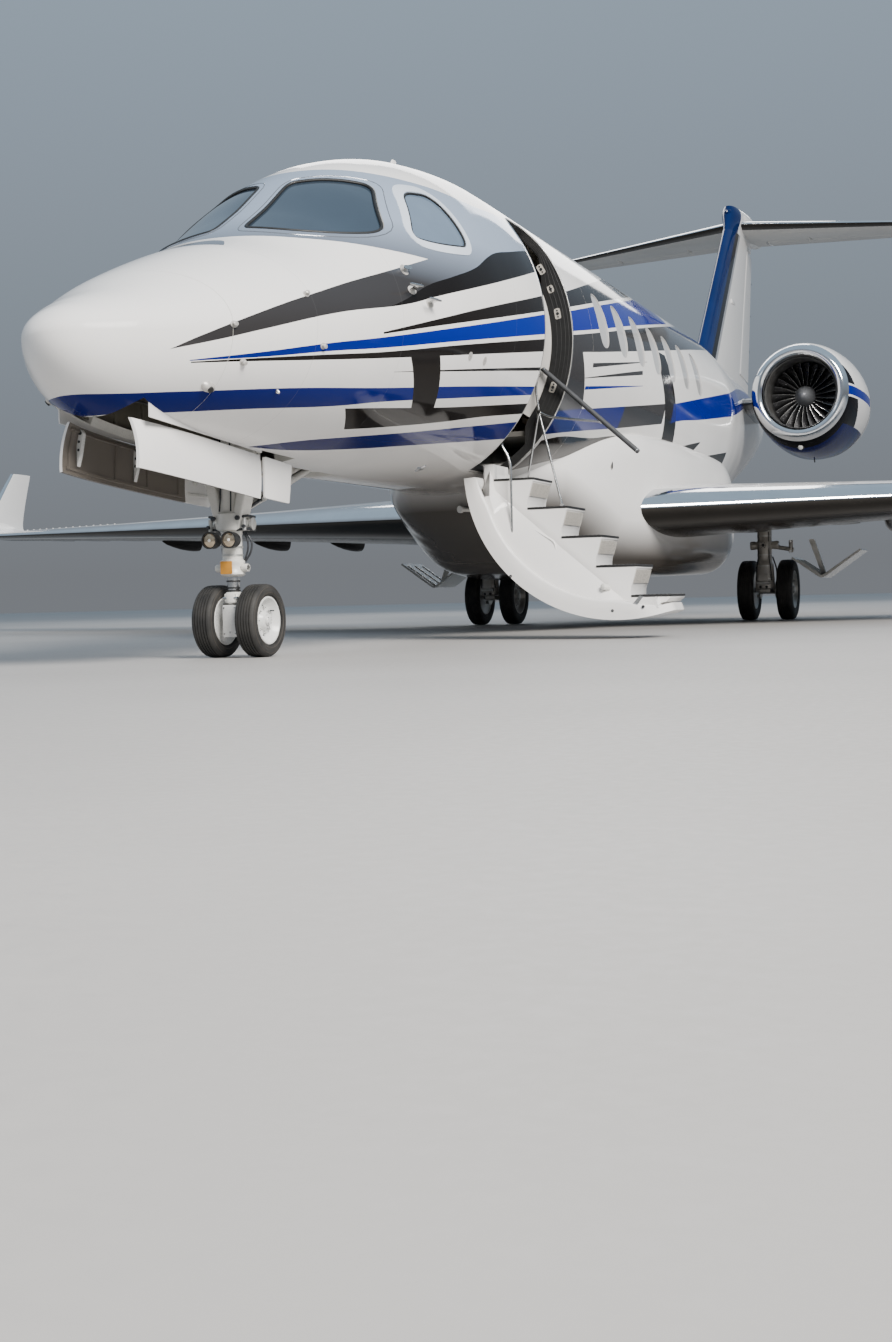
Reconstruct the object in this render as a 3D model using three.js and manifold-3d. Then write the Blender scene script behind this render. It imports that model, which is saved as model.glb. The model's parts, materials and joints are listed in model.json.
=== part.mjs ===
// A twin-engined business jet, parked on its gear with its airstair open.
// Millimetres. +X is the aircraft's port side, -Y its nose, +Z up, and z = 0 is the ground.
// A "station" is a distance aft of the tip of the nose.
import * as THREE from "three";
import { mergeVertices } from "three/addons/utils/BufferGeometryUtils.js";
import Module from "manifold-3d";

const wasm = await Module();
wasm.setup();

// Driving dimensions
const LENGTH = 20740; // nose tip to stabiliser tips
const HALF_SPAN = 10125;
const GAP = 0.5; // between pieces that touch
const WALL = 70; // skin, frames and lining together
const PORT = 1;
const STARBOARD = -1;
const SIDES = [
  { name: "port", hand: PORT },
  { name: "starboard", hand: STARBOARD },
];
const Y = (station) => station - LENGTH / 2;

// Cross sections of the fuselage: station, top, bottom, half width, height of the widest point
const FUSELAGE = [
  { s: 0, top: 1750, bottom: 1750, half: 0, wide: 1750 },
  { s: 25, top: 1813, bottom: 1662, half: 100, wide: 1750 },
  { s: 80, top: 1870, bottom: 1560, half: 190, wide: 1752 },
  { s: 250, top: 1955, bottom: 1430, half: 335, wide: 1770 },
  { s: 500, top: 2060, bottom: 1340, half: 500, wide: 1800 },
  { s: 900, top: 2250, bottom: 1285, half: 700, wide: 1865 },
  { s: 1350, top: 2435, bottom: 1250, half: 840, wide: 1930 },
  { s: 1750, top: 2580, bottom: 1230, half: 925, wide: 1985 },
  { s: 2200, top: 2830, bottom: 1215, half: 995, wide: 2050 },
  { s: 2700, top: 3165, bottom: 1205, half: 1055, wide: 2150 },
  { s: 3200, top: 3390, bottom: 1200, half: 1120, wide: 2250 },
  { s: 3800, top: 3540, bottom: 1200, half: 1165, wide: 2330 },
  { s: 4500, top: 3608, bottom: 1200, half: 1183, wide: 2400 },
  { s: 5200, top: 3614, bottom: 1200, half: 1183, wide: 2407 },
  { s: 11800, top: 3614, bottom: 1200, half: 1183, wide: 2407 },
  { s: 12600, top: 3600, bottom: 1235, half: 1130, wide: 2420 },
  { s: 13400, top: 3575, bottom: 1330, half: 1040, wide: 2460 },
  { s: 14400, top: 3550, bottom: 1500, half: 930, wide: 2520 },
  { s: 15600, top: 3520, bottom: 1760, half: 800, wide: 2620 },
  { s: 17000, top: 3470, bottom: 2080, half: 620, wide: 2750 },
  { s: 18300, top: 3400, bottom: 2420, half: 420, wide: 2880 },
  { s: 19400, top: 3280, bottom: 2740, half: 220, wide: 3000 },
  { s: 19900, top: 3140, bottom: 2880, half: 100, wide: 3020 },
];
const RADOME_END = 790;
const FORWARD_END = 6000;
const BARREL_END = 12000;
const TAIL_BULKHEAD = 17200;
const TAIL_END = 19900;
const CABIN = { front: 2350, rear: 11900, floor: 1690, floorThick: 45 };

// Windscreen pane in front view, x and z, and side window in side view, station and z
const WINDSCREEN = [[100, 2665], [95, 3105], [330, 3140], [585, 3100], [840, 2665], [585, 2597]];
const SIDE_WINDOW = [[3045, 3078], [3350, 3112], [3412, 2944], [3424, 2735], [3012, 2680], [2740, 2685]];
const CABIN_WINDOW = { first: 6396, pitch: 627, count: 7, wide: 310, high: 470, z: 2690 };

// Airstair: a length of the barrel's wall, hinged along its lower edge
const STAIR = { front: 4690, rear: 5410, hingeX: 500, hingeZ: 1330, topZ: 3270, swing: 115, gap: 15 };
const TREADS = { count: 5, x: 680, z: 1260, run: 272, drop: 233, deep: 330, front: 4850, rear: 5330 };

// Nose gear bay, with doors ahead of the leg and a narrow slot aft of it for the drag brace
const BAY = { front: 450, rear: 2200, half: 290, top: 1610, slotRear: 3120, slotHalf: 150 };
const NOSE_DOOR = { front: 460, rear: 1775, hinge: 280, frontZ: 1350, rearZ: 1250, open: 84, thick: 18 };
const LEG_DOOR = { front: 1790, rear: 2140 };

// Wheels: station and height of the axle, tyre radius and width, half spacing of the twin tyres
const NOSE_WHEEL = { s: 1935, x: 0, r: 228.5, wide: 145, rim: 150, half: 152 };
const MAIN_WHEEL = { s: 11440, x: 1665, r: 343, wide: 182, rim: 215, half: 221 };
const NOSE_STRUT = 1875;
const AXLE = { r: 28, bore: 32 };

// Wing: x, leading edge station, leading edge height, chord, thickness, cant of the section in degrees
const WING = [
  { x: 600, le: 7349, z: 1117, chord: 4450, thick: 540, cant: 0 },
  { x: 1200, le: 7659, z: 1135, chord: 4080, thick: 520, cant: 0 },
  { x: 3700, le: 8953, z: 1212, chord: 2660, thick: 350, cant: 0 },
  { x: 6700, le: 10505, z: 1304, chord: 1900, thick: 225, cant: 0 },
  { x: 9500, le: 11955, z: 1390, chord: 1190, thick: 130, cant: 2 },
  { x: 9820, le: 12145, z: 1425, chord: 1080, thick: 112, cant: 25 },
  { x: 10010, le: 12340, z: 1560, chord: 950, thick: 95, cant: 60 },
  { x: 10070, le: 12640, z: 1850, chord: 780, thick: 75, cant: 80 },
  { x: HALF_SPAN - 16, le: 13170, z: 2390, chord: 480, thick: 42, cant: 82 },
];
// Control surfaces of the wing: first and last x, hinge line as a share of the chord, angles in degrees
const WING_SURFACES = [
  { name: "inboard_flap", from: 2850, to: 4700, hinge: 0.72 },
  { name: "outboard_flap", from: 4800, to: 6480, hinge: 0.72 },
  { name: "aileron", from: 6600, to: 9180, hinge: 0.74 },
];
const SURFACE_GAP = 16; // between a surface's round nose and what carries it
const END_GAP = 45; // beside a surface's ends
const TRACKS = [3150, 4300, 5900]; // x of the flap tracks' fairings

// Belly fairing: station, bottom, half width, top
const BELLY = [
  { s: 5500, bottom: 1150, half: 420, top: 1400 },
  { s: 6100, bottom: 960, half: 760, top: 1560 },
  { s: 7000, bottom: 730, half: 1040, top: 1760 },
  { s: 8000, bottom: 570, half: 1180, top: 1860 },
  { s: 9500, bottom: 520, half: 1215, top: 1880 },
  { s: 11200, bottom: 540, half: 1215, top: 1860 },
  { s: 12300, bottom: 700, half: 1100, top: 1760 },
  { s: 13300, bottom: 960, half: 800, top: 1600 },
  { s: 14100, bottom: 1200, half: 420, top: 1560 },
];

// Engines: centre line, and the cowl's rings as station and radius, round the lip and back up the duct
const ENGINE = { x: 1781, z: 2796, duct: 440, fanStation: 13620, fanRadius: 425, hubRadius: 130, blades: 24 };
const COWL = [
  [13110, 515], [13122, 552], [13175, 588], [13300, 622], [13600, 656], [14200, 682], [14900, 660],
  [15500, 600], [16000, 520], [16000, 490], [15300, 440], [13700, 440], [13300, 432], [13180, 445], [13125, 474],
];

// Fin and stabiliser, as z or x, leading edge station, chord and thickness
const FIN = [
  { z: 3100, le: 14600, chord: 4550, thick: 300 },
  { z: 3700, le: 15500, chord: 3800, thick: 330 },
  { z: 5930, le: 17650, chord: 2150, thick: 215 },
];
const RUDDER = { from: 3760, to: 5850, hinge: 0.69 };
const STABILISER = { z: 6105, dihedral: 0.0122 };
const TAILPLANE = [
  { x: 0, le: 18150, chord: 1840, thick: 190 },
  { x: 300, le: 18306, chord: 1760, thick: 180 },
  { x: 3300, le: 19825, chord: 915, thick: 84 },
  { x: 3400, le: 19930, chord: 770, thick: 50 },
];
const ELEVATOR = { from: 330, to: 3230, hinge: 0.66 };
// Fairing over the tail's joint: station and radius
const BULLET = [[17780, 10], [17900, 70], [18200, 140], [18800, 190], [19600, 190], [20200, 120], [20600, 20]];

// Small helpers for geometry
const point = (x, y, z) => new THREE.Vector3(x, y, z);
const radians = (degrees) => (degrees * Math.PI) / 180;

// A closed body through rings with equal numbers of points, with a fan over each end.
function loft(rings, closed = false) {
  const sides = rings[0].length;
  const vertices = [];
  const faces = [];
  rings.forEach((ring) => ring.forEach((p) => vertices.push(p.x, p.y, p.z)));
  const spans = closed ? rings.length : rings.length - 1;
  for (let i = 0; i < spans; i++) {
    const here = i * sides;
    const next = ((i + 1) % rings.length) * sides;
    for (let j = 0; j < sides; j++) {
      const k = (j + 1) % sides;
      faces.push(here + j, next + j, next + k, here + j, next + k, here + k);
    }
  }
  if (!closed) {
    for (const [ring, flip] of [[0, true], [rings.length - 1, false]]) {
      const flat = ring * sides;
      const middle = new THREE.Vector3();
      rings[ring].forEach((p) => middle.addScaledVector(p, 1 / sides));
      const centre = vertices.length / 3;
      vertices.push(middle.x, middle.y, middle.z);
      for (let j = 0; j < sides; j++) {
        const a = flat + j;
        const b = flat + ((j + 1) % sides);
        faces.push(...(flip ? [centre, a, b] : [centre, b, a]));
      }
    }
  }
  const made = new THREE.BufferGeometry();
  made.setAttribute("position", new THREE.Float32BufferAttribute(vertices, 3));
  made.setIndex(faces);
  return facingOut(made);
}

function signedVolume(geometry) {
  const p = geometry.getAttribute("position");
  const index = geometry.index.array;
  const [a, b, c] = [point(), point(), point()];
  let sum = 0;
  for (let i = 0; i < index.length; i += 3) {
    a.fromBufferAttribute(p, index[i]);
    b.fromBufferAttribute(p, index[i + 1]);
    c.fromBufferAttribute(p, index[i + 2]);
    sum += a.dot(b.cross(c)) / 6;
  }
  return sum;
}

function facingOut(geometry) {
  if (signedVolume(geometry) < 0) {
    const index = geometry.index.array;
    for (let i = 0; i < index.length; i += 3) {
      [index[i], index[i + 1]] = [index[i + 1], index[i]];
    }
  }
  return geometry;
}

function solidOf(geometry) {
  const bare = geometry.clone();
  for (const name of Object.keys(bare.attributes)) {
    if (name !== "position") bare.deleteAttribute(name);
  }
  const merged = mergeVertices(bare, 1e-3);
  return new wasm.Manifold(
    new wasm.Mesh({
      numProp: 3,
      vertProperties: new Float32Array(merged.attributes.position.array),
      triVerts: new Uint32Array(merged.index.array),
    }),
  );
}

function geometryOf(solid) {
  const mesh = solid.getMesh();
  const made = new THREE.BufferGeometry();
  made.setAttribute("position", new THREE.BufferAttribute(new Float32Array(mesh.vertProperties), 3));
  made.setIndex(new THREE.BufferAttribute(new Uint32Array(mesh.triVerts), 1));
  return made;
}

const union = (...pieces) => geometryOf(pieces.map(solidOf).reduce((a, b) => a.add(b)));
const common = (a, b) => geometryOf(solidOf(a).intersect(solidOf(b)));
const cut = (body, ...tools) => geometryOf(tools.map(solidOf).reduce((a, b) => a.subtract(b), solidOf(body)));

// The largest body of a cut, where a tool leaves crumbs
function mainBody(geometry) {
  const bodies = solidOf(geometry).decompose();
  bodies.sort((a, b) => b.volume() - a.volume());
  return geometryOf(bodies[0]);
}

function mirrored(geometry, hand) {
  if (hand === PORT) return geometry;
  const made = geometry.clone();
  made.applyMatrix4(new THREE.Matrix4().makeScale(-1, 1, 1));
  return facingOut(made.index ? made : mergeVertices(made));
}

// A box between two corners given as [x, station, z]
function box(low, high) {
  const made = new THREE.BoxGeometry(high[0] - low[0], high[1] - low[1], high[2] - low[2]);
  made.translate((low[0] + high[0]) / 2, Y((low[1] + high[1]) / 2), (low[2] + high[2]) / 2);
  return made;
}

// A prism of an outline [a, b], run along x, y (station) or z between two values
function prism(outline, along, from, to) {
  const place = {
    x: (a, b, t) => point(t, Y(a), b),
    y: (a, b, t) => point(a, Y(t), b),
    z: (a, b, t) => point(a, Y(b), t),
  }[along];
  return prismFaces(outline, (a, b, t) => place(a, b, t), from, to);
}

function prismFaces(outline, place, from, to) {
  const flat = THREE.ShapeUtils.triangulateShape(outline.map(([a, b]) => new THREE.Vector2(a, b)), []);
  const n = outline.length;
  const vertices = [];
  for (const t of [from, to]) outline.forEach(([a, b]) => vertices.push(...place(a, b, t).toArray()));
  const faces = [];
  flat.forEach(([a, b, c]) => faces.push(a, b, c, n + c, n + b, n + a));
  const turned = THREE.ShapeUtils.area(outline.map(([a, b]) => new THREE.Vector2(a, b))) < 0;
  for (let i = 0; i < n; i++) {
    const j = (i + 1) % n;
    const quad = [i, n + i, n + j, i, n + j, j];
    faces.push(...(turned ? quad.reverse() : quad));
  }
  const made = new THREE.BufferGeometry();
  made.setAttribute("position", new THREE.Float32BufferAttribute(vertices, 3));
  made.setIndex(faces);
  return facingOut(made);
}

// A round bar from a to b, given as [x, station, z], with its own radius at each end
function bar(a, b, radius, sides = 10, endRadius = radius) {
  const from = point(a[0], Y(a[1]), a[2]);
  const to = point(b[0], Y(b[1]), b[2]);
  const made = new THREE.CylinderGeometry(endRadius, radius, from.distanceTo(to), sides);
  const turn = new THREE.Quaternion().setFromUnitVectors(point(0, 1, 0), to.clone().sub(from).normalize());
  made.applyQuaternion(turn);
  const middle = from.add(to).multiplyScalar(0.5);
  made.translate(middle.x, middle.y, middle.z);
  return made;
}

// A bent bar: straight lengths that run a little past each bend
function bentBar(points, radius, sides = 6) {
  const pieces = points.slice(1).map((end, i) => {
    const start = points[i];
    const length = Math.hypot(...end.map((v, k) => v - start[k]));
    const past = end.map((v, k) => v + ((v - start[k]) * radius * 0.6) / length);
    return bar(start, past, radius, sides);
  });
  return union(...pieces);
}

// A body of revolution about a line along the aircraft, from [station, radius] pairs
function revolve(profile, x, z, sides, closed = false) {
  const rings = profile.map(([s, r]) => {
    const ring = [];
    for (let j = 0; j < sides; j++) {
      const a = (2 * Math.PI * j) / sides;
      ring.push(point(x + r * Math.cos(a), Y(s), z + r * Math.sin(a)));
    }
    return ring;
  });
  return loft(rings, closed);
}

// The same about a line across the aircraft, from [x, radius] pairs
function revolveAcross(profile, station, z, sides, closed = false) {
  const rings = profile.map(([x, r]) => {
    const ring = [];
    for (let j = 0; j < sides; j++) {
      const a = (2 * Math.PI * (j + 0.5)) / sides;
      ring.push(point(x, Y(station) + r * Math.cos(a), z + r * Math.sin(a)));
    }
    return ring;
  });
  return loft(rings, closed);
}

// A smooth curve through a table's values that never overshoots them
function smooth(table, key) {
  const s = table.map((row) => row.s);
  const v = table.map((row) => row[key]);
  const n = s.length;
  const slope = [];
  for (let i = 0; i + 1 < n; i++) slope.push((v[i + 1] - v[i]) / (s[i + 1] - s[i]));
  const tangent = slope.slice();
  tangent.push(slope[n - 2]);
  for (let i = 1; i + 1 < n; i++) {
    const [a, b] = [slope[i - 1], slope[i]];
    if (a * b <= 0) {
      tangent[i] = 0;
      continue;
    }
    const [p, q] = [s[i] - s[i - 1], s[i + 1] - s[i]];
    const [w, u] = [2 * q + p, q + 2 * p];
    tangent[i] = (w + u) / (w / a + u / b);
  }
  return (station) => {
    let i = 0;
    while (i + 2 < n && station > s[i + 1]) i++;
    const h = s[i + 1] - s[i];
    const t = (station - s[i]) / h;
    const [t2, t3] = [t * t, t * t * t];
    return (
      (2 * t3 - 3 * t2 + 1) * v[i] +
      (t3 - 2 * t2 + t) * h * tangent[i] +
      (3 * t2 - 2 * t3) * v[i + 1] +
      (t3 - t2) * h * tangent[i + 1]
    );
  };
}

// Fuselage
const hull = {
  top: smooth(FUSELAGE, "top"),
  bottom: smooth(FUSELAGE, "bottom"),
  half: smooth(FUSELAGE, "half"),
  wide: smooth(FUSELAGE, "wide"),
};

// A point of the hull's section: two half ellipses that meet at the widest height
function hullPoint(station, angle, inset) {
  const wide = hull.wide(station);
  const rise = (Math.sin(angle) > 0 ? hull.top(station) - wide : wide - hull.bottom(station)) - inset;
  const half = Math.max(1, hull.half(station) - inset);
  return point(half * Math.cos(angle), Y(station), wide + Math.max(1, rise) * Math.sin(angle));
}

function hullRing(station, inset, sides) {
  const ring = [];
  for (let j = 0; j < sides; j++) ring.push(hullPoint(station, (2 * Math.PI * j) / sides, inset));
  return ring;
}

// Stations of the rings that every hull surface shares: the table's, the seams and those halfway between
const HULL_SIDES = 36;
const STATIONS = FUSELAGE.map(({ s }) => s).concat(RADOME_END, CABIN.front, FORWARD_END, BARREL_END);
STATIONS.sort((a, b) => a - b);
STATIONS.slice(0, -1).forEach((s, i) => {
  const next = STATIONS[i + 1];
  const straight = s >= 5200 && next <= 11800;
  if (!straight && next - s > 440) STATIONS.push((s + next) / 2);
});
STATIONS.sort((a, b) => a - b);

// The hull's solid between two stations, moved in by a depth
function hullSolid(from, to, inset, sides = HULL_SIDES, every = 1) {
  const inside = STATIONS.filter((s, i) => s > from + 5 && s < to - 5 && i % every === 0);
  return loft([from, ...inside, to].map((s) => hullRing(s, inset, sides)));
}

// The outline of a cabin window in side view
function ovalOutline(s, z, wide, high, sides = 12) {
  const outline = [];
  for (let j = 0; j < sides; j++) {
    const a = (2 * Math.PI * j) / sides;
    const square = (v) => Math.sign(v) * Math.abs(v) ** 0.8;
    outline.push([s + (wide / 2) * square(Math.cos(a)), z + (high / 2) * square(Math.sin(a))]);
  }
  return outline;
}

// An outline moved in (or out) by a distance, about its middle
function shrunk(outline, by) {
  const cx = outline.reduce((sum, p) => sum + p[0], 0) / outline.length;
  const cz = outline.reduce((sum, p) => sum + p[1], 0) / outline.length;
  return outline.map(([a, b]) => {
    const d = Math.hypot(a - cx, b - cz);
    return [a - ((a - cx) * by) / d, b - ((b - cz) * by) / d];
  });
}

const mirroredOutline = (outline, hand) => outline.map(([x, z]) => [x * hand, z]);
const windscreenTool = (hand, by) => prism(mirroredOutline(shrunk(WINDSCREEN, by), hand), "y", 1200, 3300);
const sideWindowTool = (hand, by) => prism(shrunk(SIDE_WINDOW, by), "x", hand * 300, hand * 1300);

// The doorway in side view, with round upper corners
function doorOutline(gap) {
  const [a, b, top] = [STAIR.front + gap, STAIR.rear - gap, STAIR.topZ - gap];
  const r = 210;
  const outline = [[a, STAIR.hingeZ + gap], [b, STAIR.hingeZ + gap]];
  for (let i = 0; i <= 4; i++) {
    const t = (i * Math.PI) / 8;
    outline.push([b - r + r * Math.cos(t), top - r + r * Math.sin(t)]);
  }
  for (let i = 4; i >= 0; i--) {
    const t = (i * Math.PI) / 8;
    outline.push([a + r - r * Math.cos(t), top - r + r * Math.sin(t)]);
  }
  return outline;
}

const bayTool = box([-BAY.half, BAY.front, 1000], [BAY.half, BAY.rear, BAY.top]);
const slotTool = box([-BAY.slotHalf, BAY.rear - 5, 1000], [BAY.slotHalf, BAY.slotRear, 1450]);

function radome() {
  return cut(hullSolid(0, RADOME_END - GAP, 0), bayTool);
}

function forwardFuselage() {
  const tools = [
    hullSolid(CABIN.front, FORWARD_END + 10, WALL, 28, 2),
    bayTool,
    slotTool,
    prism(doorOutline(0), "x", 100, 1400),
  ];
  SIDES.forEach(({ hand }) => tools.push(windscreenTool(hand, 0), sideWindowTool(hand, 0)));
  return mainBody(cut(hullSolid(RADOME_END, FORWARD_END, 0), ...tools));
}

function centreFuselage() {
  const tools = [hullSolid(FORWARD_END - 10, CABIN.rear, WALL, 28)];
  for (let i = 0; i < CABIN_WINDOW.count; i++) {
    const s = CABIN_WINDOW.first + i * CABIN_WINDOW.pitch;
    const oval = ovalOutline(s, CABIN_WINDOW.z, CABIN_WINDOW.wide, CABIN_WINDOW.high);
    tools.push(prism(oval, "x", -1300, 1300));
  }
  return cut(hullSolid(FORWARD_END + GAP, BARREL_END, 0), ...tools);
}

// The pane of a flight deck window: a thin curved plate just under the skin
function pane(tool) {
  const outer = hullSolid(1500, 3700, 10);
  const inner = hullSolid(1400, 3800, 28);
  return mainBody(cut(common(outer, tool), inner));
}

// The cabin's lining, which carries the window panes out into the skin's openings
function sidewall(hand) {
  const [from, to] = [FORWARD_END + 100, CABIN.rear - 100];
  const [low, high] = [1760, 3150];
  const shell = cut(hullSolid(from, to, WALL + 2, 28), hullSolid(from - 50, to + 50, WALL + 20, 28));
  const half = box([hand > 0 ? 300 : -1300, from - 20, low], [hand > 0 ? 1300 : -300, to + 20, high]);
  const panes = cut(hullSolid(from, to, 12), hullSolid(from - 50, to + 50, WALL + 12, 28));
  const plugs = [];
  for (let i = 0; i < CABIN_WINDOW.count; i++) {
    const s = CABIN_WINDOW.first + i * CABIN_WINDOW.pitch;
    const oval = ovalOutline(s, CABIN_WINDOW.z, CABIN_WINDOW.wide - 6, CABIN_WINDOW.high - 6);
    plugs.push(common(panes, prism(oval, "x", hand * 600, hand * 1300)));
  }
  return union(common(shell, half), ...plugs);
}

function aftFuselage() {
  const pylons = SIDES.map(({ hand }) => {
    const outline = [[13500, 2740], [13900, 2660], [15500, 2670], [16050, 2760], [15500, 2850], [13900, 2860]];
    return prism(outline, "x", hand * 600, hand * 1300);
  });
  const cowls = SIDES.map(({ hand }) =>
    revolve(COWL.slice(0, 9).map(([s, r]) => [s, r + GAP]), hand * ENGINE.x, ENGINE.z, 24),
  );
  const hollow = hullSolid(BARREL_END - 10, TAIL_BULKHEAD, WALL, 28, 2);
  return mainBody(cut(union(hullSolid(BARREL_END + GAP, TAIL_END, 0), ...pylons), hollow, ...cowls));
}

// Half a rounded section for the belly fairing, flat underneath
function bellyRing({ s, bottom, half, top }, grow) {
  const corner = Math.min(300, half * 0.6);
  const [w, low, high] = [half + grow, bottom - grow, top + grow];
  const ring = [point(-w * 0.9, Y(s), high), point(w * 0.9, Y(s), high), point(w, Y(s), high - 250)];
  for (let i = 0; i <= 4; i++) {
    const a = (i * Math.PI) / 8;
    ring.push(point(w - corner + corner * Math.cos(a), Y(s), low + corner - corner * Math.sin(a)));
  }
  ring.push(point(0, Y(s), low - 12));
  for (let i = 4; i >= 0; i--) {
    const a = (i * Math.PI) / 8;
    ring.push(point(-w + corner - corner * Math.cos(a), Y(s), low + corner - corner * Math.sin(a)));
  }
  ring.push(point(-w, Y(s), high - 250));
  return ring;
}

function bellySolid(grow) {
  return loft(BELLY.map((row) => bellyRing(row, grow)));
}

function bellyFairing() {
  return mainBody(cut(bellySolid(0), hullSolid(5000, 14600, -GAP)));
}

// Lifting surfaces: half thickness of a rounded section at a share of its chord, for a thickness of 1
function halfThickness(f) {
  return 5 * (0.2969 * Math.sqrt(f) - 0.126 * f - 0.3516 * f * f + 0.2843 * f ** 3 - 0.1036 * f ** 4);
}
const SHARES = [1, 0.88, 0.74, 0.58, 0.42, 0.28, 0.16, 0.07, 0.02];

// A section's outline as [distance aft of the leading edge, height over the chord line]
function sectionOutline(chord, thick) {
  const camber = (f) => 0.05 * thick * Math.sin(Math.PI * f);
  const upper = SHARES.map((f) => [f * chord, camber(f) + halfThickness(f) * thick + 3 * f]);
  const lower = SHARES.map((f) => [f * chord, camber(f) - halfThickness(f) * thick - 3 * f]);
  return [...upper, [0, 0], ...lower.reverse()];
}

function wingRing({ x, le, z, chord, thick, cant }) {
  const a = radians(cant);
  return sectionOutline(chord, thick).map(([d, h]) => point(x - h * Math.sin(a), Y(le + d), z + h * Math.cos(a)));
}

function wingAt(x) {
  let i = 0;
  while (i + 2 < WING.length && x > WING[i + 1].x) i++;
  const [a, b] = [WING[i], WING[i + 1]];
  const t = (x - a.x) / (b.x - a.x);
  const mix = (key) => a[key] + (b[key] - a[key]) * t;
  return { x, le: mix("le"), z: mix("z"), chord: mix("chord"), thick: mix("thick"), cant: 0 };
}

// Hinge of a surface at one end: its place, its nose radius and its section there
function hingeAt(row, share) {
  const half = halfThickness(share) * row.thick + 3 * share;
  const camber = 0.05 * row.thick * Math.sin(Math.PI * share);
  return { d: share * row.chord, h: camber, r: half * 0.96 };
}

// Outline of a movable surface: tail edge, upper side, round nose, lower side
function surfaceOutline(row, share) {
  const { d, h, r } = hingeAt(row, share);
  const end = row.chord;
  const outline = [[end, h * 0.2 - 3], [end, h * 0.2 + 3]];
  for (let i = 0; i <= 6; i++) {
    const a = Math.PI / 2 + (i * Math.PI) / 6;
    outline.push([d + r * Math.cos(a), h + r * Math.sin(a)]);
  }
  return outline;
}

function wingSurface({ from, to, hinge }) {
  const rings = [from, to].map((x) => {
    const row = wingAt(x);
    return surfaceOutline(row, hinge).map(([d, h]) => point(x, Y(row.le + d), row.z + h));
  });
  return loft(rings);
}

// What is cut out of the wing to let a surface in
function wingSurfaceTool({ from, to, hinge }) {
  const front = (x) => {
    const row = wingAt(x);
    const at = hingeAt(row, hinge);
    return row.le + at.d - at.r - SURFACE_GAP;
  };
  const [a, b] = [from - END_GAP / 2, to + END_GAP];
  return prism([[a, front(a)], [b, front(b)], [b, 15000], [a, 15000]], "z", 500, 2600);
}

// The front half of a flap track's fairing, under the wing ahead of the flap
function trackFairing(x) {
  const row = wingAt(x);
  const surface = WING_SURFACES.find(({ from, to }) => x > from && x < to);
  const rear = row.le + surface.hinge * row.chord - hingeAt(row, surface.hinge).r - SURFACE_GAP;
  const z = row.z - 0.2 * row.thick;
  const profile = [[rear - 900, 8], [rear - 780, 42], [rear - 450, 82], [rear - 140, 96], [rear - 1, 92]];
  const rings = profile.map(([s, r]) => {
    const ring = [];
    for (let j = 0; j < 10; j++) {
      const a = (2 * Math.PI * j) / 10;
      ring.push(point(x + r * 0.72 * Math.cos(a), Y(s), z - 60 + 1.35 * r * Math.sin(a)));
    }
    return ring;
  });
  return loft(rings);
}

const LEG_WELL = box([1380, 10900, 400], [1960, 11480, 1120]);

function wing(hand) {
  const whole = union(loft(WING.map(wingRing)), ...TRACKS.map(trackFairing));
  const tools = [bellySolid(GAP), hullSolid(6500, 13500, -GAP), LEG_WELL];
  WING_SURFACES.forEach((surface) => tools.push(wingSurfaceTool(surface)));
  return mirrored(mainBody(cut(whole, ...tools)), hand);
}

// Fin and rudder, whose sections lie level
function finRow(z) {
  const i = z > FIN[1].z ? 1 : 0;
  const [a, b] = [FIN[i], FIN[i + 1]];
  const t = (z - a.z) / (b.z - a.z);
  const mix = (key) => a[key] + (b[key] - a[key]) * t;
  return { z, le: mix("le"), chord: mix("chord"), thick: mix("thick") };
}

function finSection({ chord, thick }) {
  return sectionOutline(chord, thick).map(([d, h]) => [d, h - 0.05 * thick * Math.sin((Math.PI * d) / chord)]);
}

function fin() {
  const whole = loft(FIN.map((row) => finSection(row).map(([d, h]) => point(h, Y(row.le + d), row.z))));
  const front = (z) => {
    const row = finRow(z);
    return row.le + RUDDER.hinge * row.chord - hingeAt(row, RUDDER.hinge).r - SURFACE_GAP;
  };
  const [a, b] = [RUDDER.from - END_GAP, RUDDER.to + 200];
  const tool = prism([[front(a), a], [front(b), b], [21000, b], [21000, a]], "x", -400, 400);
  return mainBody(cut(whole, tool, hullSolid(14000, TAIL_END, -GAP)));
}

function rudder() {
  const rings = [RUDDER.from, RUDDER.to].map((z) => {
    const row = finRow(z);
    const { d, r } = hingeAt(row, RUDDER.hinge);
    const outline = [[row.chord, -3], [row.chord, 3]];
    for (let i = 0; i <= 6; i++) {
      const a = Math.PI / 2 + (i * Math.PI) / 6;
      outline.push([d + r * Math.cos(a), r * Math.sin(a)]);
    }
    return outline.map(([e, h]) => point(h, Y(row.le + e), z));
  });
  return loft(rings);
}

// Tailplane and elevators
const tailHeight = (x) => STABILISER.z + Math.abs(x) * STABILISER.dihedral;

function tailRow(x) {
  let i = 0;
  while (i + 2 < TAILPLANE.length && x > TAILPLANE[i + 1].x) i++;
  const [a, b] = [TAILPLANE[i], TAILPLANE[i + 1]];
  const t = (x - a.x) / (b.x - a.x);
  const mix = (key) => a[key] + (b[key] - a[key]) * t;
  return { x, le: mix("le"), chord: mix("chord"), thick: mix("thick") };
}

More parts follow.
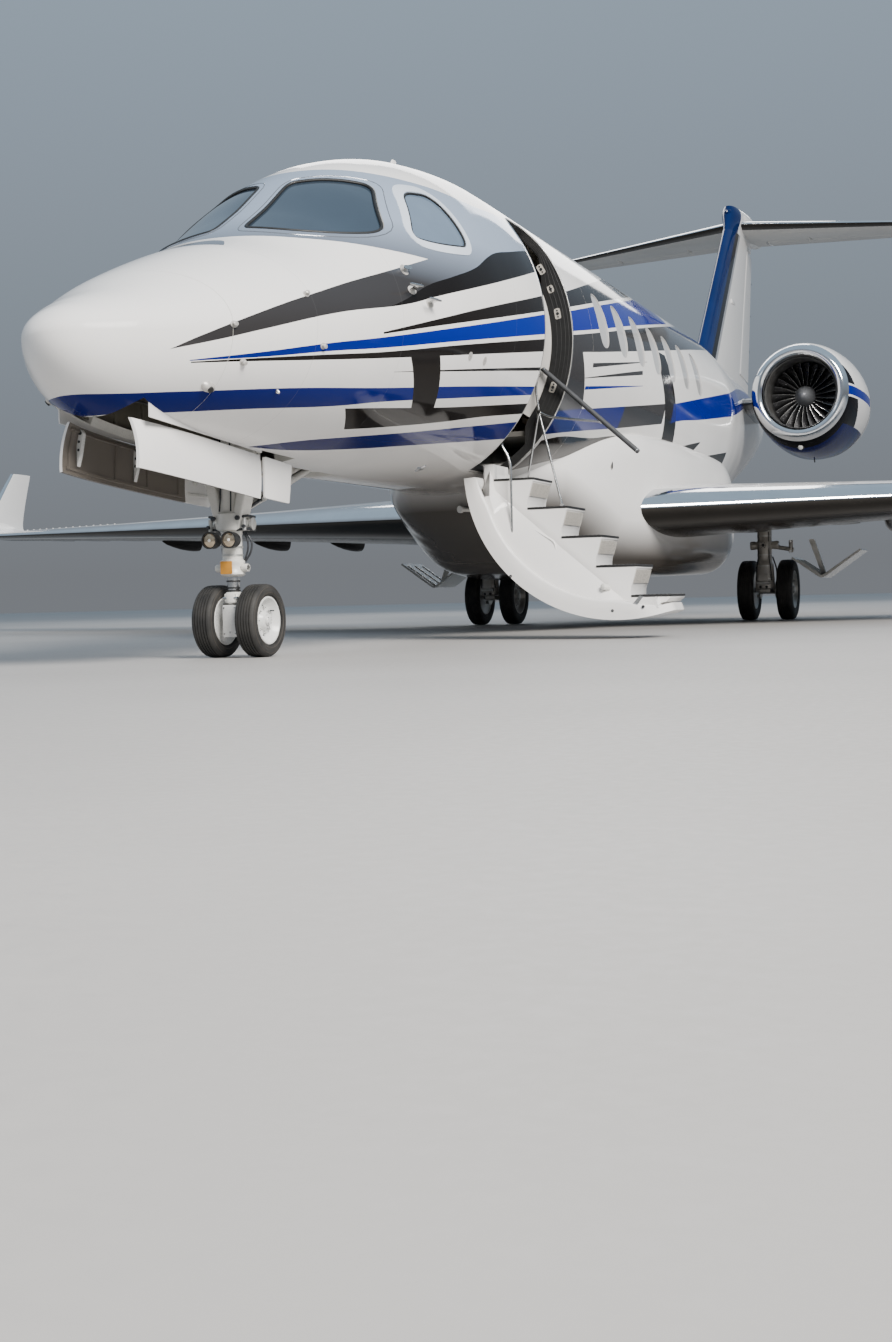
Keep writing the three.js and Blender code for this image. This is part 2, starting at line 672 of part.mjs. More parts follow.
function stabiliser() {
  const port = TAILPLANE.map((row) =>
    finSection(row).map(([d, h]) => point(row.x, Y(row.le + d), tailHeight(row.x) + h)),
  );
  const starboard = port.slice(1).reverse().map((ring) => ring.map((p) => point(-p.x, p.y, p.z)));
  const whole = loft([...starboard, ...port]);
  const front = (x) => {
    const row = tailRow(x);
    return row.le + ELEVATOR.hinge * row.chord - hingeAt(row, ELEVATOR.hinge).r - SURFACE_GAP;
  };
  const tools = SIDES.map(({ hand }) => {
    const [a, b] = [ELEVATOR.from - END_GAP / 2, ELEVATOR.to + END_GAP / 2];
    const outline = [[a, front(a)], [b, front(b)], [b, 21500], [a, 21500]];
    return prism(mirroredOutline(outline, hand), "z", 5800, 6500);
  });
  const bullet = revolve(BULLET, 0, tailHeight(0) + 120, 12);
  const ground = box([-400, 17000, 5800], [400, 21000, 5930 + GAP]);
  return mainBody(cut(union(cut(whole, ...tools), bullet), ground));
}

function elevator(hand) {
  const rings = [ELEVATOR.from, ELEVATOR.to].map((x) => {
    const row = tailRow(x);
    const { d, r } = hingeAt(row, ELEVATOR.hinge);
    const outline = [[row.chord, -3], [row.chord, 3]];
    for (let i = 0; i <= 6; i++) {
      const a = Math.PI / 2 + (i * Math.PI) / 6;
      outline.push([d + r * Math.cos(a), r * Math.sin(a)]);
    }
    return outline.map(([e, h]) => point(x, Y(row.le + e), tailHeight(x) + h));
  });
  return mirrored(loft(rings), hand);
}

// Engines
function nacelle(hand) {
  return revolve(COWL, hand * ENGINE.x, ENGINE.z, 24, true);
}

function engineCore(hand) {
  const profile = [[13900, ENGINE.duct - 8], [15300, ENGINE.duct - 8], [15301, 330], [16200, 285], [16200, 230], [15500, 60]];
  return revolve(profile, hand * ENGINE.x, ENGINE.z, 20);
}

// Fan in one loft: spinner, hub and a thin blade every turn, whose rear edge is turned further round
function fan(hand) {
  const { x, z, fanStation: s, fanRadius, hubRadius, blades } = ENGINE;
  const corners = [
    { turn: -2.2, out: 0 },
    { turn: -0.7, out: 1 },
    { turn: 0.7, out: 1 },
    { turn: 2.2, out: 0 },
  ];
  const rows = [
    { s: s - 190, r: 22, blade: 0, twist: 0 },
    { s: s - 25, r: hubRadius - 12, blade: 0, twist: 0 },
    { s, r: hubRadius, blade: fanRadius - hubRadius, twist: 0 },
    { s: s + 55, r: hubRadius, blade: fanRadius - hubRadius, twist: 5 },
    { s: s + 110, r: hubRadius, blade: fanRadius - hubRadius, twist: 10 },
    { s: s + 150, r: hubRadius, blade: 0, twist: 10 },
  ];
  const rings = rows.map((row) => {
    const ring = [];
    for (let i = 0; i < blades; i++) {
      for (const { turn, out } of corners) {
        const a = (2 * Math.PI * i) / blades + radians(turn + row.twist);
        const r = row.r + out * row.blade;
        ring.push(point(x + r * Math.cos(a), Y(row.s), z + r * Math.sin(a)));
      }
    }
    return ring;
  });
  return mirrored(loft(rings), hand);
}

// Wheels
function tyre({ s, r, wide, rim }, x) {
  const h = wide / 2;
  const sides = 20;
  const flats = Math.cos(Math.PI / sides); // so that a flat, not a corner, lies at the tyre's radius
  const profile = [
    [-h * 0.72, rim], [-h * 0.98, rim + (r - rim) * 0.45], [-h * 0.86, r * 0.93], [-h * 0.52, r],
    [h * 0.52, r], [h * 0.86, r * 0.93], [h * 0.98, rim + (r - rim) * 0.45], [h * 0.72, rim],
  ].map(([dx, radius]) => [x + dx, radius / flats]);
  return revolveAcross(profile, s, r, sides, true);
}

// Both rims of a pair of wheels on their axle
function hubs({ s, r, wide, rim, half }, x) {
  const z = r;
  const [h, e] = [wide / 2, rim - 3];
  const one = (at, side) => {
    const outer = at + side * h * 0.72;
    const inner = at - side * h * 0.72;
    const profile = [
      [inner, e], [outer, e], [outer, e * 0.88], [at + side * h * 0.25, e * 0.75],
      [at + side * h * 0.7, e * 0.38], [at + side * h * 0.7, 20], [at - side * h * 0.3, 20], [inner, e * 0.9],
    ];
    return revolveAcross(profile, s, z, 12, true);
  };
  const axle = bar([x - half - h * 0.6, s, z], [x + half + h * 0.6, s, z], AXLE.r, 12);
  return union(one(x - half, -1), one(x + half, 1), axle);
}

// Nose gear
function noseLeg() {
  const s = NOSE_STRUT;
  const pieces = [
    bar([0, s, 1560], [0, s, 505], 62, 12),
    bar([0, s, 905], [0, s, 790], 92, 12),
    bar([0, s, 605], [0, s, 520], 78, 12),
    bar([-205, s, 1300], [205, s, 1300], 34, 8),
    bar([-112, s - 5, 560], [112, s - 5, 560], 24, 8),
    bar([0, s + 40, 900], [0, 3000, 1260], 30, 8),
    bar([-110, 3000, 1260], [110, 3000, 1260], 30, 8),
    box([-95, s - 150, 700], [95, s - 20, 760]),
  ];
  SIDES.forEach(({ hand }) => {
    pieces.push(bar([hand * 185, s, 1330], [hand * 52, s, 850], 30, 6));
    pieces.push(bar([hand * 90, s + 10, 830], [hand * 150, s + 20, 830], 42, 8));
    pieces.push(bar([hand * 68, s - 172, 730], [hand * 68, s - 90, 730], 53, 12));
    pieces.push(legDoorArm(hand));
  });
  return union(...pieces);
}

// A short door beside the leg, which its link holds open while the leg is down, and that link
function legDoorArm(hand) {
  const x = NOSE_DOOR.hinge;
  const { front, rear } = LEG_DOOR;
  const plate = box([x - 2, front, 985], [x + 16, rear, 1205]);
  const link = bar([150, NOSE_STRUT, 1160], [x + 6, NOSE_STRUT + 40, 1100], 14, 6);
  return mirrored(union(plate, link), hand);
}

function noseFork() {
  const s = NOSE_STRUT;
  const axle = NOSE_WHEEL;
  const whole = union(
    bar([0, s, 500], [0, s, 235], 46, 12),
    bar([0, s, 400], [0, s, 340], 58, 12),
    box([-52, s - 30, 186], [52, axle.s + 48, 275]),
    box([-50, s - 62, 130], [50, s - 25, 330]),
  );
  return cut(whole, bar([-60, axle.s, axle.r], [60, axle.s, axle.r], AXLE.bore, 12));
}

// A door of the bay: the hull's own skin between two stations, turned down about its hinge
function noseDoor(hand) {
  const { front, rear, hinge, open, thick } = NOSE_DOOR;
  const rings = [];
  for (let i = 0; i <= 6; i++) {
    const station = front + ((rear - front) * i) / 6;
    const ring = [];
    for (const [from, to, inset] of [[4, hinge - 12, 0], [hinge - 12, 4, thick]]) {
      for (let j = 0; j <= 4; j++) {
        const x = from + ((to - from) * j) / 4;
        ring.push(point(x, Y(station), bellyHeight(station, x) + inset));
      }
    }
    rings.push(ring);
  }
  const door = loft(rings);
  const axis = noseDoorAxis();
  door.translate(-axis.at.x, -axis.at.y, -axis.at.z);
  door.applyQuaternion(new THREE.Quaternion().setFromAxisAngle(axis.along, radians(open)));
  door.translate(axis.at.x, axis.at.y, axis.at.z);
  return mirrored(door, hand);
}

// Height of the hull's underside at a distance from the centre line
function bellyHeight(station, x) {
  const wide = hull.wide(station);
  const across = Math.min(1, x / hull.half(station));
  return wide - (wide - hull.bottom(station)) * Math.sqrt(1 - across * across);
}

// The port nose door's hinge line, a little below the skin
function noseDoorAxis() {
  const { front, rear, hinge, frontZ, rearZ } = NOSE_DOOR;
  const a = point(hinge, Y(front), frontZ);
  const b = point(hinge, Y(rear), rearZ);
  return { at: a, along: b.clone().sub(a).normalize().negate() };
}

// Main gear: an upright strut, a trailing link to the axle, and the door that the leg carries
function mainLeg(hand) {
  const { s, x, r } = MAIN_WHEEL;
  const front = s - 230;
  const made = union(
    bar([x, front, 1080], [x, front, 400], 82, 16),
    bar([x, front, 640], [x, front, 350], 96, 16, 110),
    bar([x - 160, front, 850], [x + 160, front, 850], 48, 12),
    box([x - 60, front - 20, 300], [x + 60, s + 55, 400]),
    bar([x - 95, s, r], [x + 95, s, r], 48, 14),
    bar([x, front + 60, 900], [x, s + 20, 400], 40, 10),
    bar([x + 60, front, 840], [x + 330, front - 30, 790], 26, 8),
    bar([x + 300, front - 30, 900], [x + 300, front - 30, 760], 26, 8),
  );
  const bore = bar([x - 110, s, r], [x + 110, s, r], AXLE.bore, 12);
  return mirrored(cut(made, bore), hand);
}

function mainDoor(hand) {
  const front = MAIN_WHEEL.s - 420;
  const outline = [[1990, 690], [2300, 470], [2345, 465], [2760, 760], [2745, 778], [2335, 492], [2310, 496], [2003, 706]];
  const panel = prism(outline, "y", front, front + 620);
  const arm = prism([[2150, 905], [2215, 905], [2350, 490], [2300, 480]], "y", front + 240, front + 290);
  return mirrored(union(panel, arm), hand);
}

// Airstair
const stairAxis = point(0, -1, 0);

// An arc of the barrel's wall, from one depth to another, between two stations
function wallArc(from, to, outer, inner) {
  const [start, end] = [radians(-61.5), radians(44.5)];
  const count = 18;
  const ring = (station) => {
    const points = [];
    for (let i = 0; i <= count; i++) points.push(hullPoint(station, start + ((end - start) * i) / count, outer));
    for (let i = count; i >= 0; i--) points.push(hullPoint(station, start + ((end - start) * i) / count, inner));
    return points.map(({ x, z }) => [x, z]);
  };
  return prism(ring((STAIR.front + STAIR.rear) / 2), "y", from, to);
}

function swungOpen(geometry) {
  const hinge = point(STAIR.hingeX, 0, STAIR.hingeZ);
  geometry.translate(-hinge.x, 0, -hinge.z);
  geometry.applyQuaternion(new THREE.Quaternion().setFromAxisAngle(stairAxis, radians(-STAIR.swing)));
  geometry.translate(hinge.x, 0, hinge.z);
  return geometry;
}

function airstair() {
  const { front, rear, gap } = STAIR;
  const [a, b] = [front + gap, rear - gap];
  const square = union(
    wallArc(a, b, 2, 48),
    wallArc(a, a + 42, 20, 150),
    wallArc(b - 42, b, 20, 150),
  );
  const shell = common(square, prism(doorOutline(gap), "x", 100, 1400));
  const outline = [[600, TREADS.z]];
  for (let i = 0; i < TREADS.count; i++) {
    const [x, z] = [TREADS.x + TREADS.run * i, TREADS.z - TREADS.drop * i];
    if (i) outline.push([x, z]);
    outline.push([x + TREADS.deep, z], [x + TREADS.deep, z - 28]);
  }
  // Back along the inside of the shell, which is an arc about the barrel's own swung-down centre
  const centre = { x: 1712, z: 1328, r: 1165 };
  for (const degrees of [-77, -86, -97, -108, -120, -132, -144, -156, -168]) {
    const t = radians(degrees);
    outline.push([centre.x + centre.r * Math.cos(t), centre.z + centre.r * Math.sin(t)]);
  }
  const steps = prism(outline, "y", TREADS.front, TREADS.rear);
  const sill = box([545, TREADS.front, 1180], [720, TREADS.rear, 1410]);
  return union(swungOpen(shell), steps, sill);
}

// Handrail: a padded grip on two legs, in a plane beside the steps' aft edge
const RAIL = { s: 5345, foot: [1085, 1060] };

function handrail() {
  const { s } = RAIL;
  const at = (x, z) => [x, s, z];
  return union(
    bar(at(940, 2165), at(1725, 1452), 19, 8),
    bentBar([at(RAIL.foot[0], RAIL.foot[1]), at(905, 1820), at(880, 2025), at(925, 2160)], 11),
    bentBar([at(905, 1820), at(990, 1775), at(1420, 1710)], 11),
    bar(at(905, 1820), at(800, 1300), 11, 6),
    bar([RAIL.foot[0], TREADS.rear + 2, RAIL.foot[1]], [RAIL.foot[0], s + 12, RAIL.foot[1]], 16, 8),
  );
}

const STAY = { s: 4790, foot: [845, 720], bend: [845, 1400], top: [765, 1530] };

function stairStay() {
  const at = ([x, z]) => [x, STAY.s, z];
  return bentBar([at(STAY.foot), at(STAY.bend), at(STAY.top)], 12);
}

// Inside
function cabinFloor() {
  const { front, rear, floor, floorThick } = CABIN;
  const slab = box([-835, front + 60, floor - floorThick], [835, rear - 60, floor]);
  const entry = box([180, STAIR.front - 40, 1500], [900, STAIR.rear + 40, 1800]);
  return mainBody(common(cut(slab, entry), hullSolid(front + 30, rear - 30, WALL + 12, 28)));
}

function instrumentPanel() {
  const outline = [[2400, 1690.5], [2760, 1690.5], [2720, 2180], [2640, 2520], [2470, 2560], [2420, 2380]];
  const block = prism(outline, "x", -760, 760);
  return mainBody(common(block, hullSolid(2360, 3300, WALL + 16, 28)));
}

// One seat facing forward, at x and a station, on the floor
function seat(x, station, wide) {
  const z = CABIN.floor + GAP;
  const side = [
    [0, 0], [380, 0], [380, 200], [560, 260], [760, 900], [640, 930], [470, 430], [430, 420], [-60, 440], [-80, 300], [0, 260],
  ];
  const shape = side.map(([d, h]) => [station + d, z + h]);
  return prism(shape, "x", x - wide / 2, x + wide / 2);
}

function flightDeckSeats() {
  const z = CABIN.floor + GAP;
  const pedestal = box([-130, 2950, z], [130, 3700, z + 330]);
  return union(pedestal, ...SIDES.map(({ hand }) => seat(hand * 370, 3080, 500)));
}

function cabinSeats(hand) {
  const z = CABIN.floor + GAP;
  const x = hand * 530;
  const rail = box([x - 60, 6700, z], [x + 60, 10900, z + 60]);
  return union(rail, ...[6900, 8250, 9600].map((s) => seat(x, s, 540)));
}

// The named pieces: colour, roughness and metalness as on the real finish
const FINISH = {
  white: { color: 0xe9e8e4, roughness: 0.18, metalness: 0 },
  glass: { color: 0x4c5a64, roughness: 0.05, metalness: 0 },
  metal: { color: 0xb9bcc0, roughness: 0.2, metalness: 1 },
  gear: { color: 0xcfcfca, roughness: 0.4, metalness: 0.2 },
  tyre: { color: 0x141414, roughness: 0.85, metalness: 0 },
  dark: { color: 0x24262a, roughness: 0.5, metalness: 0.3 },
  leather: { color: 0xcfc4b0, roughness: 0.6, metalness: 0 },
  carpet: { color: 0x5a5752, roughness: 0.95, metalness: 0 },
  lining: { color: 0xe4e0d8, roughness: 0.6, metalness: 0 },
};

const jet = new THREE.Group();

function add(name, geometry, finish) {
  const mesh = new THREE.Mesh(geometry, new THREE.MeshStandardMaterial(FINISH[finish]));
  mesh.name = name;
  jet.add(mesh);
}

add("radome", radome(), "white");
add("forward_fuselage", forwardFuselage(), "white");
add("centre_fuselage", centreFuselage(), "white");
add("aft_fuselage", aftFuselage(), "white");
add("belly_fairing", bellyFairing(), "white");
add("cabin_floor", cabinFloor(), "carpet");
add("instrument_panel", instrumentPanel(), "dark");
add("flight_deck_seats", flightDeckSeats(), "leather");
add("vertical_fin", fin(), "white");
add("rudder", rudder(), "white");
add("stabiliser", stabiliser(), "white");
add("nose_gear_leg", noseLeg(), "gear");
add("nose_gear_fork", noseFork(), "gear");
add("nose_wheel_hubs", hubs(NOSE_WHEEL, 0), "gear");
add("airstair", airstair(), "white");
add("airstair_handrail", handrail(), "metal");
add("airstair_stay", stairStay(), "metal");

for (const { name, hand } of SIDES) {
  add(`windscreen_${name}`, pane(windscreenTool(hand, 5)), "glass");
  add(`flight_deck_side_window_${name}`, pane(sideWindowTool(hand, 5)), "glass");
  add(`cabin_sidewall_${name}`, sidewall(hand), "lining");
  add(`cabin_seats_${name}`, cabinSeats(hand), "leather");
  add(`wing_${name}`, wing(hand), "white");
  WING_SURFACES.forEach((surface) => add(`${surface.name}_${name}`, mirrored(wingSurface(surface), hand), "white"));
  add(`elevator_${name}`, elevator(hand), "white");
  add(`nacelle_${name}`, nacelle(hand), "white");
  add(`engine_core_${name}`, engineCore(hand), "dark");
  add(`fan_${name}`, fan(hand), "dark");
  add(`nose_tyre_${name}`, tyre(NOSE_WHEEL, hand * NOSE_WHEEL.half), "tyre");
  add(`nose_gear_door_${name}`, noseDoor(hand), "white");
  add(`main_gear_leg_${name}`, mainLeg(hand), "gear");
  add(`main_gear_door_${name}`, mainDoor(hand), "white");
  add(`main_wheel_hubs_${name}`, hubs(MAIN_WHEEL, hand * MAIN_WHEEL.x), "gear");
  for (const [place, offset] of [["outer", 1], ["inner", -1]]) {
    const x = hand * (MAIN_WHEEL.x + offset * MAIN_WHEEL.half);
    add(`main_tyre_${place}_${name}`, tyre(MAIN_WHEEL, x), "tyre");
  }
}

export default jet;
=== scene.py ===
import json
import math

import bmesh
import bpy
import numpy as np
from mathutils import Matrix, Vector
from mathutils.geometry import delaunay_2d_cdt

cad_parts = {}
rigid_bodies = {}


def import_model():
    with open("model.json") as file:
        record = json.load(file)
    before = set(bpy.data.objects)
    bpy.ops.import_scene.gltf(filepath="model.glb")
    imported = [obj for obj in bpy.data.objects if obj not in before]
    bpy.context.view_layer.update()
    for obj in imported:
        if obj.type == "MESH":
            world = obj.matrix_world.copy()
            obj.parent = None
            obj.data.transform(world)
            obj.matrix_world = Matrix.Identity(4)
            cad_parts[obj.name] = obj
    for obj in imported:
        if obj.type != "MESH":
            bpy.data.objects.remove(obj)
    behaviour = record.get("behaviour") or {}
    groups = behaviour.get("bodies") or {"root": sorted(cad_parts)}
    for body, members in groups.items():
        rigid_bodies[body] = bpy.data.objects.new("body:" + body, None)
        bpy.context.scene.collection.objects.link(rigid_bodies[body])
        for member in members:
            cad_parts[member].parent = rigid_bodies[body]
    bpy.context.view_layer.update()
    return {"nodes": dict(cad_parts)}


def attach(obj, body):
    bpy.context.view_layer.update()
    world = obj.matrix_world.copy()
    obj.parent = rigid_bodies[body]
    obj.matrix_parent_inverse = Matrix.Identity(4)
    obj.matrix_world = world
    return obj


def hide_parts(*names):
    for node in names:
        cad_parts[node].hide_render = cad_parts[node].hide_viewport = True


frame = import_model()

LENGTH = 20.74
SIDES = (("port", 1), ("starboard", -1))


def Y(station):
    """A station's y in the shared frame."""
    return station - LENGTH / 2


def circle(steps):
    """The angles of equal steps once round."""
    return np.linspace(0, 2 * math.pi, steps, endpoint=False)


# Camera at the photograph's viewpoint, low on the port side
CAMERA_PLACE = (4.844, -17.167, 0.341)
CAMERA_TURN = {"azimuth": 21.566, "pitch": -2.664, "roll": -1.398}
FOCAL_PIXELS = 1569.4
FRAME_HEIGHT_PIXELS = 1342
SENSOR_MM = 36


def make_camera():
    """The camera, from its place and its turns."""
    azimuth, pitch, roll = (math.radians(v) for v in CAMERA_TURN.values())
    ahead = Vector(
        (-math.sin(azimuth) * math.cos(pitch), math.cos(azimuth) * math.cos(pitch), math.sin(pitch))
    )
    level = Vector((math.cos(azimuth), math.sin(azimuth), 0))
    up = level.cross(ahead)
    right = level * math.cos(roll) + up * math.sin(roll)
    above = up * math.cos(roll) - level * math.sin(roll)
    data = bpy.data.cameras.new("camera")
    data.sensor_fit = "AUTO"
    data.sensor_width = SENSOR_MM
    data.lens = FOCAL_PIXELS / FRAME_HEIGHT_PIXELS * SENSOR_MM
    data.clip_start = 0.05
    data.clip_end = 400
    data.dof.use_dof = False
    cam = bpy.data.objects.new("camera", data)
    bpy.context.scene.collection.objects.link(cam)
    rows = [(right[i], above[i], -ahead[i], CAMERA_PLACE[i]) for i in range(3)]
    cam.matrix_world = Matrix((*rows, (0, 0, 0, 1)))
    bpy.context.scene.camera = cam


make_camera()


# Node materials
class Shading:
    """A material's node tree, with short calls for the nodes used here."""

    def __init__(self, name):
        self.material = bpy.data.materials.new(name)
        self.material.use_nodes = True
        self.tree = self.material.node_tree
        self.shader = self.tree.nodes["Principled BSDF"]
        self.place = self.add("ShaderNodeTexCoord").outputs["Object"]

    def add(self, kind, **settings):
        node = self.tree.nodes.new(kind)
        for key, value in settings.items():
            setattr(node, key, value)
        return node

    def feed(self, socket, value):
        """Links a socket, or sets its value."""
        if isinstance(value, bpy.types.NodeSocket):
            self.tree.links.new(value, socket)
        elif value is not None:
            socket.default_value = value

    def sum(self, operation, a, b=None, c=None):
        """The result of one math operation."""
        node = self.add("ShaderNodeMath", operation=operation)
        for socket, value in zip(node.inputs, (a, b, c)):
            self.feed(socket, value)
        return node.outputs[0]

    def axes(self):
        """The object's X, Y and Z."""
        node = self.add("ShaderNodeSeparateXYZ")
        self.feed(node.inputs[0], self.place)
        return node.outputs

    def noise(self, scale, detail=3, roughness=0.55, stretch=None):
        """A noise texture's value."""
        place = self.place
        if stretch:
            mapping = self.add("ShaderNodeMapping")
            self.feed(mapping.inputs["Vector"], self.place)
            mapping.inputs["Scale"].default_value = stretch
            place = mapping.outputs[0]
        node = self.add("ShaderNodeTexNoise")
        self.feed(node.inputs["Vector"], place)
        node.inputs["Scale"].default_value = scale
        node.inputs["Detail"].default_value = detail
        node.inputs["Roughness"].default_value = roughness
        return node.outputs["Fac"]

    def spread(self, value, low, high, from_low=0.3, from_high=0.7):
        """Maps one range of values to another."""
        node = self.add("ShaderNodeMapRange")
        self.feed(node.inputs["Value"], value)
        node.inputs["From Min"].default_value = from_low
        node.inputs["From Max"].default_value = from_high
        node.inputs["To Min"].default_value = low
        node.inputs["To Max"].default_value = high
        return node.outputs[0]

    def mix(self, share, a, b):
        """A mix of two colours by a share."""
        node = self.add("ShaderNodeMix", data_type="RGBA")
        self.feed(node.inputs[0], share)
        self.feed(node.inputs[6], a)
        self.feed(node.inputs[7], b)
        return node.outputs[2]

    def bump(self, height, strength, distance=0.001):
        """Bumps the surface by a height."""
        node = self.add("ShaderNodeBump")
        self.feed(node.inputs["Height"], height)
        node.inputs["Strength"].default_value = strength
        node.inputs["Distance"].default_value = distance
        self.feed(self.shader.inputs["Normal"], node.outputs[0])

    def set(self, **values):
        """Feeds the shader's inputs, and gives the material."""
        for key, value in values.items():
            self.feed(self.shader.inputs[key.replace("_", " ")], value)
        return self.material


def rgb(red, green, blue):
    """An opaque colour."""
    return (red, green, blue, 1.0)


def grade(colour, by):
    """A colour made darker or lighter."""
    return (min(1, colour[0] * by), min(1, colour[1] * by), min(1, colour[2] * by), 1.0)


def finish(
    name,
    colour,
    rough,
    metal=0.0,
    grain=6.0,
    shift=0.06,
    uneven=0.25,
    bump=0.02,
    grain_bump=90.0,
    coat=0.0,
    specular=0.5,
):
    """A painted, metal, rubber or plastic surface whose colour and gloss vary a little."""
    s = Shading(name)
    soft = s.noise(grain)
    fine = s.noise(grain_bump, 2)
    s.set(Base_Color=s.mix(s.spread(soft, 0, 1), grade(colour, 1 - shift), grade(colour, 1 + shift)))
    s.set(Roughness=s.spread(fine, rough * (1 - uneven), rough * (1 + uneven)))
    s.set(Metallic=metal)
    s.set(Specular_IOR_Level=specular)
    if coat:
        s.set(Coat_Weight=coat, Coat_Roughness=0.03)
    s.bump(fine, bump)
    return s.material


WHITE = rgb(0.80, 0.785, 0.765)
BLUE = rgb(0.002, 0.014, 0.235)
NAVY = rgb(0.002, 0.006, 0.085)

white_paint = finish(
    "white gloss paint", WHITE, 0.10, grain=1.5, shift=0.025, bump=0.004, grain_bump=25, specular=0.3
)
grey_paint = finish(
    "silver grey paint", rgb(0.22, 0.23, 0.25), 0.16, metal=0.6, grain=2, bump=0.004, grain_bump=25
)
polished = finish(
    "polished leading edge", rgb(0.78, 0.79, 0.80), 0.09, metal=1, grain=3, shift=0.05, bump=0.01
)
steel = finish("bright steel", rgb(0.62, 0.62, 0.61), 0.22, metal=1, grain=14, shift=0.1, bump=0.03)
alloy = finish("cast alloy", rgb(0.48, 0.48, 0.46), 0.42, metal=0.7, grain=20, shift=0.12, bump=0.08)
gear_paint = finish("gear enamel", rgb(0.66, 0.65, 0.61), 0.32, grain=9, shift=0.07, bump=0.05, coat=0.2)
dark_metal = finish("dark metal", rgb(0.055, 0.058, 0.064), 0.38, metal=0.6, grain=12, shift=0.2, bump=0.05)
black_rubber = finish(
    "black rubber", rgb(0.012, 0.012, 0.012), 0.55, grain=18, shift=0.25, bump=0.12, grain_bump=220
)
dark_plastic = finish(
    "dark plastic", rgb(0.030, 0.031, 0.034), 0.5, grain=12, shift=0.15, bump=0.15, grain_bump=400
)
grey_plastic = finish(
    "grey grip foam", rgb(0.045, 0.047, 0.05), 0.6, grain=16, shift=0.18, bump=0.2, grain_bump=500
)
lining_cloth = finish(
    "cabin lining", rgb(0.62, 0.59, 0.54), 0.7, grain=8, shift=0.06, bump=0.2, grain_bump=600
)
bare_plate = finish("beige plate", rgb(0.47, 0.44, 0.39), 0.3, grain=10, shift=0.06, bump=0.03)
orange_plate = finish("amber plate", rgb(0.50, 0.22, 0.025), 0.4, grain=12, shift=0.15, bump=0.05)


def weave(name, colour, scale):
    s = Shading(name)
    x, y, z = s.axes()
    across = s.sum("SINE", s.sum("MULTIPLY", y, scale))
    along = s.sum("SINE", s.sum("MULTIPLY", s.sum("ADD", x, z), scale))
    loops = s.sum("MULTIPLY", across, along)
    soft = s.noise(5)
    s.set(Base_Color=s.mix(s.spread(soft, 0, 1), grade(colour, 0.85), grade(colour, 1.12)), Roughness=0.95)
    s.set(Sheen_Weight=0.3)
    s.bump(loops, 0.4, 0.002)
    return s.material


def leather(name, colour):
    s = Shading(name)
    cells = s.add("ShaderNodeTexVoronoi")
    s.feed(cells.inputs["Vector"], s.place)
    cells.inputs["Scale"].default_value = 420
    soft = s.noise(4)
    s.set(Base_Color=s.mix(s.spread(soft, 0, 1), grade(colour, 0.88), grade(colour, 1.08)))
    s.set(Roughness=s.spread(s.noise(60), 0.38, 0.52), Sheen_Weight=0.08)
    s.bump(cells.outputs["Distance"], 0.25, 0.0008)
    return s.material


carpet = weave("wool carpet", rgb(0.10, 0.095, 0.085), 900)
tan_leather = leather("tan leather", rgb(0.42, 0.33, 0.23))
tread_mat = weave("tread mat", rgb(0.02, 0.02, 0.022), 700)


def glass(name, tint, rough=0.03):
    s = Shading(name)
    fine = s.noise(3)
    s.set(Base_Color=s.mix(s.spread(fine, 0, 1), grade(tint, 0.94), grade(tint, 1.06)))
    s.set(Roughness=s.spread(s.noise(11), rough * 0.7, rough * 1.4), IOR=1.5, Transmission_Weight=0.0)
    s.set(Coat_Weight=0.3, Coat_Roughness=0.02)
    return s.material


windscreen_glass = glass("windscreen glass", rgb(0.026, 0.040, 0.058))
side_glass = glass("side window glass", rgb(0.12, 0.165, 0.225))
cabin_glass = glass("cabin window glass", rgb(0.50, 0.50, 0.50))
lamp_glass = glass("lamp glass", rgb(0.75, 0.74, 0.70))


def tyre_rubber():
    s = Shading("tyre rubber")
    soft = s.noise(10, 4)
    fine = s.noise(260, 3)
    s.set(Base_Color=s.mix(s.spread(soft, 0, 1), rgb(0.012, 0.012, 0.012), rgb(0.035, 0.033, 0.030)))
    s.set(Roughness=s.spread(fine, 0.6, 0.85))
    s.bump(fine, 0.25, 0.001)
    return s.material


rubber = tyre_rubber()

# Stripes of the fuselage in side view: station and height along each stripe's upper and lower edge
MIRROR = {
    "crown": [
        (2.40, 3.10), (2.85, 3.242), (3.11, 3.218), (3.50, 3.198), (3.97, 3.170), (4.55, 3.198), (4.95, 3.19)
    ],
    "mask": [
        (1.45, 2.45), (1.60, 2.513), (1.74, 2.572), (1.91, 2.556), (2.16, 2.552), (2.44, 2.548), (2.80, 2.549)
    ],
    "swoosh_up": [(0.45, 1.688), (0.60, 1.770), (0.98, 1.942), (1.63, 2.175), (2.42, 2.427), (2.80, 2.549)],
    "swoosh_low": [
        (0.45, 1.688), (0.69, 1.758), (0.99, 1.850), (1.60, 2.021), (2.40, 2.192), (2.82, 2.309),
        (3.60, 2.514), (4.76, 2.819),
    ],
    "shade": [
        (2.10, 2.115), (2.37, 2.213), (2.70, 2.359), (3.03, 2.467), (3.43, 2.602), (3.66, 2.71),
        (3.84, 2.777), (4.19, 2.856), (4.63, 2.951), (5.0, 3.02),
    ],
}
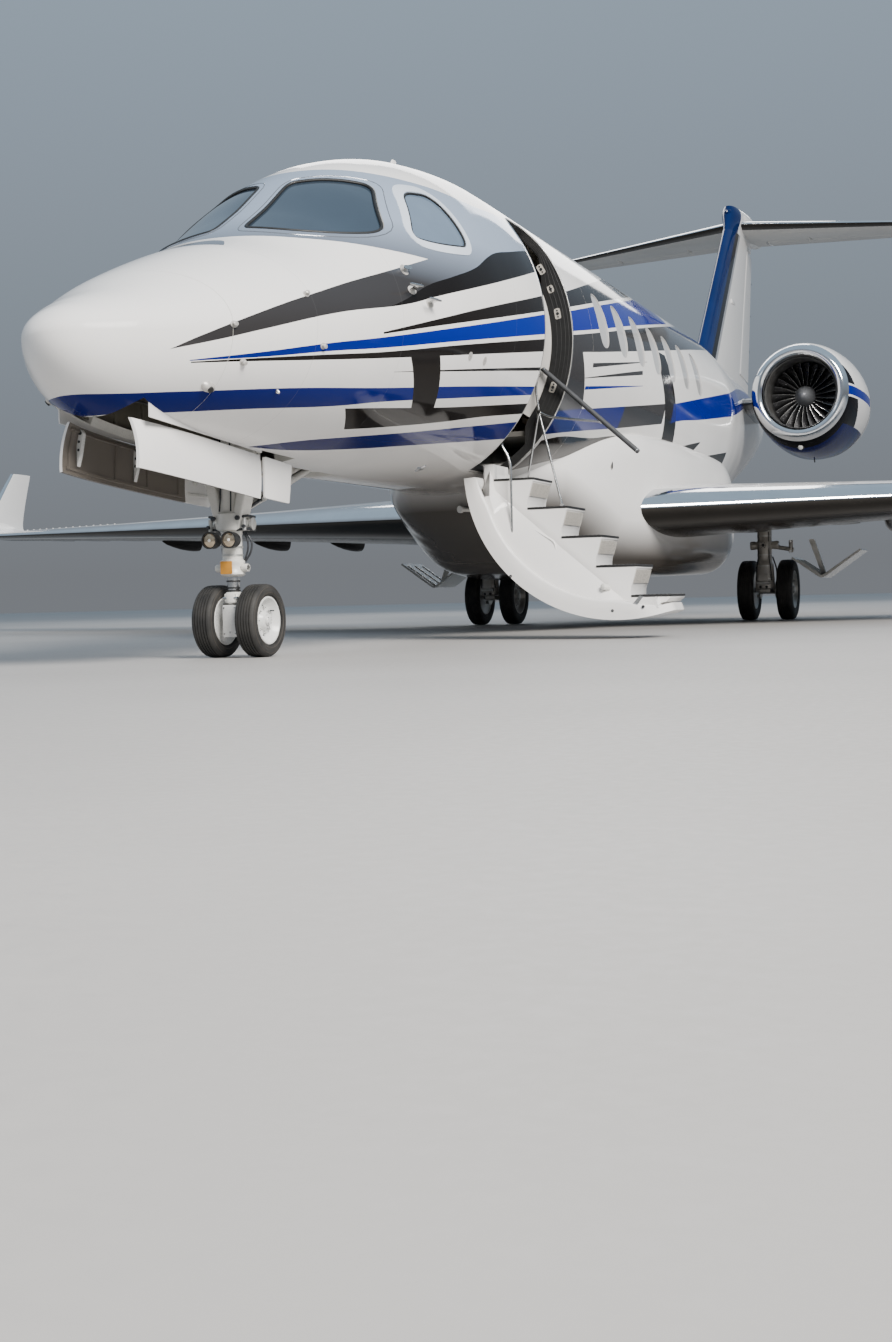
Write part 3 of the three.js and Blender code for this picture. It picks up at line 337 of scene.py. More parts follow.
FORWARD_DARK = [
    (
        [(2.09, 1.975), (2.67, 2.124), (3.38, 2.307), (4.62, 2.599)],
        [(2.09, 1.963), (2.67, 2.086), (3.38, 2.232), (4.65, 2.490)],
    ),
    (
        [(0.57, 1.633), (1.56, 1.777), (2.08, 1.853), (3.11, 2.029), (4.65, 2.282)],
        [(0.58, 1.628), (1.58, 1.750), (2.09, 1.818), (3.14, 1.968), (4.68, 2.193)],
    ),
    ([(2.31, 1.763), (3.20, 1.882), (4.69, 2.078)], [(2.31, 1.761), (3.20, 1.869), (4.69, 2.052)]),
    (
        [(1.98, 1.514), (2.38, 1.554), (3.19, 1.634), (3.79, 1.703), (4.53, 1.792)],
        [(1.98, 1.390), (2.50, 1.446), (3.35, 1.555), (3.92, 1.640), (4.64, 1.730)],
    ),
]
FORWARD_BLUE = [
    (
        [(0.57, 1.643), (0.99, 1.725), (1.54, 1.839), (2.05, 1.935), (3.08, 2.142), (4.64, 2.463)],
        [(0.57, 1.638), (1.00, 1.700), (1.56, 1.796), (2.07, 1.876), (3.10, 2.054), (4.64, 2.316)],
    ),
    (
        [
            (0.02, 1.452), (0.26, 1.454), (0.59, 1.484), (1.42, 1.576), (2.23, 1.658), (3.30, 1.782),
            (4.61, 1.927),
        ],
        [
            (0.02, 1.20), (0.25, 1.30), (0.40, 1.362), (0.61, 1.381), (1.15, 1.440), (1.86, 1.517),
            (2.33, 1.585), (3.39, 1.716), (4.68, 1.872),
        ],
    ),
    (
        [(1.59, 1.277), (1.91, 1.327), (2.36, 1.382), (2.92, 1.449), (3.71, 1.551), (4.66, 1.673)],
        [(1.59, 1.275), (1.93, 1.279), (2.56, 1.326), (3.11, 1.383), (3.93, 1.471), (4.90, 1.576)],
    ),
]


def stripe_masks(s, station, height, span, pairs, ends=()):
    """The share of a surface inside any of several stripes, each between its upper and lower edge."""
    found = None
    for (upper, lower), limits in zip(pairs, ends or [None] * len(pairs)):
        low, high = limits or (max(upper[0][0], lower[0][0]), min(upper[-1][0], lower[-1][0]) + 0.35)
        inside = s.sum(
            "MULTIPLY", below(s, station, height, span, upper), above(s, station, height, span, lower)
        )
        inside = s.sum("MULTIPLY", inside, between(s, station, low, high))
        found = inside if found is None else s.sum("MAXIMUM", found, inside)
    return found


def edge(s, station, span, table):
    """The height of a stripe's edge at a station, from a table of (station, height)."""
    node = s.add("ShaderNodeFloatCurve")
    node.mapping.extend = "EXTRAPOLATED"
    line = node.mapping.curves[0]
    rows = [((a - span[0]) / (span[1] - span[0]), b / 4) for a, b in table]
    while len(line.points) < len(rows):
        line.points.new(0.5, 0.5)
    for p, (a, b) in zip(line.points, rows):
        p.location = (a, b)
        p.handle_type = "AUTO_CLAMPED"
    node.mapping.use_clip = False
    node.mapping.update()
    share = s.sum("DIVIDE", s.sum("SUBTRACT", station, span[0]), span[1] - span[0])
    s.feed(node.inputs["Value"], share)
    return s.sum("MULTIPLY", node.outputs[0], 4.0)


def above(s, station, height, span, table):
    """A mask of what lies above a stripe's edge."""
    return s.sum("GREATER_THAN", height, edge(s, station, span, table))


def below(s, station, height, span, table):
    """A mask of what lies below a stripe's edge."""
    return s.sum("LESS_THAN", height, edge(s, station, span, table))


def between(s, value, low, high):
    """A mask of the values between two limits."""
    return s.sum("MULTIPLY", s.sum("GREATER_THAN", value, low), s.sum("LESS_THAN", value, high))


def either(s, *masks):
    """A mask of what any of the masks covers."""
    found = masks[0]
    for mask in masks[1:]:
        found = s.sum("MAXIMUM", found, mask)
    return found


def both(s, *masks):
    """A mask of what all the masks cover."""
    found = masks[0]
    for mask in masks[1:]:
        found = s.sum("MULTIPLY", found, mask)
    return found


# The mirror paint is this dark grey; the pale blue it turns to higher up is a painted reflection of the sky.
# The near-black is black paint, and also a painted reflection of the dark ground below the reflected horizon.
MIRROR_GREY = rgb(0.045, 0.043, 0.044)
MIRROR_SKY_REFLECTION = rgb(0.36, 0.43, 0.54)
MIRROR_DARK = rgb(0.010, 0.008, 0.007)


def livery(name, span, paint, seams=(), sky_reflection_from=2.36, sky_reflection_to=2.80):
    """Glossy paint over a fuselage piece, with painted shade underneath and a painted sky reflection on the
    mirror paint. paint(s, station, height, soft) gives the masks of each colour.
    """
    s = Shading(name)
    _, y, z = s.axes()
    station = s.sum("ADD", y, LENGTH / 2)
    soft = s.noise(1.3, 2)
    fine = s.noise(24, 2)
    white = s.mix(s.spread(soft, 0, 1), grade(WHITE, 0.975), grade(WHITE, 1.02))
    masks = paint(s, station, z, span)
    # Painted sky reflection: the mirror paint turns from its dark grey to pale blue higher up
    pale = s.mix(s.spread(z, 0, 1, sky_reflection_from, sky_reflection_to), MIRROR_GREY, MIRROR_SKY_REFLECTION)
    # Painted shade and painted reflection of the dark ground: the underside aft of the nose is darker
    aft = s.spread(station, 0, 1, 2.7, 4.4)
    under = s.mix(s.spread(z, 0, 1, 1.04, 1.26), rgb(0.09, 0.083, 0.076), rgb(0.36, 0.34, 0.32))
    under = s.mix(s.spread(z, 0, 1, 1.24, 1.50), under, white)
    colour = s.mix(aft, white, under)
    for key, tone in (
        ("mirror", pale), ("dark", MIRROR_DARK), ("blue", s.mix(s.spread(z, 0, 1, 1.3, 2.2), NAVY, BLUE))
    ):
        if key in masks:
            colour = s.mix(masks[key], colour, tone)
    for at in seams:
        colour = s.mix(
            s.sum("MULTIPLY", between(s, station, at - 0.0012, at + 0.0012), 0.35),
            colour,
            rgb(0.16, 0.16, 0.16),
        )
    s.set(Base_Color=colour)
    metal = s.sum("MULTIPLY", masks["mirror"], 0.35)
    s.set(Metallic=metal)
    s.set(Roughness=s.spread(fine, 0.05, 0.09))
    s.set(Specular_IOR_Level=0.09)
    s.bump(fine, 0.003)
    return s.material


def forward_paint(s, station, z, span):
    """The masks of the forward fuselage's stripes."""
    crown = below(s, station, z, span, MIRROR["crown"])
    mask = above(s, station, z, span, MIRROR["mask"])
    behind = s.sum("GREATER_THAN", station, 2.80)
    swoosh = both(
        s, below(s, station, z, span, MIRROR["swoosh_up"]), above(s, station, z, span, MIRROR["swoosh_low"]),
        between(s, station, 0.45, 2.81),
    )
    glazed = both(s, crown, mask, between(s, station, 1.45, 2.81))
    wide = both(s, crown, above(s, station, z, span, MIRROR["swoosh_low"]), behind)
    shade = both(s, wide, below(s, station, z, span, MIRROR["shade"]))
    shade = either(
        s,
        shade,
        both(s, swoosh, below(s, station, z, span, MIRROR["shade"]), s.sum("GREATER_THAN", station, 2.2)),
    )
    tip_cut = s.sum("GREATER_THAN", s.sum("ADD", station, s.sum("MULTIPLY", z, 1.97)), 4.975)
    dark = either(
        s, stripe_masks(s, station, z, span, FORWARD_DARK[:3]),
        both(s, tip_cut, stripe_masks(s, station, z, span, FORWARD_DARK[3:])),
    )
    lean = s.sum("ADD", station, s.sum("MULTIPLY", z, 1.11))
    lean_aft = s.sum("ADD", station, s.sum("MULTIPLY", z, 0.75))
    strap = both(
        s,
        s.sum("GREATER_THAN", lean, 4.552),
        s.sum("LESS_THAN", lean_aft, 4.308),
        s.sum("GREATER_THAN", z, 1.585),
        below(s, station, z, span, FORWARD_DARK[1][1]),
    )
    blue = stripe_masks(s, station, z, span, FORWARD_BLUE)
    return {
        "mirror": either(s, swoosh, glazed, wide), "dark": either(s, dark, shade, strap),
        "blue": s.sum("MULTIPLY", blue, s.sum("SUBTRACT", 1.0, strap)),
    }


AFT_DARK = (
    [(5.48, 2.789), (6.29, 2.986), (7.47, 3.258), (8.4, 3.47)], [(5.53, 2.672), (6.58, 2.889), (8.44, 3.260)]
)
AFT_BLUE = (
    [(5.53, 2.640), (6.58, 2.858), (8.44, 3.228), (9.6, 3.46)],
    [(5.45, 2.460), (6.27, 2.599), (7.48, 2.812), (10.06, 3.245), (11.4, 3.48)],
)
AFT_GREY = (
    [(5.45, 2.430), (6.27, 2.569), (7.48, 2.782), (10.06, 3.215), (11.9, 3.50)],
    [(5.45, 2.29), (5.73, 2.330), (6.20, 2.394), (7.92, 2.638), (11.22, 3.115), (12.0, 3.22)],
)
AFT_LOW = (
    [(5.45, 1.83), (5.64, 1.856), (6.47, 1.955), (8.47, 2.195), (8.9, 2.25)],
    [(5.45, 1.65), (5.92, 1.707), (7.28, 1.859), (8.64, 2.019), (9.0, 2.06)],
)
AFT_BLUE2 = (
    [(8.95, 2.246), (10.13, 2.423), (11.61, 2.642), (12.0, 2.70)],
    [(8.95, 2.05), (9.12, 2.083), (10.19, 2.204), (12.0, 2.42)],
)
DARTS = [
    ([(6.01, 2.277), (7.85, 2.526)], [(6.01, 2.240), (7.85, 2.522)]),
    ([(5.84, 2.137), (7.63, 2.414), (8.02, 2.47)], [(5.84, 2.131), (7.63, 2.375), (8.02, 2.43)]),
]
FACETS = [
    (
        [(5.45, 1.60), (5.80, 1.66), (6.60, 1.715), (7.28, 1.79), (8.94, 1.868)],
        [(5.45, 1.372), (6.34, 1.538), (7.60, 1.69), (8.94, 1.859)],
    ),
    (
        [(8.15, 1.745), (9.05, 1.808), (10.45, 1.99)],
        [(8.15, 1.735), (9.00, 1.531), (9.97, 1.744), (10.45, 1.98)],
    ),
    ([(10.55, 1.83), (12.0, 2.0)], [(10.55, 1.82), (11.0, 1.55), (12.0, 1.60)]),
]
BLUE_DART = ([(5.90, 2.075), (7.68, 2.281)], [(5.90, 2.045), (7.68, 2.277)])


def barrel_paint(s, station, z, span):
    """The masks of the cabin barrel's stripes."""
    dark = stripe_masks(s, station, z, span, [AFT_DARK], [(5.40, 8.75)])
    blue = stripe_masks(s, station, z, span, [AFT_BLUE, AFT_BLUE2], [(5.40, 9.95), (8.95, 12.35)])
    low = stripe_masks(s, station, z, span, [AFT_LOW], [(5.40, 8.62)])
    low_blue = both(s, low, s.sum("LESS_THAN", station, 7.2))
    grey = stripe_masks(s, station, z, span, [AFT_GREY])
    column_edge = s.sum("LESS_THAN", s.sum("ADD", station, s.sum("MULTIPLY", z, 0.69)), 7.306)
    column = both(
        s, column_edge, below(s, station, z, span, AFT_GREY[0]), above(s, station, z, span, AFT_LOW[0])
    )
    facets = stripe_masks(s, station, z, span, FACETS, [(5.46, 8.92), (8.16, 10.44), (10.56, 11.9)])
    lean = s.sum("MULTIPLY", s.sum("SUBTRACT", z, 2.42), -0.75)
    place = s.sum("SUBTRACT", station, lean)
    sweep = both(s, between(s, place, 8.42, 8.90), between(s, z, 1.75, 2.70))
    darts = stripe_masks(s, station, z, span, DARTS, [(6.01, 7.85), (5.84, 7.66)])
    blue_dart = stripe_masks(s, station, z, span, [BLUE_DART], [(5.90, 7.68)])
    mirror = either(s, grey, column, sweep, low, darts, facets)
    return {
        "mirror": mirror, "dark": either(s, dark, sweep, facets), "blue": either(s, blue, low_blue, blue_dart)
    }


forward_livery = livery("forward livery", (0.0, 5.2), forward_paint, (1.42, 2.33, 4.05))
barrel_livery = livery("barrel livery", (5.2, 12.2), barrel_paint, (7.55, 9.65), 2.9, 3.9)


# Meshes
def new_object(name, vertices, faces, material=None, smooth=True):
    """An object made of vertices and faces."""
    mesh = bpy.data.meshes.new(name)
    mesh.from_pydata([tuple(v) for v in vertices], [], [tuple(f) for f in faces])
    mesh.update()
    made = bpy.data.objects.new(name, mesh)
    bpy.context.scene.collection.objects.link(made)
    if material:
        for one in material if isinstance(material, (list, tuple)) else [material]:
            mesh.materials.append(one)
    if smooth:
        mesh.polygons.foreach_set("use_smooth", [True] * len(mesh.polygons))
    return made


def carry(made, body="root", stands_for=()):
    """Puts a piece on its body and the nodes that it stands for."""
    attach(made, body)
    if stands_for:
        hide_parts(*([stands_for] if isinstance(stands_for, str) else stands_for))
    return made


def angle_smooth(made, degrees=35):
    """Smooth shading with sharp edges where faces meet at more than an angle."""
    mesh = made.data
    bm = bmesh.new()
    bm.from_mesh(mesh)
    limit = math.radians(degrees)
    for e in bm.edges:
        e.smooth = len(e.link_faces) == 2 and e.calc_face_angle(0) < limit
    for f in bm.faces:
        f.smooth = True
    bm.to_mesh(mesh)
    bm.free()
    return made


def facing_out(made):
    """Turns a mesh's faces outwards."""
    bm = bmesh.new()
    bm.from_mesh(made.data)
    bmesh.ops.recalc_face_normals(bm, faces=bm.faces)
    bm.to_mesh(made.data)
    bm.free()
    return made


class Build:
    """Collects several closed shapes into one mesh, each face with a material's number."""

    def __init__(self):
        self.vertices = []
        self.faces = []
        self.materials = []

    def add(self, vertices, faces, material=0):
        """Adds vertices and faces, all of one material."""
        start = len(self.vertices)
        self.vertices += [tuple(v) for v in vertices]
        self.faces += [tuple(start + i for i in f) for f in faces]
        self.materials += [material] * len(faces)

    def loft(self, rings, material=0, closed=False, caps=True):
        """Joins rings of points with faces."""
        n = len(rings[0])
        vertices = [p for ring in rings for p in ring]
        faces = []
        spans = len(rings) if closed else len(rings) - 1
        for i in range(spans):
            a, b = i * n, ((i + 1) % len(rings)) * n
            for j in range(n):
                k = (j + 1) % n
                faces.append((a + j, a + k, b + k, b + j))
        if caps and not closed:
            faces.append(tuple(reversed(range(n))))
            last = (len(rings) - 1) * n
            faces.append(tuple(last + j for j in range(n)))
        self.add(vertices, faces, material)

    def tube(self, points, radius, sides=12, material=0, radii=None, closed=False):
        """A round tube along a line of points, mitred at each."""
        pts = [Vector(p) for p in points]
        n = len(pts)
        rings = []
        previous = None
        for i, p in enumerate(pts):
            a = pts[(i - 1) % n] if (closed or i) else None
            b = pts[(i + 1) % n] if (closed or i + 1 < n) else None
            d_in = (p - a).normalized() if a is not None else (b - p).normalized()
            d_out = (b - p).normalized() if b is not None else (p - a).normalized()
            tangent = (d_in + d_out).normalized()
            if previous is None:
                guide = Vector((0, 0, 1)) if abs(tangent.z) < 0.9 else Vector((1, 0, 0))
                u = tangent.cross(guide).normalized()
            else:
                u = (previous - tangent * previous.dot(tangent)).normalized()
            previous = u
            v = tangent.cross(u)
            cosine = max(0.5, math.cos(d_in.angle(d_out, 0) / 2))
            side = d_out - d_in
            r = radii[i] if radii else radius
            ring = []
            for j in range(sides):
                t = 2 * math.pi * j / sides
                out = u * math.cos(t) + v * math.sin(t)
                if side.length > 1e-6:
                    bend = side.normalized()
                    out = out + bend * out.dot(bend) * (1 / cosine - 1)
                ring.append(p + out * r)
            rings.append(ring)
        self.loft(rings, material, closed=closed)

    def revolve(self, profile, centre, along, sides=32, material=0, closed=False, start=0.0):
        """A body of revolution: (distance along the axis, radius) pairs about a line through centre."""
        axis = Vector(along).normalized()
        guide = Vector((0, 0, 1)) if abs(axis.z) < 0.9 else Vector((1, 0, 0))
        u = axis.cross(guide).normalized()
        v = axis.cross(u)
        rings = []
        for d, r in profile:
            rings.append(
                [
                    Vector(centre) + axis * d + (u * math.cos(t) + v * math.sin(t)) * max(r, 1e-4)
                    for t in [start + 2 * math.pi * j / sides for j in range(sides)]
                ]
            )
        self.loft(rings, material, closed=closed)

    def box(self, low, high, material=0, bevel=0.0):
        """A box between corners, whose edges can be chamfered."""
        bm = bmesh.new()
        bmesh.ops.create_cube(bm, size=1)
        for v in bm.verts:
            v.co = Vector([low[i] + (high[i] - low[i]) * (v.co[i] + 0.5) for i in range(3)])
        if bevel:
            bmesh.ops.bevel(bm, geom=list(bm.edges), offset=bevel, segments=2, profile=0.6, affect="EDGES")
        bm.verts.index_update()
        self.add([v.co.copy() for v in bm.verts], [[v.index for v in f.verts] for f in bm.faces], material)
        bm.free()

    def prism(self, outline, place, low, high, material=0, bevel=0.0):
        """An outline run between two values; place(a, b, t) gives the point."""
        bm = bmesh.new()
        first = [bm.verts.new(place(a, b, low)) for a, b in outline]
        last = [bm.verts.new(place(a, b, high)) for a, b in outline]
        bm.faces.new(first)
        bm.faces.new(list(reversed(last)))
        n = len(outline)
        for i in range(n):
            j = (i + 1) % n
            bm.faces.new((first[j], first[i], last[i], last[j]))
        bmesh.ops.recalc_face_normals(bm, faces=bm.faces)
        if bevel:
            bmesh.ops.bevel(
                bm,
                geom=list(bm.edges),
                offset=bevel,
                segments=2,
                profile=0.6,
                affect="EDGES",
                clamp_overlap=True,
            )
        bm.verts.index_update()
        self.add([v.co.copy() for v in bm.verts], [[v.index for v in f.verts] for f in bm.faces], material)
        bm.free()

    def ball(self, centre, radius, material=0, squash=(1, 1, 1), rows=10, sides=16):
        """A ball that can be squashed."""
        rings = []
        for i in range(1, rows):
            t = math.pi * i / rows
            rings.append(
                [
                    Vector(centre) + Vector(
                        (
                            radius * squash[0] * math.sin(t) * math.cos(a),
                            radius * squash[1] * math.sin(t) * math.sin(a), radius * squash[2] * math.cos(t),
                        )
                    )
                    for a in [2 * math.pi * j / sides for j in range(sides)]
                ]
            )
        self.loft(rings, material)

    def make(self, name, materials, degrees=35, turn=None):
        """Makes the object, smooth up to an angle."""
        made = new_object(name, self.vertices, self.faces, materials)
        made.data.polygons.foreach_set("material_index", self.materials)
        if turn is not None:
            made.data.transform(turn)
        facing_out(made)
        return angle_smooth(made, degrees)


def side_view(s, z, t):
    """A point of a side view's outline, moved sideways."""
    return Vector((t, Y(s), z))


def front_view(x, z, s):
    """A point of a front view's outline, at a station."""
    return P(x, s, z)


def rounded(outline, radius, steps=5):
    """An outline whose corners are rounded off by curves that start a distance from each."""
    out = []
    n = len(outline)
    for i in range(n):
        p, q, r = (np.array(outline[(i + k) % n], float) for k in (-1, 0, 1))
        take = radius if np.isscalar(radius) else radius[i]
        a = q + (p - q) * min(0.5, take / max(1e-9, np.linalg.norm(p - q)))
        b = q + (r - q) * min(0.5, take / max(1e-9, np.linalg.norm(r - q)))
        for k in range(steps + 1):
            t = k / steps
            out.append(tuple((1 - t) ** 2 * a + 2 * t * (1 - t) * q + t * t * b))
    return out


def subdivided(outline, longest, closed=True):
    """An outline whose long edges are divided."""
    out = []
    n = len(outline)
    for i in range(n if closed else n - 1):
        a, b = np.array(outline[i], float), np.array(outline[(i + 1) % n], float)
        parts = max(1, math.ceil(np.linalg.norm(b - a) / longest))
        for k in range(parts):
            out.append(tuple(a + (b - a) * k / parts))
    if not closed:
        out.append(tuple(outline[-1]))
    return out


def grown(outline, by):
    """An outline moved out along its own normals, or in if by is negative."""
    pts = np.array(outline, float)
    area = 0.5 * np.sum(pts[:, 0] * np.roll(pts[:, 1], -1) - np.roll(pts[:, 0], -1) * pts[:, 1])
    before, after = pts - np.roll(pts, 1, 0), np.roll(pts, -1, 0) - pts
    before /= np.maximum(1e-9, np.linalg.norm(before, axis=1))[:, None]
    after /= np.maximum(1e-9, np.linalg.norm(after, axis=1))[:, None]
    tangent = before + after
    tangent /= np.maximum(1e-9, np.linalg.norm(tangent, axis=1))[:, None]
    normal = np.stack([tangent[:, 1], -tangent[:, 0]], 1) * np.sign(area)
    return [tuple(p) for p in pts + normal * by]


# Fuselage: station, top, underside, half width and height of the widest point (mm)
FUSELAGE = np.array(
    [
        (0, 1750, 1750, 0, 1750), (25, 1813, 1662, 100, 1750), (80, 1870, 1560, 190, 1752),
        (250, 1955, 1430, 335, 1770),
        (500, 2060, 1340, 500, 1800), (900, 2250, 1285, 700, 1865), (1350, 2435, 1250, 840, 1930),
        (1750, 2580, 1230, 925, 1985),
        (2200, 2830, 1215, 995, 2050), (2700, 3165, 1205, 1055, 2150), (3200, 3390, 1200, 1120, 2250),
        (3800, 3540, 1200, 1165, 2330),
        (4500, 3608, 1200, 1183, 2400), (5200, 3614, 1200, 1183, 2407), (11800, 3614, 1200, 1183, 2407),
        (12600, 3600, 1235, 1130, 2420),
        (13400, 3575, 1330, 1040, 2460), (14400, 3550, 1500, 930, 2520), (15600, 3520, 1760, 800, 2620),
        (17000, 3470, 2080, 620, 2750),
        (18300, 3400, 2420, 420, 2880), (19400, 3280, 2740, 220, 3000), (19900, 3140, 2880, 100, 3020),
    ],
    float,
) / 1000
WALL = 0.07


def smooth_curve(xs, ys):
    """A smooth curve through points that never overshoots them."""
    n = len(xs)
    slope = np.diff(ys) / np.diff(xs)
    tangent = np.append(slope, slope[-1])
    for i in range(1, n - 1):
        a, b = slope[i - 1], slope[i]
        if a * b <= 0:
            tangent[i] = 0
            continue
        p, q = xs[i] - xs[i - 1], xs[i + 1] - xs[i]
        w, u = 2 * q + p, q + 2 * p
        tangent[i] = (w + u) / (w / a + u / b)

    def value(x):
        x = np.asarray(x, float)
        i = np.clip(np.searchsorted(xs, x, side="left") - 1, 0, n - 2)
        h = xs[i + 1] - xs[i]
        t = (x - xs[i]) / h
        return (
            (2 * t**3 - 3 * t**2 + 1) * ys[i]
            + (t**3 - 2 * t**2 + t) * h * tangent[i]
            + (3 * t**2 - 2 * t**3) * ys[i + 1]
            + (t**3 - t**2) * h * tangent[i + 1]
        )

    return value


HULL = [smooth_curve(FUSELAGE[:, 0], FUSELAGE[:, k]) for k in range(1, 5)]
BLUNT = 0.08


def hull_sizes(s):
    """Top, bottom, half width and height of the widest point, with a round tip of the nose."""
    s = np.asarray(s, float)
    top, bottom, half, wide = (f(np.maximum(s, 0)) for f in HULL)
    root = np.sqrt(np.clip(s, 0, BLUNT) / BLUNT)
    tip = s < BLUNT
    level = 1.750 + 0.002 * np.clip(s, 0, BLUNT) / BLUNT
    return (
        np.where(tip, level + 0.118 * root, top),
        np.where(tip, level - 0.192 * root, bottom),
        np.where(tip, 0.190 * root, half),
        np.where(tip, level, wide),
    )


def hull_points(s, a, inset=0.0):
    """Points of the hull at stations and angles, set in by inset."""
    s, a = np.broadcast_arrays(np.asarray(s, float), np.asarray(a, float))
    top, bottom, half, wide = hull_sizes(s)
    rise = np.maximum(0.0, np.where(np.sin(a) > 0, top - wide, wide - bottom) - inset)
    across = np.maximum(0.0, half - inset)
    return np.stack([across * np.cos(a), s - LENGTH / 2, wide + rise * np.sin(a)], -1)


def hull_normals(s, a):
    """Outward normals of the hull's surface."""
    s = np.asarray(s, float)
    step = np.minimum(0.004, 0.2 * s + 1e-5)
    down = hull_points(s + step, a) - hull_points(np.maximum(s - step, 1e-7), a)
    round_ = hull_points(s, a + 1e-3) - hull_points(s, a - 1e-3)
    n = np.cross(round_, down)
    size = np.linalg.norm(n, axis=-1, keepdims=True)
    n = np.where(size > 1e-12, n / np.maximum(size, 1e-12), np.array([0, -1.0, 0]))
    middle = hull_points(s, a) - np.stack([np.zeros_like(s), s - LENGTH / 2, hull_sizes(s)[3]], -1)
    flip = np.sum(n * middle, -1, keepdims=True) < 0
    return np.where(flip, -n, n)


def side_angle(s, z, hand):
    """The section angle of a point at a height, on one side."""
    top, bottom, _, wide = hull_sizes(s)
    rise = np.where(np.asarray(z) > wide, top - wide, wide - bottom)
    a = np.arcsin(np.clip((z - wide) / rise, -1, 1))
    return a if hand > 0 else -np.pi - a


def front_place(x, z):
    """Station and angle of the hull's point seen at x and z from ahead, where the hull widens aft."""
    low, high = 0.5, 4.4
    for _ in range(50):
        s = (low + high) / 2
        top, bottom, half, wide = (float(v) for v in hull_sizes(s))
        rise = top - wide if z > wide else wide - bottom
        outside = (x / half) ** 2 + ((z - wide) / rise) ** 2 > 1
        low, high = (s, high) if outside else (low, s)
    a = math.atan2((z - wide) / rise, x / half)
    if a > math.pi / 2:
        a -= 2 * math.pi
    return s, a


def inside(points, outline):
    """Which points lie in an outline."""
    poly = np.asarray(outline, float)
    x, y = points[:, 0], points[:, 1]
    found = np.zeros(len(points), bool)
    for (ax, ay), (bx, by) in zip(poly, np.roll(poly, -1, 0)):
        crosses = (ay > y) != (by > y)
        with np.errstate(divide="ignore", invalid="ignore"):
            found ^= crosses & (x < (bx - ax) * (y - ay) / (by - ay + 1e-30) + ax)
    return found


def near(points, outline, reach):
    """Which points lie within reach of an outline."""
    poly = np.asarray(outline, float)
    close = np.zeros(len(points), bool)
    for a, b in zip(poly, np.roll(poly, -1, 0)):
        d = b - a
        t = np.clip(((points - a) @ d) / max(1e-12, d @ d), 0, 1)
        close |= np.linalg.norm(points - (a + t[:, None] * d), axis=1) < reach
    return close


ROUND = 1.15  # metres of skin to a radian, so that the flat plan of the skin is near its real shape


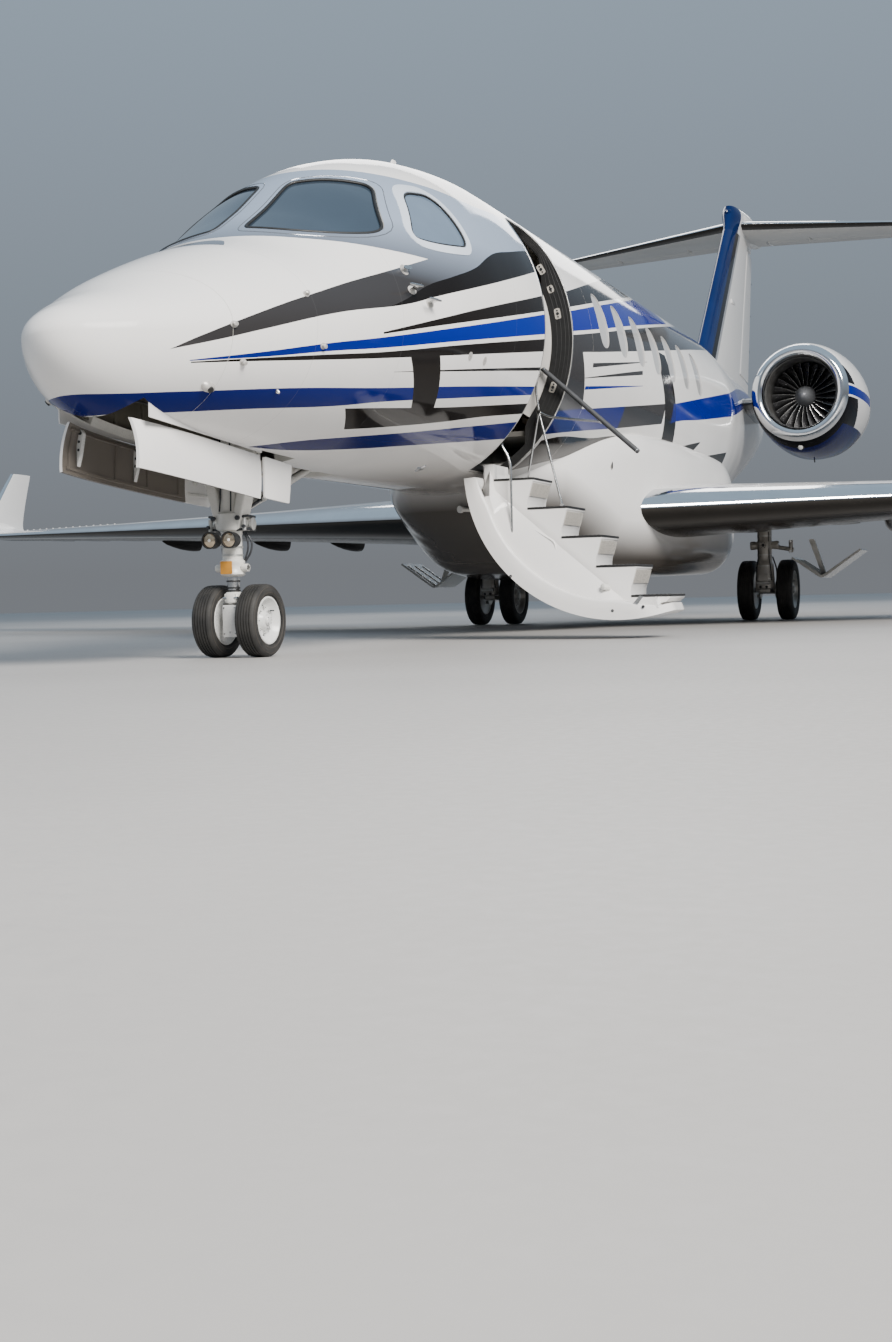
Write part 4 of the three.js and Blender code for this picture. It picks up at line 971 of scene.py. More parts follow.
def skin(
    name,
    stations,
    columns,
    holes,
    outer=0.0,
    inner=WALL,
    only=None,
    material=None,
    tip=False,
    wrap=True,
    angles=None,
):
    """A curved plate cut from the hull's skin: a flat plan of stations and angles is filled with
    triangles round its holes, laid on the hull at two depths and closed along every edge."""
    if angles is None:
        angles = np.linspace(-1.5 * np.pi, 0.5 * np.pi, columns + 1)
    plan = np.array([(s, a * ROUND) for s in stations for a in angles])
    gap = min(np.median(np.diff(stations)), (angles[1] - angles[0]) * ROUND)
    loops = [np.array([(s, a * ROUND) for s, a in hole]) for hole in holes]
    if only is not None:
        loop = np.array([(s, a * ROUND) for s, a in only])
        plan = plan[inside(plan, loop) & ~near(plan, loop, gap * 0.35)]
        loops = loops + [loop]
    for hole in loops[: len(holes)]:
        edge_row = (np.abs(plan[:, 0] - stations[0]) < 1e-9) | (np.abs(plan[:, 0] - stations[-1]) < 1e-9)
        plan = plan[~near(plan, hole, gap * 0.35) | (edge_row & ~near(plan, hole, 1e-5))]
    points = [Vector(p) for p in plan]
    lines = []
    for loop in loops:
        start = len(points)
        points += [Vector(p) for p in loop]
        lines += [(start + i, start + (i + 1) % len(loop)) for i in range(len(loop))]
    flat, _, faces, _, _, _ = delaunay_2d_cdt(points, lines, [], 0, 1e-7)
    flat = np.array([(p.x, p.y) for p in flat])
    faces = np.array([f for f in faces if len(f) == 3])
    middle = flat[faces].mean(1)
    keep = np.ones(len(faces), bool)
    for hole in loops[: len(holes)]:
        keep &= ~inside(middle, hole)
    if only is not None:
        keep &= inside(middle, loops[-1])
    faces = faces[keep]
    s, a = flat[:, 0], flat[:, 1] / ROUND
    merge = np.arange(len(flat))
    if wrap and only is None:
        first = {round(float(s[i]), 6): i for i in np.where(np.abs(a - angles[0]) < 1e-6)[0]}
        for i in np.where(np.abs(a - angles[-1]) < 1e-6)[0]:
            merge[i] = first.get(round(float(s[i]), 6), i)
    if tip:
        row = np.where(np.abs(s - stations[0]) < 1e-9)[0]
        merge[row] = row[0]
    faces = merge[faces]
    faces = faces[(faces[:, 0] != faces[:, 1]) & (faces[:, 1] != faces[:, 2]) & (faces[:, 0] != faces[:, 2])]
    used = np.unique(faces)
    index = np.full(len(flat), -1)
    index[used] = np.arange(len(used))
    faces = index[faces]
    s, a = s[used], a[used]
    normal = hull_normals(s, a)
    top = hull_points(s, a, outer)
    low = hull_points(s, a, inner)
    if tip:
        low = top - normal * inner
        low[:, 1] = np.minimum(low[:, 1], Y(stations[-1]))
    side = np.cross(top[faces[:, 1]] - top[faces[:, 0]], top[faces[:, 2]] - top[faces[:, 0]])
    turned = np.sum(side * normal[faces[:, 0]], 1) < 0
    faces[turned] = faces[turned][:, ::-1]
    n = len(used)
    pairs = {}
    for f in faces:
        for i in range(3):
            pairs[(int(f[i]), int(f[(i + 1) % 3]))] = True
    rim = [(p, q) for p, q in pairs if (q, p) not in pairs]
    mesh = bpy.data.meshes.new(name)
    all_faces = [tuple(map(int, f)) for f in faces] + [
        (int(f[0]) + n, int(f[2]) + n, int(f[1]) + n) for f in faces
    ]
    all_faces += [(q, p, p + n, q + n) for p, q in rim]
    mesh.from_pydata([tuple(p) for p in np.vstack([top, low])], [], all_faces)
    mesh.update()
    made = bpy.data.objects.new(name, mesh)
    bpy.context.scene.collection.objects.link(made)
    corner = []
    for f in faces:
        corner += [tuple(normal[i]) for i in f]
    for f in faces:
        corner += [tuple(-normal[i]) for i in (f[0], f[2], f[1])]
    every = np.vstack([top, low])
    for p, q in rim:
        c = np.cross(every[p] - every[q], every[p + n] - every[q])
        c = c / max(1e-12, np.linalg.norm(c))
        corner += [tuple(c)] * 4
    mesh.polygons.foreach_set("use_smooth", [True] * len(mesh.polygons))
    mesh.normals_split_custom_set(corner)
    if material:
        for one in material if isinstance(material, (list, tuple)) else [material]:
            mesh.materials.append(one)
        if len(mesh.materials) > 1:
            numbers = [0] * len(faces) + [1] * (len(faces) + len(rim))
            mesh.polygons.foreach_set("material_index", numbers)
    return made


STAIR = {"front": 4.690, "rear": 5.410, "hinge_x": 0.500, "hinge_z": 1.330, "top": 3.270, "swing": 115}
WINDSCREEN = [(0.100, 2.665), (0.095, 3.105), (0.330, 3.140), (0.585, 3.100), (0.840, 2.665), (0.585, 2.597)]
SIDE_WINDOW = [(3.045, 3.078), (3.350, 3.112), (3.412, 2.944), (3.424, 2.735), (3.012, 2.680), (2.740, 2.685)]
CABIN_WINDOW = {"first": 6.396, "pitch": 0.627, "count": 7, "wide": 0.310, "high": 0.470, "z": 2.690}


def screen_outline(hand, by=0.0):
    """A windscreen's outline as stations and angles, grown by a margin."""
    plain = subdivided(rounded(WINDSCREEN, [0.05, 0.06, 0.3, 0.09, 0.11, 0.3], 6), 0.03)
    return [front_place(x * hand, z) for x, z in (grown(plain, by) if by else plain)]


def side_outline(hand, by=0.0):
    """A flight deck side window's outline as stations and angles, grown by a margin."""
    plain = subdivided(rounded(SIDE_WINDOW, [0.12, 0.10, 0.10, 0.10, 0.3, 0.10], 6), 0.03)
    return [(s, float(side_angle(s, z, hand))) for s, z in (grown(plain, by) if by else plain)]


def cabin_outline(i, hand, by=0.0, sides=40):
    """A cabin window's outline as stations and angles, grown by a margin."""
    c = CABIN_WINDOW
    out = []
    for j in range(sides):
        t = 2 * math.pi * j / sides
        u, v = math.cos(t), math.sin(t)
        s = c["first"] + i * c["pitch"] + (c["wide"] / 2 + by) * math.copysign(abs(u) ** 0.8, u)
        z = c["z"] + (c["high"] / 2 + by) * math.copysign(abs(v) ** 0.8, v)
        out.append((s, float(side_angle(s, z, hand))))
    return out


def door_sides(gap):
    """The doorway in side view."""
    a, b, top, foot = STAIR["front"] + gap, STAIR["rear"] - gap, STAIR["top"] - gap, STAIR["hinge_z"] + gap
    r = 0.21
    out = [(a, foot), (b, foot)]
    for i in range(9):
        t = i * math.pi / 16
        out.append((b - r + r * math.cos(t), top - r + r * math.sin(t)))
    for i in range(8, -1, -1):
        t = i * math.pi / 16
        out.append((a + r - r * math.cos(t), top - r + r * math.sin(t)))
    return out


def door_outline(gap, longest=0.06):
    """The doorway's outline as stations and angles."""
    return [(s, float(side_angle(s, z, 1))) for s, z in subdivided(door_sides(gap), longest)]


def bay_outline(first, last):
    """The nose gear's bay and the slot aft of it, as far as they lie between two stations."""
    rows = []
    for low, high, half in ((0.45, 2.20, 0.290), (2.20, 3.12, 0.150)):
        a, b = max(low, first), min(high, last)
        if a >= b:
            continue
        for s in np.linspace(a, b, max(2, int((b - a) / 0.04))):
            rows.append((float(s), half))

    def edge_of(s, x):
        return -math.acos(min(1, x / float(hull_sizes(s)[2])))

    return [(s, edge_of(s, x)) for s, x in rows] + [(s, -math.pi - edge_of(s, x)) for s, x in reversed(rows)]


RADOME_END, FORWARD_END, BARREL_END, TAIL_END = 0.790, 6.000, 12.000, 19.900


def hull_pieces():
    """The skins of the radome, the forward fuselage and the cabin barrel."""
    tip = list(0.4 * np.linspace(0, 1, 26) ** 2)
    rows = sorted(set(np.round(tip + list(np.linspace(0.42, RADOME_END - 0.001, 14)), 6)))
    radome = skin(
        "radome_shell",
        rows,
        120,
        [bay_outline(0.4, rows[-1])],
        inner=0.02,
        material=[forward_livery, gear_paint],
        tip=True,
    )
    carry(radome, stands_for="radome")
    rows = np.linspace(RADOME_END + 0.001, FORWARD_END - 0.001, 118)
    holes = [bay_outline(rows[0], 3.2), door_outline(0.0)]
    for _, hand in SIDES:
        holes += [screen_outline(hand), side_outline(hand)]
    forward = skin("forward_fuselage_shell", rows, 132, holes, material=[forward_livery, gear_paint])
    forward.data.materials.append(barrel_livery)
    for face in forward.data.polygons:
        if face.material_index == 0 and face.center.y > Y(STAIR["rear"]):
            face.material_index = 2
    carry(forward, stands_for="forward_fuselage")
    rows = np.linspace(FORWARD_END + 0.001, BARREL_END - 0.001, 60)
    holes = [cabin_outline(i, hand) for _, hand in SIDES for i in range(CABIN_WINDOW["count"])]
    centre = skin("centre_fuselage_shell", rows, 120, holes, material=[barrel_livery, lining_cloth])
    carry(centre, stands_for="centre_fuselage")


hull_pieces()


def P(x, s, z):
    """A point from its distance to port, its station and its height."""
    return Vector((x, Y(s), z))


def skin_tube(build, outline, inset, radius, material=0, sides=8):
    """A thin tube that follows an outline on the hull."""
    s = np.array([p[0] for p in outline])
    a = np.array([p[1] for p in outline])
    build.tube([Vector(p) for p in hull_points(s, a, inset)], radius, sides, material, closed=True)


# Flight deck glazing
def glazing():
    for name, hand in SIDES:
        rows = np.arange(1.2, 3.7, 0.05)
        pane = skin(
            f"windscreen_pane_{name}",
            rows,
            132,
            [],
            outer=0.012,
            inner=0.024,
            only=screen_outline(hand, -0.003),
            material=windscreen_glass,
        )
        carry(pane, stands_for=f"windscreen_{name}")
        pane = skin(
            f"side_window_pane_{name}",
            rows,
            132,
            [],
            outer=0.012,
            inner=0.024,
            only=side_outline(hand, -0.003),
            material=side_glass,
        )
        carry(pane, stands_for=f"flight_deck_side_window_{name}")
        frame_plate = skin(
            f"side_window_frame_{name}",
            rows,
            132,
            [side_outline(hand, 0.002)],
            outer=-0.004,
            inner=0.003,
            only=side_outline(hand, 0.055),
            material=frame_paint,
        )
        carry(frame_plate)
        seals = Build()
        skin_tube(seals, screen_outline(hand, -0.008), 0.004, 0.011)
        skin_tube(seals, side_outline(hand, -0.006), 0.004, 0.007)
        carry(seals.make(f"window_seals_{name}", [black_rubber]))
        edge_bead = Build()
        skin_tube(edge_bead, screen_outline(hand, 0.030), 0.001, 0.004)
        carry(edge_bead.make(f"windscreen_frame_edge_{name}", [grey_paint]))


pale_seal = finish("pale window seal", rgb(0.42, 0.41, 0.40), 0.4, grain=14, shift=0.1, bump=0.05)
frame_paint = finish(
    "pale window frame", rgb(0.62, 0.68, 0.76), 0.12, grain=2, shift=0.03, bump=0.004, coat=0.4
)
glazing()


# Cabin windows and the lining round them
def cabin_sides():
    for name, hand in SIDES:
        rows = np.arange(6.10, 11.81, 0.15)
        low, high = [float(side_angle(9.0, z, hand)) for z in (1.760, 3.150)]
        region = [(6.12, low), (11.78, low), (11.78, high), (6.12, high)]
        if hand < 0:
            region = region[::-1]
        region = subdivided(region, 0.2)
        holes = [cabin_outline(i, hand, -0.012) for i in range(CABIN_WINDOW["count"])]
        lining = skin(
            f"cabin_lining_{name}",
            rows,
            72,
            holes,
            outer=0.074,
            inner=0.090,
            only=region,
            material=lining_cloth,
        )
        carry(lining, stands_for=f"cabin_sidewall_{name}")
        panes = []
        trim = Build()
        for i in range(CABIN_WINDOW["count"]):
            middle = CABIN_WINDOW["first"] + i * CABIN_WINDOW["pitch"]
            pane = skin(
                f"pane_{name}_{i}",
                np.arange(middle - 0.2, middle + 0.201, 0.05),
                120,
                [],
                outer=0.009,
                inner=0.019,
                only=cabin_outline(i, hand, -0.004),
                material=cabin_glass,
            )
            panes.append(pane)
            skin_tube(trim, cabin_outline(i, hand, -0.003), 0.005, 0.005, 0)
            for offset, inset in ((0.0, 0.030), (-0.006, 0.070)):
                skin_tube(trim, cabin_outline(i, hand, -0.010 + offset), inset, 0.010, 1)
        joined = join(panes, f"cabin_window_panes_{name}")
        carry(joined)
        carry(trim.make(f"cabin_window_trim_{name}", [pale_seal, lining_cloth]))


def join(objects, name):
    """One object from several, whose meshes keep their own shading."""
    for o in bpy.context.view_layer.objects:
        o.select_set(False)
    for o in objects:
        o.select_set(True)
    bpy.context.view_layer.objects.active = objects[0]
    bpy.ops.object.join()
    objects[0].name = name
    objects[0].data.name = name
    return objects[0]


cabin_sides()


jamb_trim = finish("doorway trim", rgb(0.52, 0.50, 0.47), 0.35, grain=4, shift=0.06, bump=0.03)


# Doorway: the stepped jamb behind the skin, its rubber seals and latch plates
def doorway():
    base = subdivided(door_sides(0.0), 0.04)
    n = len(base)

    def at(offset):
        plan = grown(base, offset)
        s = np.array([p[0] for p in plan])
        a = np.array([float(side_angle(p[0], p[1], 1)) for p in plan])
        return s, a

    height = np.array([p[1] for p in base])
    shallow = 1 - 0.64 * np.clip((height - 2.88) / 0.24, 0, 1) - 0.88 * np.clip((1.62 - height) / 0.14, 0, 1)

    def rings(section):
        cols = []
        for depth, offset in section:
            s, a = at(offset)
            cols.append(hull_points(s, a, depth * shallow if depth > 0.1 else depth))
        cols = np.array(cols)
        return [[Vector(p) for p in cols[:, i]] for i in range(n)]

    jamb = Build()
    jamb.loft(
        rings(
            [
                (0.003, -0.005), (0.003, -0.0008), (0.072, -0.0008), (0.072, 0.03), (0.176, 0.03),
                (0.176, -0.005),
            ]
        ),
        0,
        closed=True,
    )
    trim = rings(
        [(0.178, 0.03), (0.300, 0.03), (0.300, -0.032), (0.280, -0.038), (0.230, -0.034), (0.178, -0.012)]
    )
    upright = [i for i in range(n) if 1.68 < base[i][1] < 2.86]
    for aft in (True, False):
        run = [trim[i] for i in upright if (base[i][0] > 5.05) == aft]
        run.sort(key=lambda ring: ring[0].z)
        jamb.loft(run, 1)
    for depth in (0.03, 0.06, 0.095, 0.13):
        s, a = at(-0.004)
        jamb.tube([Vector(p) for p in hull_points(s, a, depth * shallow)], 0.0032, 6, 0, closed=True)
    carry(jamb.make("doorway_jamb", [black_rubber, jamb_trim], 40))

    edge_strip = Build()
    s, a = at(0.006)
    edge_strip.tube([Vector(p) for p in hull_points(s, a, -0.001)], 0.0035, 8, 0, closed=True)
    carry(edge_strip.make("doorway_edge", [steel]))

    plates = Build()
    for z, wide, high in ((3.02, 0.05, 0.085), (2.84, 0.05, 0.06), (2.62, 0.05, 0.085), (1.98, 0.05, 0.085)):
        a = float(side_angle(5.4, z, 1))
        out = Vector((math.cos(a), 0, math.sin(a)))
        up = Vector((-math.sin(a), 0, math.cos(a)))
        centre = Vector(hull_points(5.4075, a, 0.105))
        shape = rounded(
            [(-wide / 2, -high / 2), (wide / 2, -high / 2), (wide / 2, high / 2), (-wide / 2, high / 2)],
            0.016,
            5,
        )
        plates.prism(shape, lambda u, v, t: centre + out * u + up * v + Vector((0, t, 0)), -0.005, 0.001, 0)
        for v in (-0.3, 0.3):
            plates.revolve(
                [(-0.0075, 0.0001), (-0.0075, 0.007), (-0.0045, 0.008), (-0.004, 0.0001)],
                centre + up * high * v,
                (0, 1, 0),
                12,
                1,
            )
        plates.revolve(
            [(-0.006, 0.0001), (-0.006, 0.013), (-0.003, 0.014), (-0.003, 0.0001)], centre, (0, 1, 0), 16, 1
        )
    carry(plates.make("doorway_latch_plates", [bare_plate, dark_metal]))


doorway()


def arc_path(points, radius, steps=6):
    """A line of points whose corners are rounded off."""
    pts = [Vector(p) for p in points]
    out = [pts[0]]
    for a, b, c in zip(pts, pts[1:], pts[2:]):
        take = min(radius, (b - a).length / 2, (c - b).length / 2)
        p, q = b + (a - b).normalized() * take, b + (c - b).normalized() * take
        for k in range(steps + 1):
            t = k / steps
            out.append(p * (1 - t) ** 2 + b * 2 * t * (1 - t) + q * t * t)
    return out + [pts[-1]]


# Airstair
def swung():
    """The turn that brings what is drawn closed, in the barrel's side, to the open position."""
    hinge = Matrix.Translation((STAIR["hinge_x"], 0, STAIR["hinge_z"]))
    return hinge @ Matrix.Rotation(math.radians(STAIR["swing"]), 4, "Y") @ hinge.inverted()


TREADS = {"count": 5, "x": 0.680, "z": 1.260, "run": 0.272, "drop": 0.233, "front": 4.850, "rear": 5.330}


def tread_corner(i):
    """The inboard top corner of a tread."""
    return TREADS["x"] + TREADS["run"] * i, TREADS["z"] - TREADS["drop"] * i


def stair_livery():
    """The stripes of the fuselage carried over the door's skin, drawn where it lies when shut."""
    s = Shading("airstair skin livery")
    turn = s.add("ShaderNodeVectorRotate", rotation_type="Y_AXIS")
    s.feed(turn.inputs["Vector"], s.place)
    turn.inputs["Center"].default_value = (STAIR["hinge_x"], 0, STAIR["hinge_z"])
    turn.inputs["Angle"].default_value = -math.radians(STAIR["swing"])
    s.place = turn.outputs[0]
    _, y, z = s.axes()
    station = s.sum("ADD", y, LENGTH / 2)
    masks = forward_paint(s, station, z, (0.0, 5.6))
    # Painted sky reflection: the mirror paint turns from its dark grey to pale blue higher up
    pale = s.mix(s.spread(z, 0, 1, 2.36, 2.80), MIRROR_GREY, MIRROR_SKY_REFLECTION)
    colour = s.mix(masks["mirror"], s.mix(s.spread(s.noise(1.3), 0, 1), grade(WHITE, 0.97), WHITE), pale)
    colour = s.mix(masks["dark"], colour, MIRROR_DARK)
    colour = s.mix(masks["blue"], colour, BLUE)
    s.set(
        Base_Color=colour,
        Metallic=s.sum("MULTIPLY", masks["mirror"], 0.35),
        Roughness=s.spread(s.noise(24), 0.05, 0.09),
    )
    s.set(Specular_IOR_Level=0.09)
    return s.material


def airstair():
    skin_plate = skin(
        "airstair_skin",
        np.arange(4.6, 5.5, 0.05),
        120,
        [],
        outer=0.002,
        inner=0.040,
        only=door_outline(0.015, 0.04),
        material=[stair_livery(), white_paint],
    )
    skin_plate.data.transform(swung())
    parts = [skin_plate]

    # Flange all round the skin's edge
    base = subdivided(door_sides(0.015), 0.04)
    n = len(base)

    def at(offset, depth):
        plan = grown(base, offset)
        s = np.array([p[0] for p in plan])
        a = np.array([float(side_angle(u, v, 1)) for u, v in plan])
        height = np.array([p[1] for p in base])
        less = np.maximum(
            0.78 * np.clip((height - 2.92) / 0.28, 0, 1) ** 1.3, 0.42 * np.clip((1.50 - height) / 0.14, 0, 1)
        )
        return hull_points(s, a, 0.041 + (depth - 0.041) * (1 - less) if depth > 0.05 else depth)

    flange = Build()
    section = [
        (0.0015, 0.0008), (0.006, 0.0010), (0.060, 0.0010), (0.130, 0.0008), (0.143, -0.004), (0.150, -0.015),
        (0.150, -0.034), (0.143, -0.046), (0.130, -0.051), (0.062, -0.051), (0.0405, -0.075),
        (0.0405, 0.0008),
    ]
    cols = np.array([at(o, d) for d, o in section])
    flange.loft([[Vector(p) for p in cols[:, i]] for i in range(n)], 0, closed=True)
    flange_mesh = flange.make("airstair_flange", [white_paint], 40, swung())
    parts.append(flange_mesh)

    # Pan: its sides slope from the flanges to a crease under the treads, then rise straight to the
    # treads as a saw-tooth web
    pan = Build()
    centre = (1.712, 1.328)
    steps = 30
    rings = []
    for i in range(steps + 1):
        t = i / steps
        angle = math.radians(-169 + t * 94)
        r = 1.052
        ax, az = centre[0] + r * math.cos(angle), centre[1] + r * math.sin(angle)
        u = 0.03 + 0.97 * t
        bx = 0.610 + u * 1.34
        bz = max(
            1.245 - (bx - 0.610) * 0.857, centre[1] - math.sqrt(max(0, 1.052**2 - (bx - centre[0]) ** 2))
        )
        low = 1.135
        cx, cz = centre[0] + low * math.cos(angle), centre[1] + low * math.sin(angle)
        rings.append(
            [
                P(cx, 4.752, cz), P(ax, 4.752, az), P(bx, 4.853, bz), P(bx, 5.327, bz), P(ax, 5.352, az),
                P(cx, 5.352, cz),
            ]
        )
    pan.loft(rings, 0)
    outline = []
    for i in range(TREADS["count"]):
        x, z = tread_corner(i)
        if i == 0:
            outline.append((x - 0.075, z - 0.004))
        nose = 0.326 if i + 1 < TREADS["count"] else 0.306
        outline += [(x, z - 0.004), (x + nose, z - 0.004), (x + nose, z - 0.026)]
        if i + 1 < TREADS["count"]:
            outline += [
                (x + 0.316, z - 0.036), (x + 0.283, z - 0.150), (x + 0.276, z - 0.172), (x + 0.272, z - 0.20)
            ]
        else:
            outline += [(x + 0.275, z - 0.055), (x + 0.19, z - 0.072)]
    outline += [(1.90, 0.222), (1.75, 0.232), (0.605, 1.192)]
    pan.prism(outline, front_view, TREADS["front"], TREADS["rear"], 0, 0.004)
    pan.box((0.575, Y(4.90), 1.250), (0.655, Y(5.29), 1.385), 0, 0.012)
    pan.box((0.600, Y(4.858), 1.240), (0.685, Y(4.93), 1.380), 0, 0.010)
    # Ribs that show as creases on the sloping side
    pan.tube(
        arc_path(
            [P(0.64, 4.848, 1.08), P(1.17, 4.846, 0.755), P(1.20, 4.842, 0.60), P(1.72, 4.846, 0.262)], 0.03
        ),
        0.009,
        10,
    )
    pan_mesh = pan.make("airstair_pan", [white_paint], 38)
    parts.append(pan_mesh)
    body = join(parts, "airstair_body")
    carry(body, "airstair", "airstair")

    treads = Build()
    for i in range(TREADS["count"]):
        x, z = tread_corner(i)
        nose = 0.331 if i + 1 < TREADS["count"] else 0.311
        treads.box((x + 0.002, Y(4.846), z - 0.016), (x + nose, Y(5.334), z + 0.002), 0, 0.004)
        for k in range(9):
            treads.box(
                (x + 0.03 + 0.032 * k, Y(4.87), z + 0.001), (x + 0.044 + 0.032 * k, Y(5.31), z + 0.0045), 1,
                0.001,
            )
    carry(treads.make("airstair_treads", [black_rubber, tread_mat], 30), "airstair")

    plates = Build()
    for i in range(TREADS["count"] - 1):
        x, z = tread_corner(i)
        shape = [
            (x + 0.3175, z - 0.040), (x + 0.2885, z - 0.140), (x + 0.2925, z - 0.141), (x + 0.3215, z - 0.041)
        ]
        plates.prism(shape, front_view, 4.868, 5.312, 0)
    plates.prism(
        [(1.862, 0.262), (1.905, 0.318), (1.875, 0.324), (1.828, 0.272)], front_view, 4.700, 4.7045, 1
    )
    carry(plates.make("airstair_kick_plates", [bare_plate, steel], 30), "airstair")

    fittings = Build()
    for x, z in ((0.855, 0.497), (1.662, 0.214), (1.900, 0.240)):
        fittings.revolve(
            [(0.0012, 0.0001), (-0.0015, 0.006), (-0.0015, 0.0115), (0.004, 0.0125)],
            P(x, 4.7036, z),
            (0, 1, 0),
            16,
            0,
        )
    fittings.revolve(
        [(0.0, 0.0001), (0.0, 0.020), (0.006, 0.024), (0.070, 0.024), (0.076, 0.016), (0.080, 0.0001)],
        P(1.600, 4.845, 0.385),
        (-0.6, -1.0, 0.25),
        16,
        1,
    )
    carry(fittings.make("airstair_fittings", [dark_metal, gear_paint], 35), "airstair")


airstair()


def handrail():
    """The folding handrail, and the stay ahead of the steps."""
    s = 5.345
    at = lambda x, z: P(x, s, z)
    rails = Build()
    foot = (1.085, 1.060)
    rails.tube(
        arc_path([at(*foot), at(0.905, 1.820), at(0.880, 2.025), at(0.925, 2.160), at(0.95, 2.157)], 0.06),
        0.0095,
        12,
        0,
    )
    rails.tube(arc_path([at(0.905, 1.820), at(0.990, 1.775), at(1.420, 1.710)], 0.07), 0.0095, 12, 0)
    rails.tube([at(0.905, 1.820), at(0.800, 1.300)], 0.0095, 12, 0)
    rails.revolve(
        [(-0.016, 0.0001), (-0.016, 0.017), (0.016, 0.017), (0.016, 0.0001)], at(0.905, 1.820), (0, 1, 0), 14,
        0,
    )
    rails.revolve(
        [(0.0, 0.0001), (0.0, 0.016), (0.024, 0.016), (0.025, 0.0001)], P(foot[0], 5.331, foot[1]), (0, 1, 0),
        14, 0,
    )
    rails.revolve(
        [(-0.012, 0.0001), (-0.012, 0.014), (0.012, 0.014), (0.012, 0.0001)], at(1.420, 1.710), (0, 1, 0), 14,
        0,
    )
    a, b = at(0.940, 2.165), at(1.725, 1.452)
    along = (b - a).normalized()
    length = (b - a).length
    rails.revolve(
        [
            (0.0, 0.0001), (0.002, 0.014), (0.010, 0.0195), (0.016, 0.020), (length - 0.016, 0.020),
            (length - 0.010, 0.0195), (length - 0.002, 0.014), (length, 0.0001),
        ],
        a,
        along,
        20,
        1,
    )
    for share in (0.02, 0.98):
        rails.revolve(
            [(-0.004, 0.0206), (0.004, 0.0206), (0.004, 0.0190), (-0.004, 0.0190)],
            a + along * length * share,
            along,
            20,
            0,
            closed=True,
        )
    carry(
        rails.make("handrail", [steel, grey_plastic], 35), "airstair_handrail", "airstair_handrail",
    )
    stay = Build()
    q = lambda x, z: P(x, 4.790, z)
    stay.tube(arc_path([q(0.845, 0.720), q(0.845, 1.400), q(0.765, 1.530)], 0.09), 0.0105, 12, 0)
    for x, z in ((0.845, 0.722), (0.768, 1.525)):
        stay.revolve(
            [(-0.013, 0.0001), (-0.013, 0.016), (0.013, 0.016), (0.013, 0.0001)], q(x, z), (0, 1, 0), 14, 0
        )
    carry(stay.make("stair_stay", [steel], 35), "airstair_stay", "airstair_stay")


handrail()


def flipped(build):
    """The same shapes on the starboard side."""
    other = Build()
    other.vertices = [(-x, y, z) for x, y, z in build.vertices]
    other.faces = [tuple(reversed(f)) for f in build.faces]
    other.materials = list(build.materials)
    return other


def on_both_sides(name, build, materials, body="root", nodes=(), degrees=35):
    """Carries a port shape and its mirror image; body and nodes may end in a side's name."""
    made = []
    for side, one in (("port", build), ("starboard", flipped(build))):
        o = one.make(f"{name}_{side}", materials, degrees)
        place = body.replace("SIDE", side)
        carry(o, place, tuple(n.replace("SIDE", side) for n in nodes))
        made.append(o)
    return made


# Lifting surfaces: half span, leading edge, height, chord and thickness (mm), then the section's
# lean (degrees)
WING = np.array(
    [
        (600, 7349, 1117, 4450, 540, 0), (1200, 7659, 1135, 4080, 520, 0), (3700, 8953, 1212, 2660, 350, 0),
        (6700, 10505, 1304, 1900, 225, 0),
        (9500, 11955, 1390, 1190, 130, 2), (9820, 12145, 1425, 1080, 112, 25),
        (10010, 12340, 1560, 950, 95, 60), (10070, 12640, 1850, 780, 75, 80),
        (10109, 13170, 2390, 480, 42, 82),
    ],
    float,
)
WING[:, :5] /= 1000
# Inner end, outer end and the hinge line's share of the chord
SURFACES = {
    "inboard_flap": (2.850, 4.700, 0.72), "outboard_flap": (4.800, 6.480, 0.72),
    "aileron": (6.600, 9.180, 0.74),
}


def half_thick(f, thick):
    """Half a section's thickness at a share of its chord."""
    return 5 * (
        0.2969 * np.sqrt(f) - 0.126 * f - 0.3516 * f**2 + 0.2843 * f**3 - 0.1036 * f**4
    ) * thick + 0.003 * f


def hinge_at(chord, thick, share, camber=0.05):
    """A hinge's distance aft, height and radius in a section."""
    h = camber * thick * math.sin(math.pi * share)
    return share * chord, h, 0.96 * float(half_thick(share, thick))


def wing_row(x):
    """The wing's row of values at a half span, winglet left out."""
    return np.array([np.interp(x, WING[:5, 0], WING[:5, k]) for k in range(6)])


NOSE_STEPS, TAIL_STEPS, POLISHED_STEPS = 22, 9, 8


def section_points(chord, thick, camber, cut=None, share=0.7):
    """A closed section as (distance aft, height) pairs, upper side first. A cut section ends in a
    flat face."""
    nose = share * (1 - np.cos(np.linspace(0, 1, NOSE_STEPS) * math.pi / 2)) ** 1.15
    tail = np.linspace(share, 1, TAIL_STEPS + 1)[1:]
    f = np.concatenate([nose, tail])
    up = camber * thick * np.sin(np.pi * f) + half_thick(f, thick)
    low = camber * thick * np.sin(np.pi * f) - half_thick(f, thick)
    d = f * chord
    if cut:
        k = NOSE_STEPS - 1
        t = np.linspace(0, 1, TAIL_STEPS + 1)[1:]
        middle = (up[k] + low[k]) / 2
        d[k + 1 :] = d[k]
        up = np.concatenate([up[: k + 1], up[k] + (middle + 0.0015 - up[k]) * t])
        low = np.concatenate([low[: k + 1], low[k] + (middle - 0.0015 - low[k]) * t])
    upper = list(zip(d, up))
    lower = list(zip(d, low))
    return upper + lower[:0:-1]


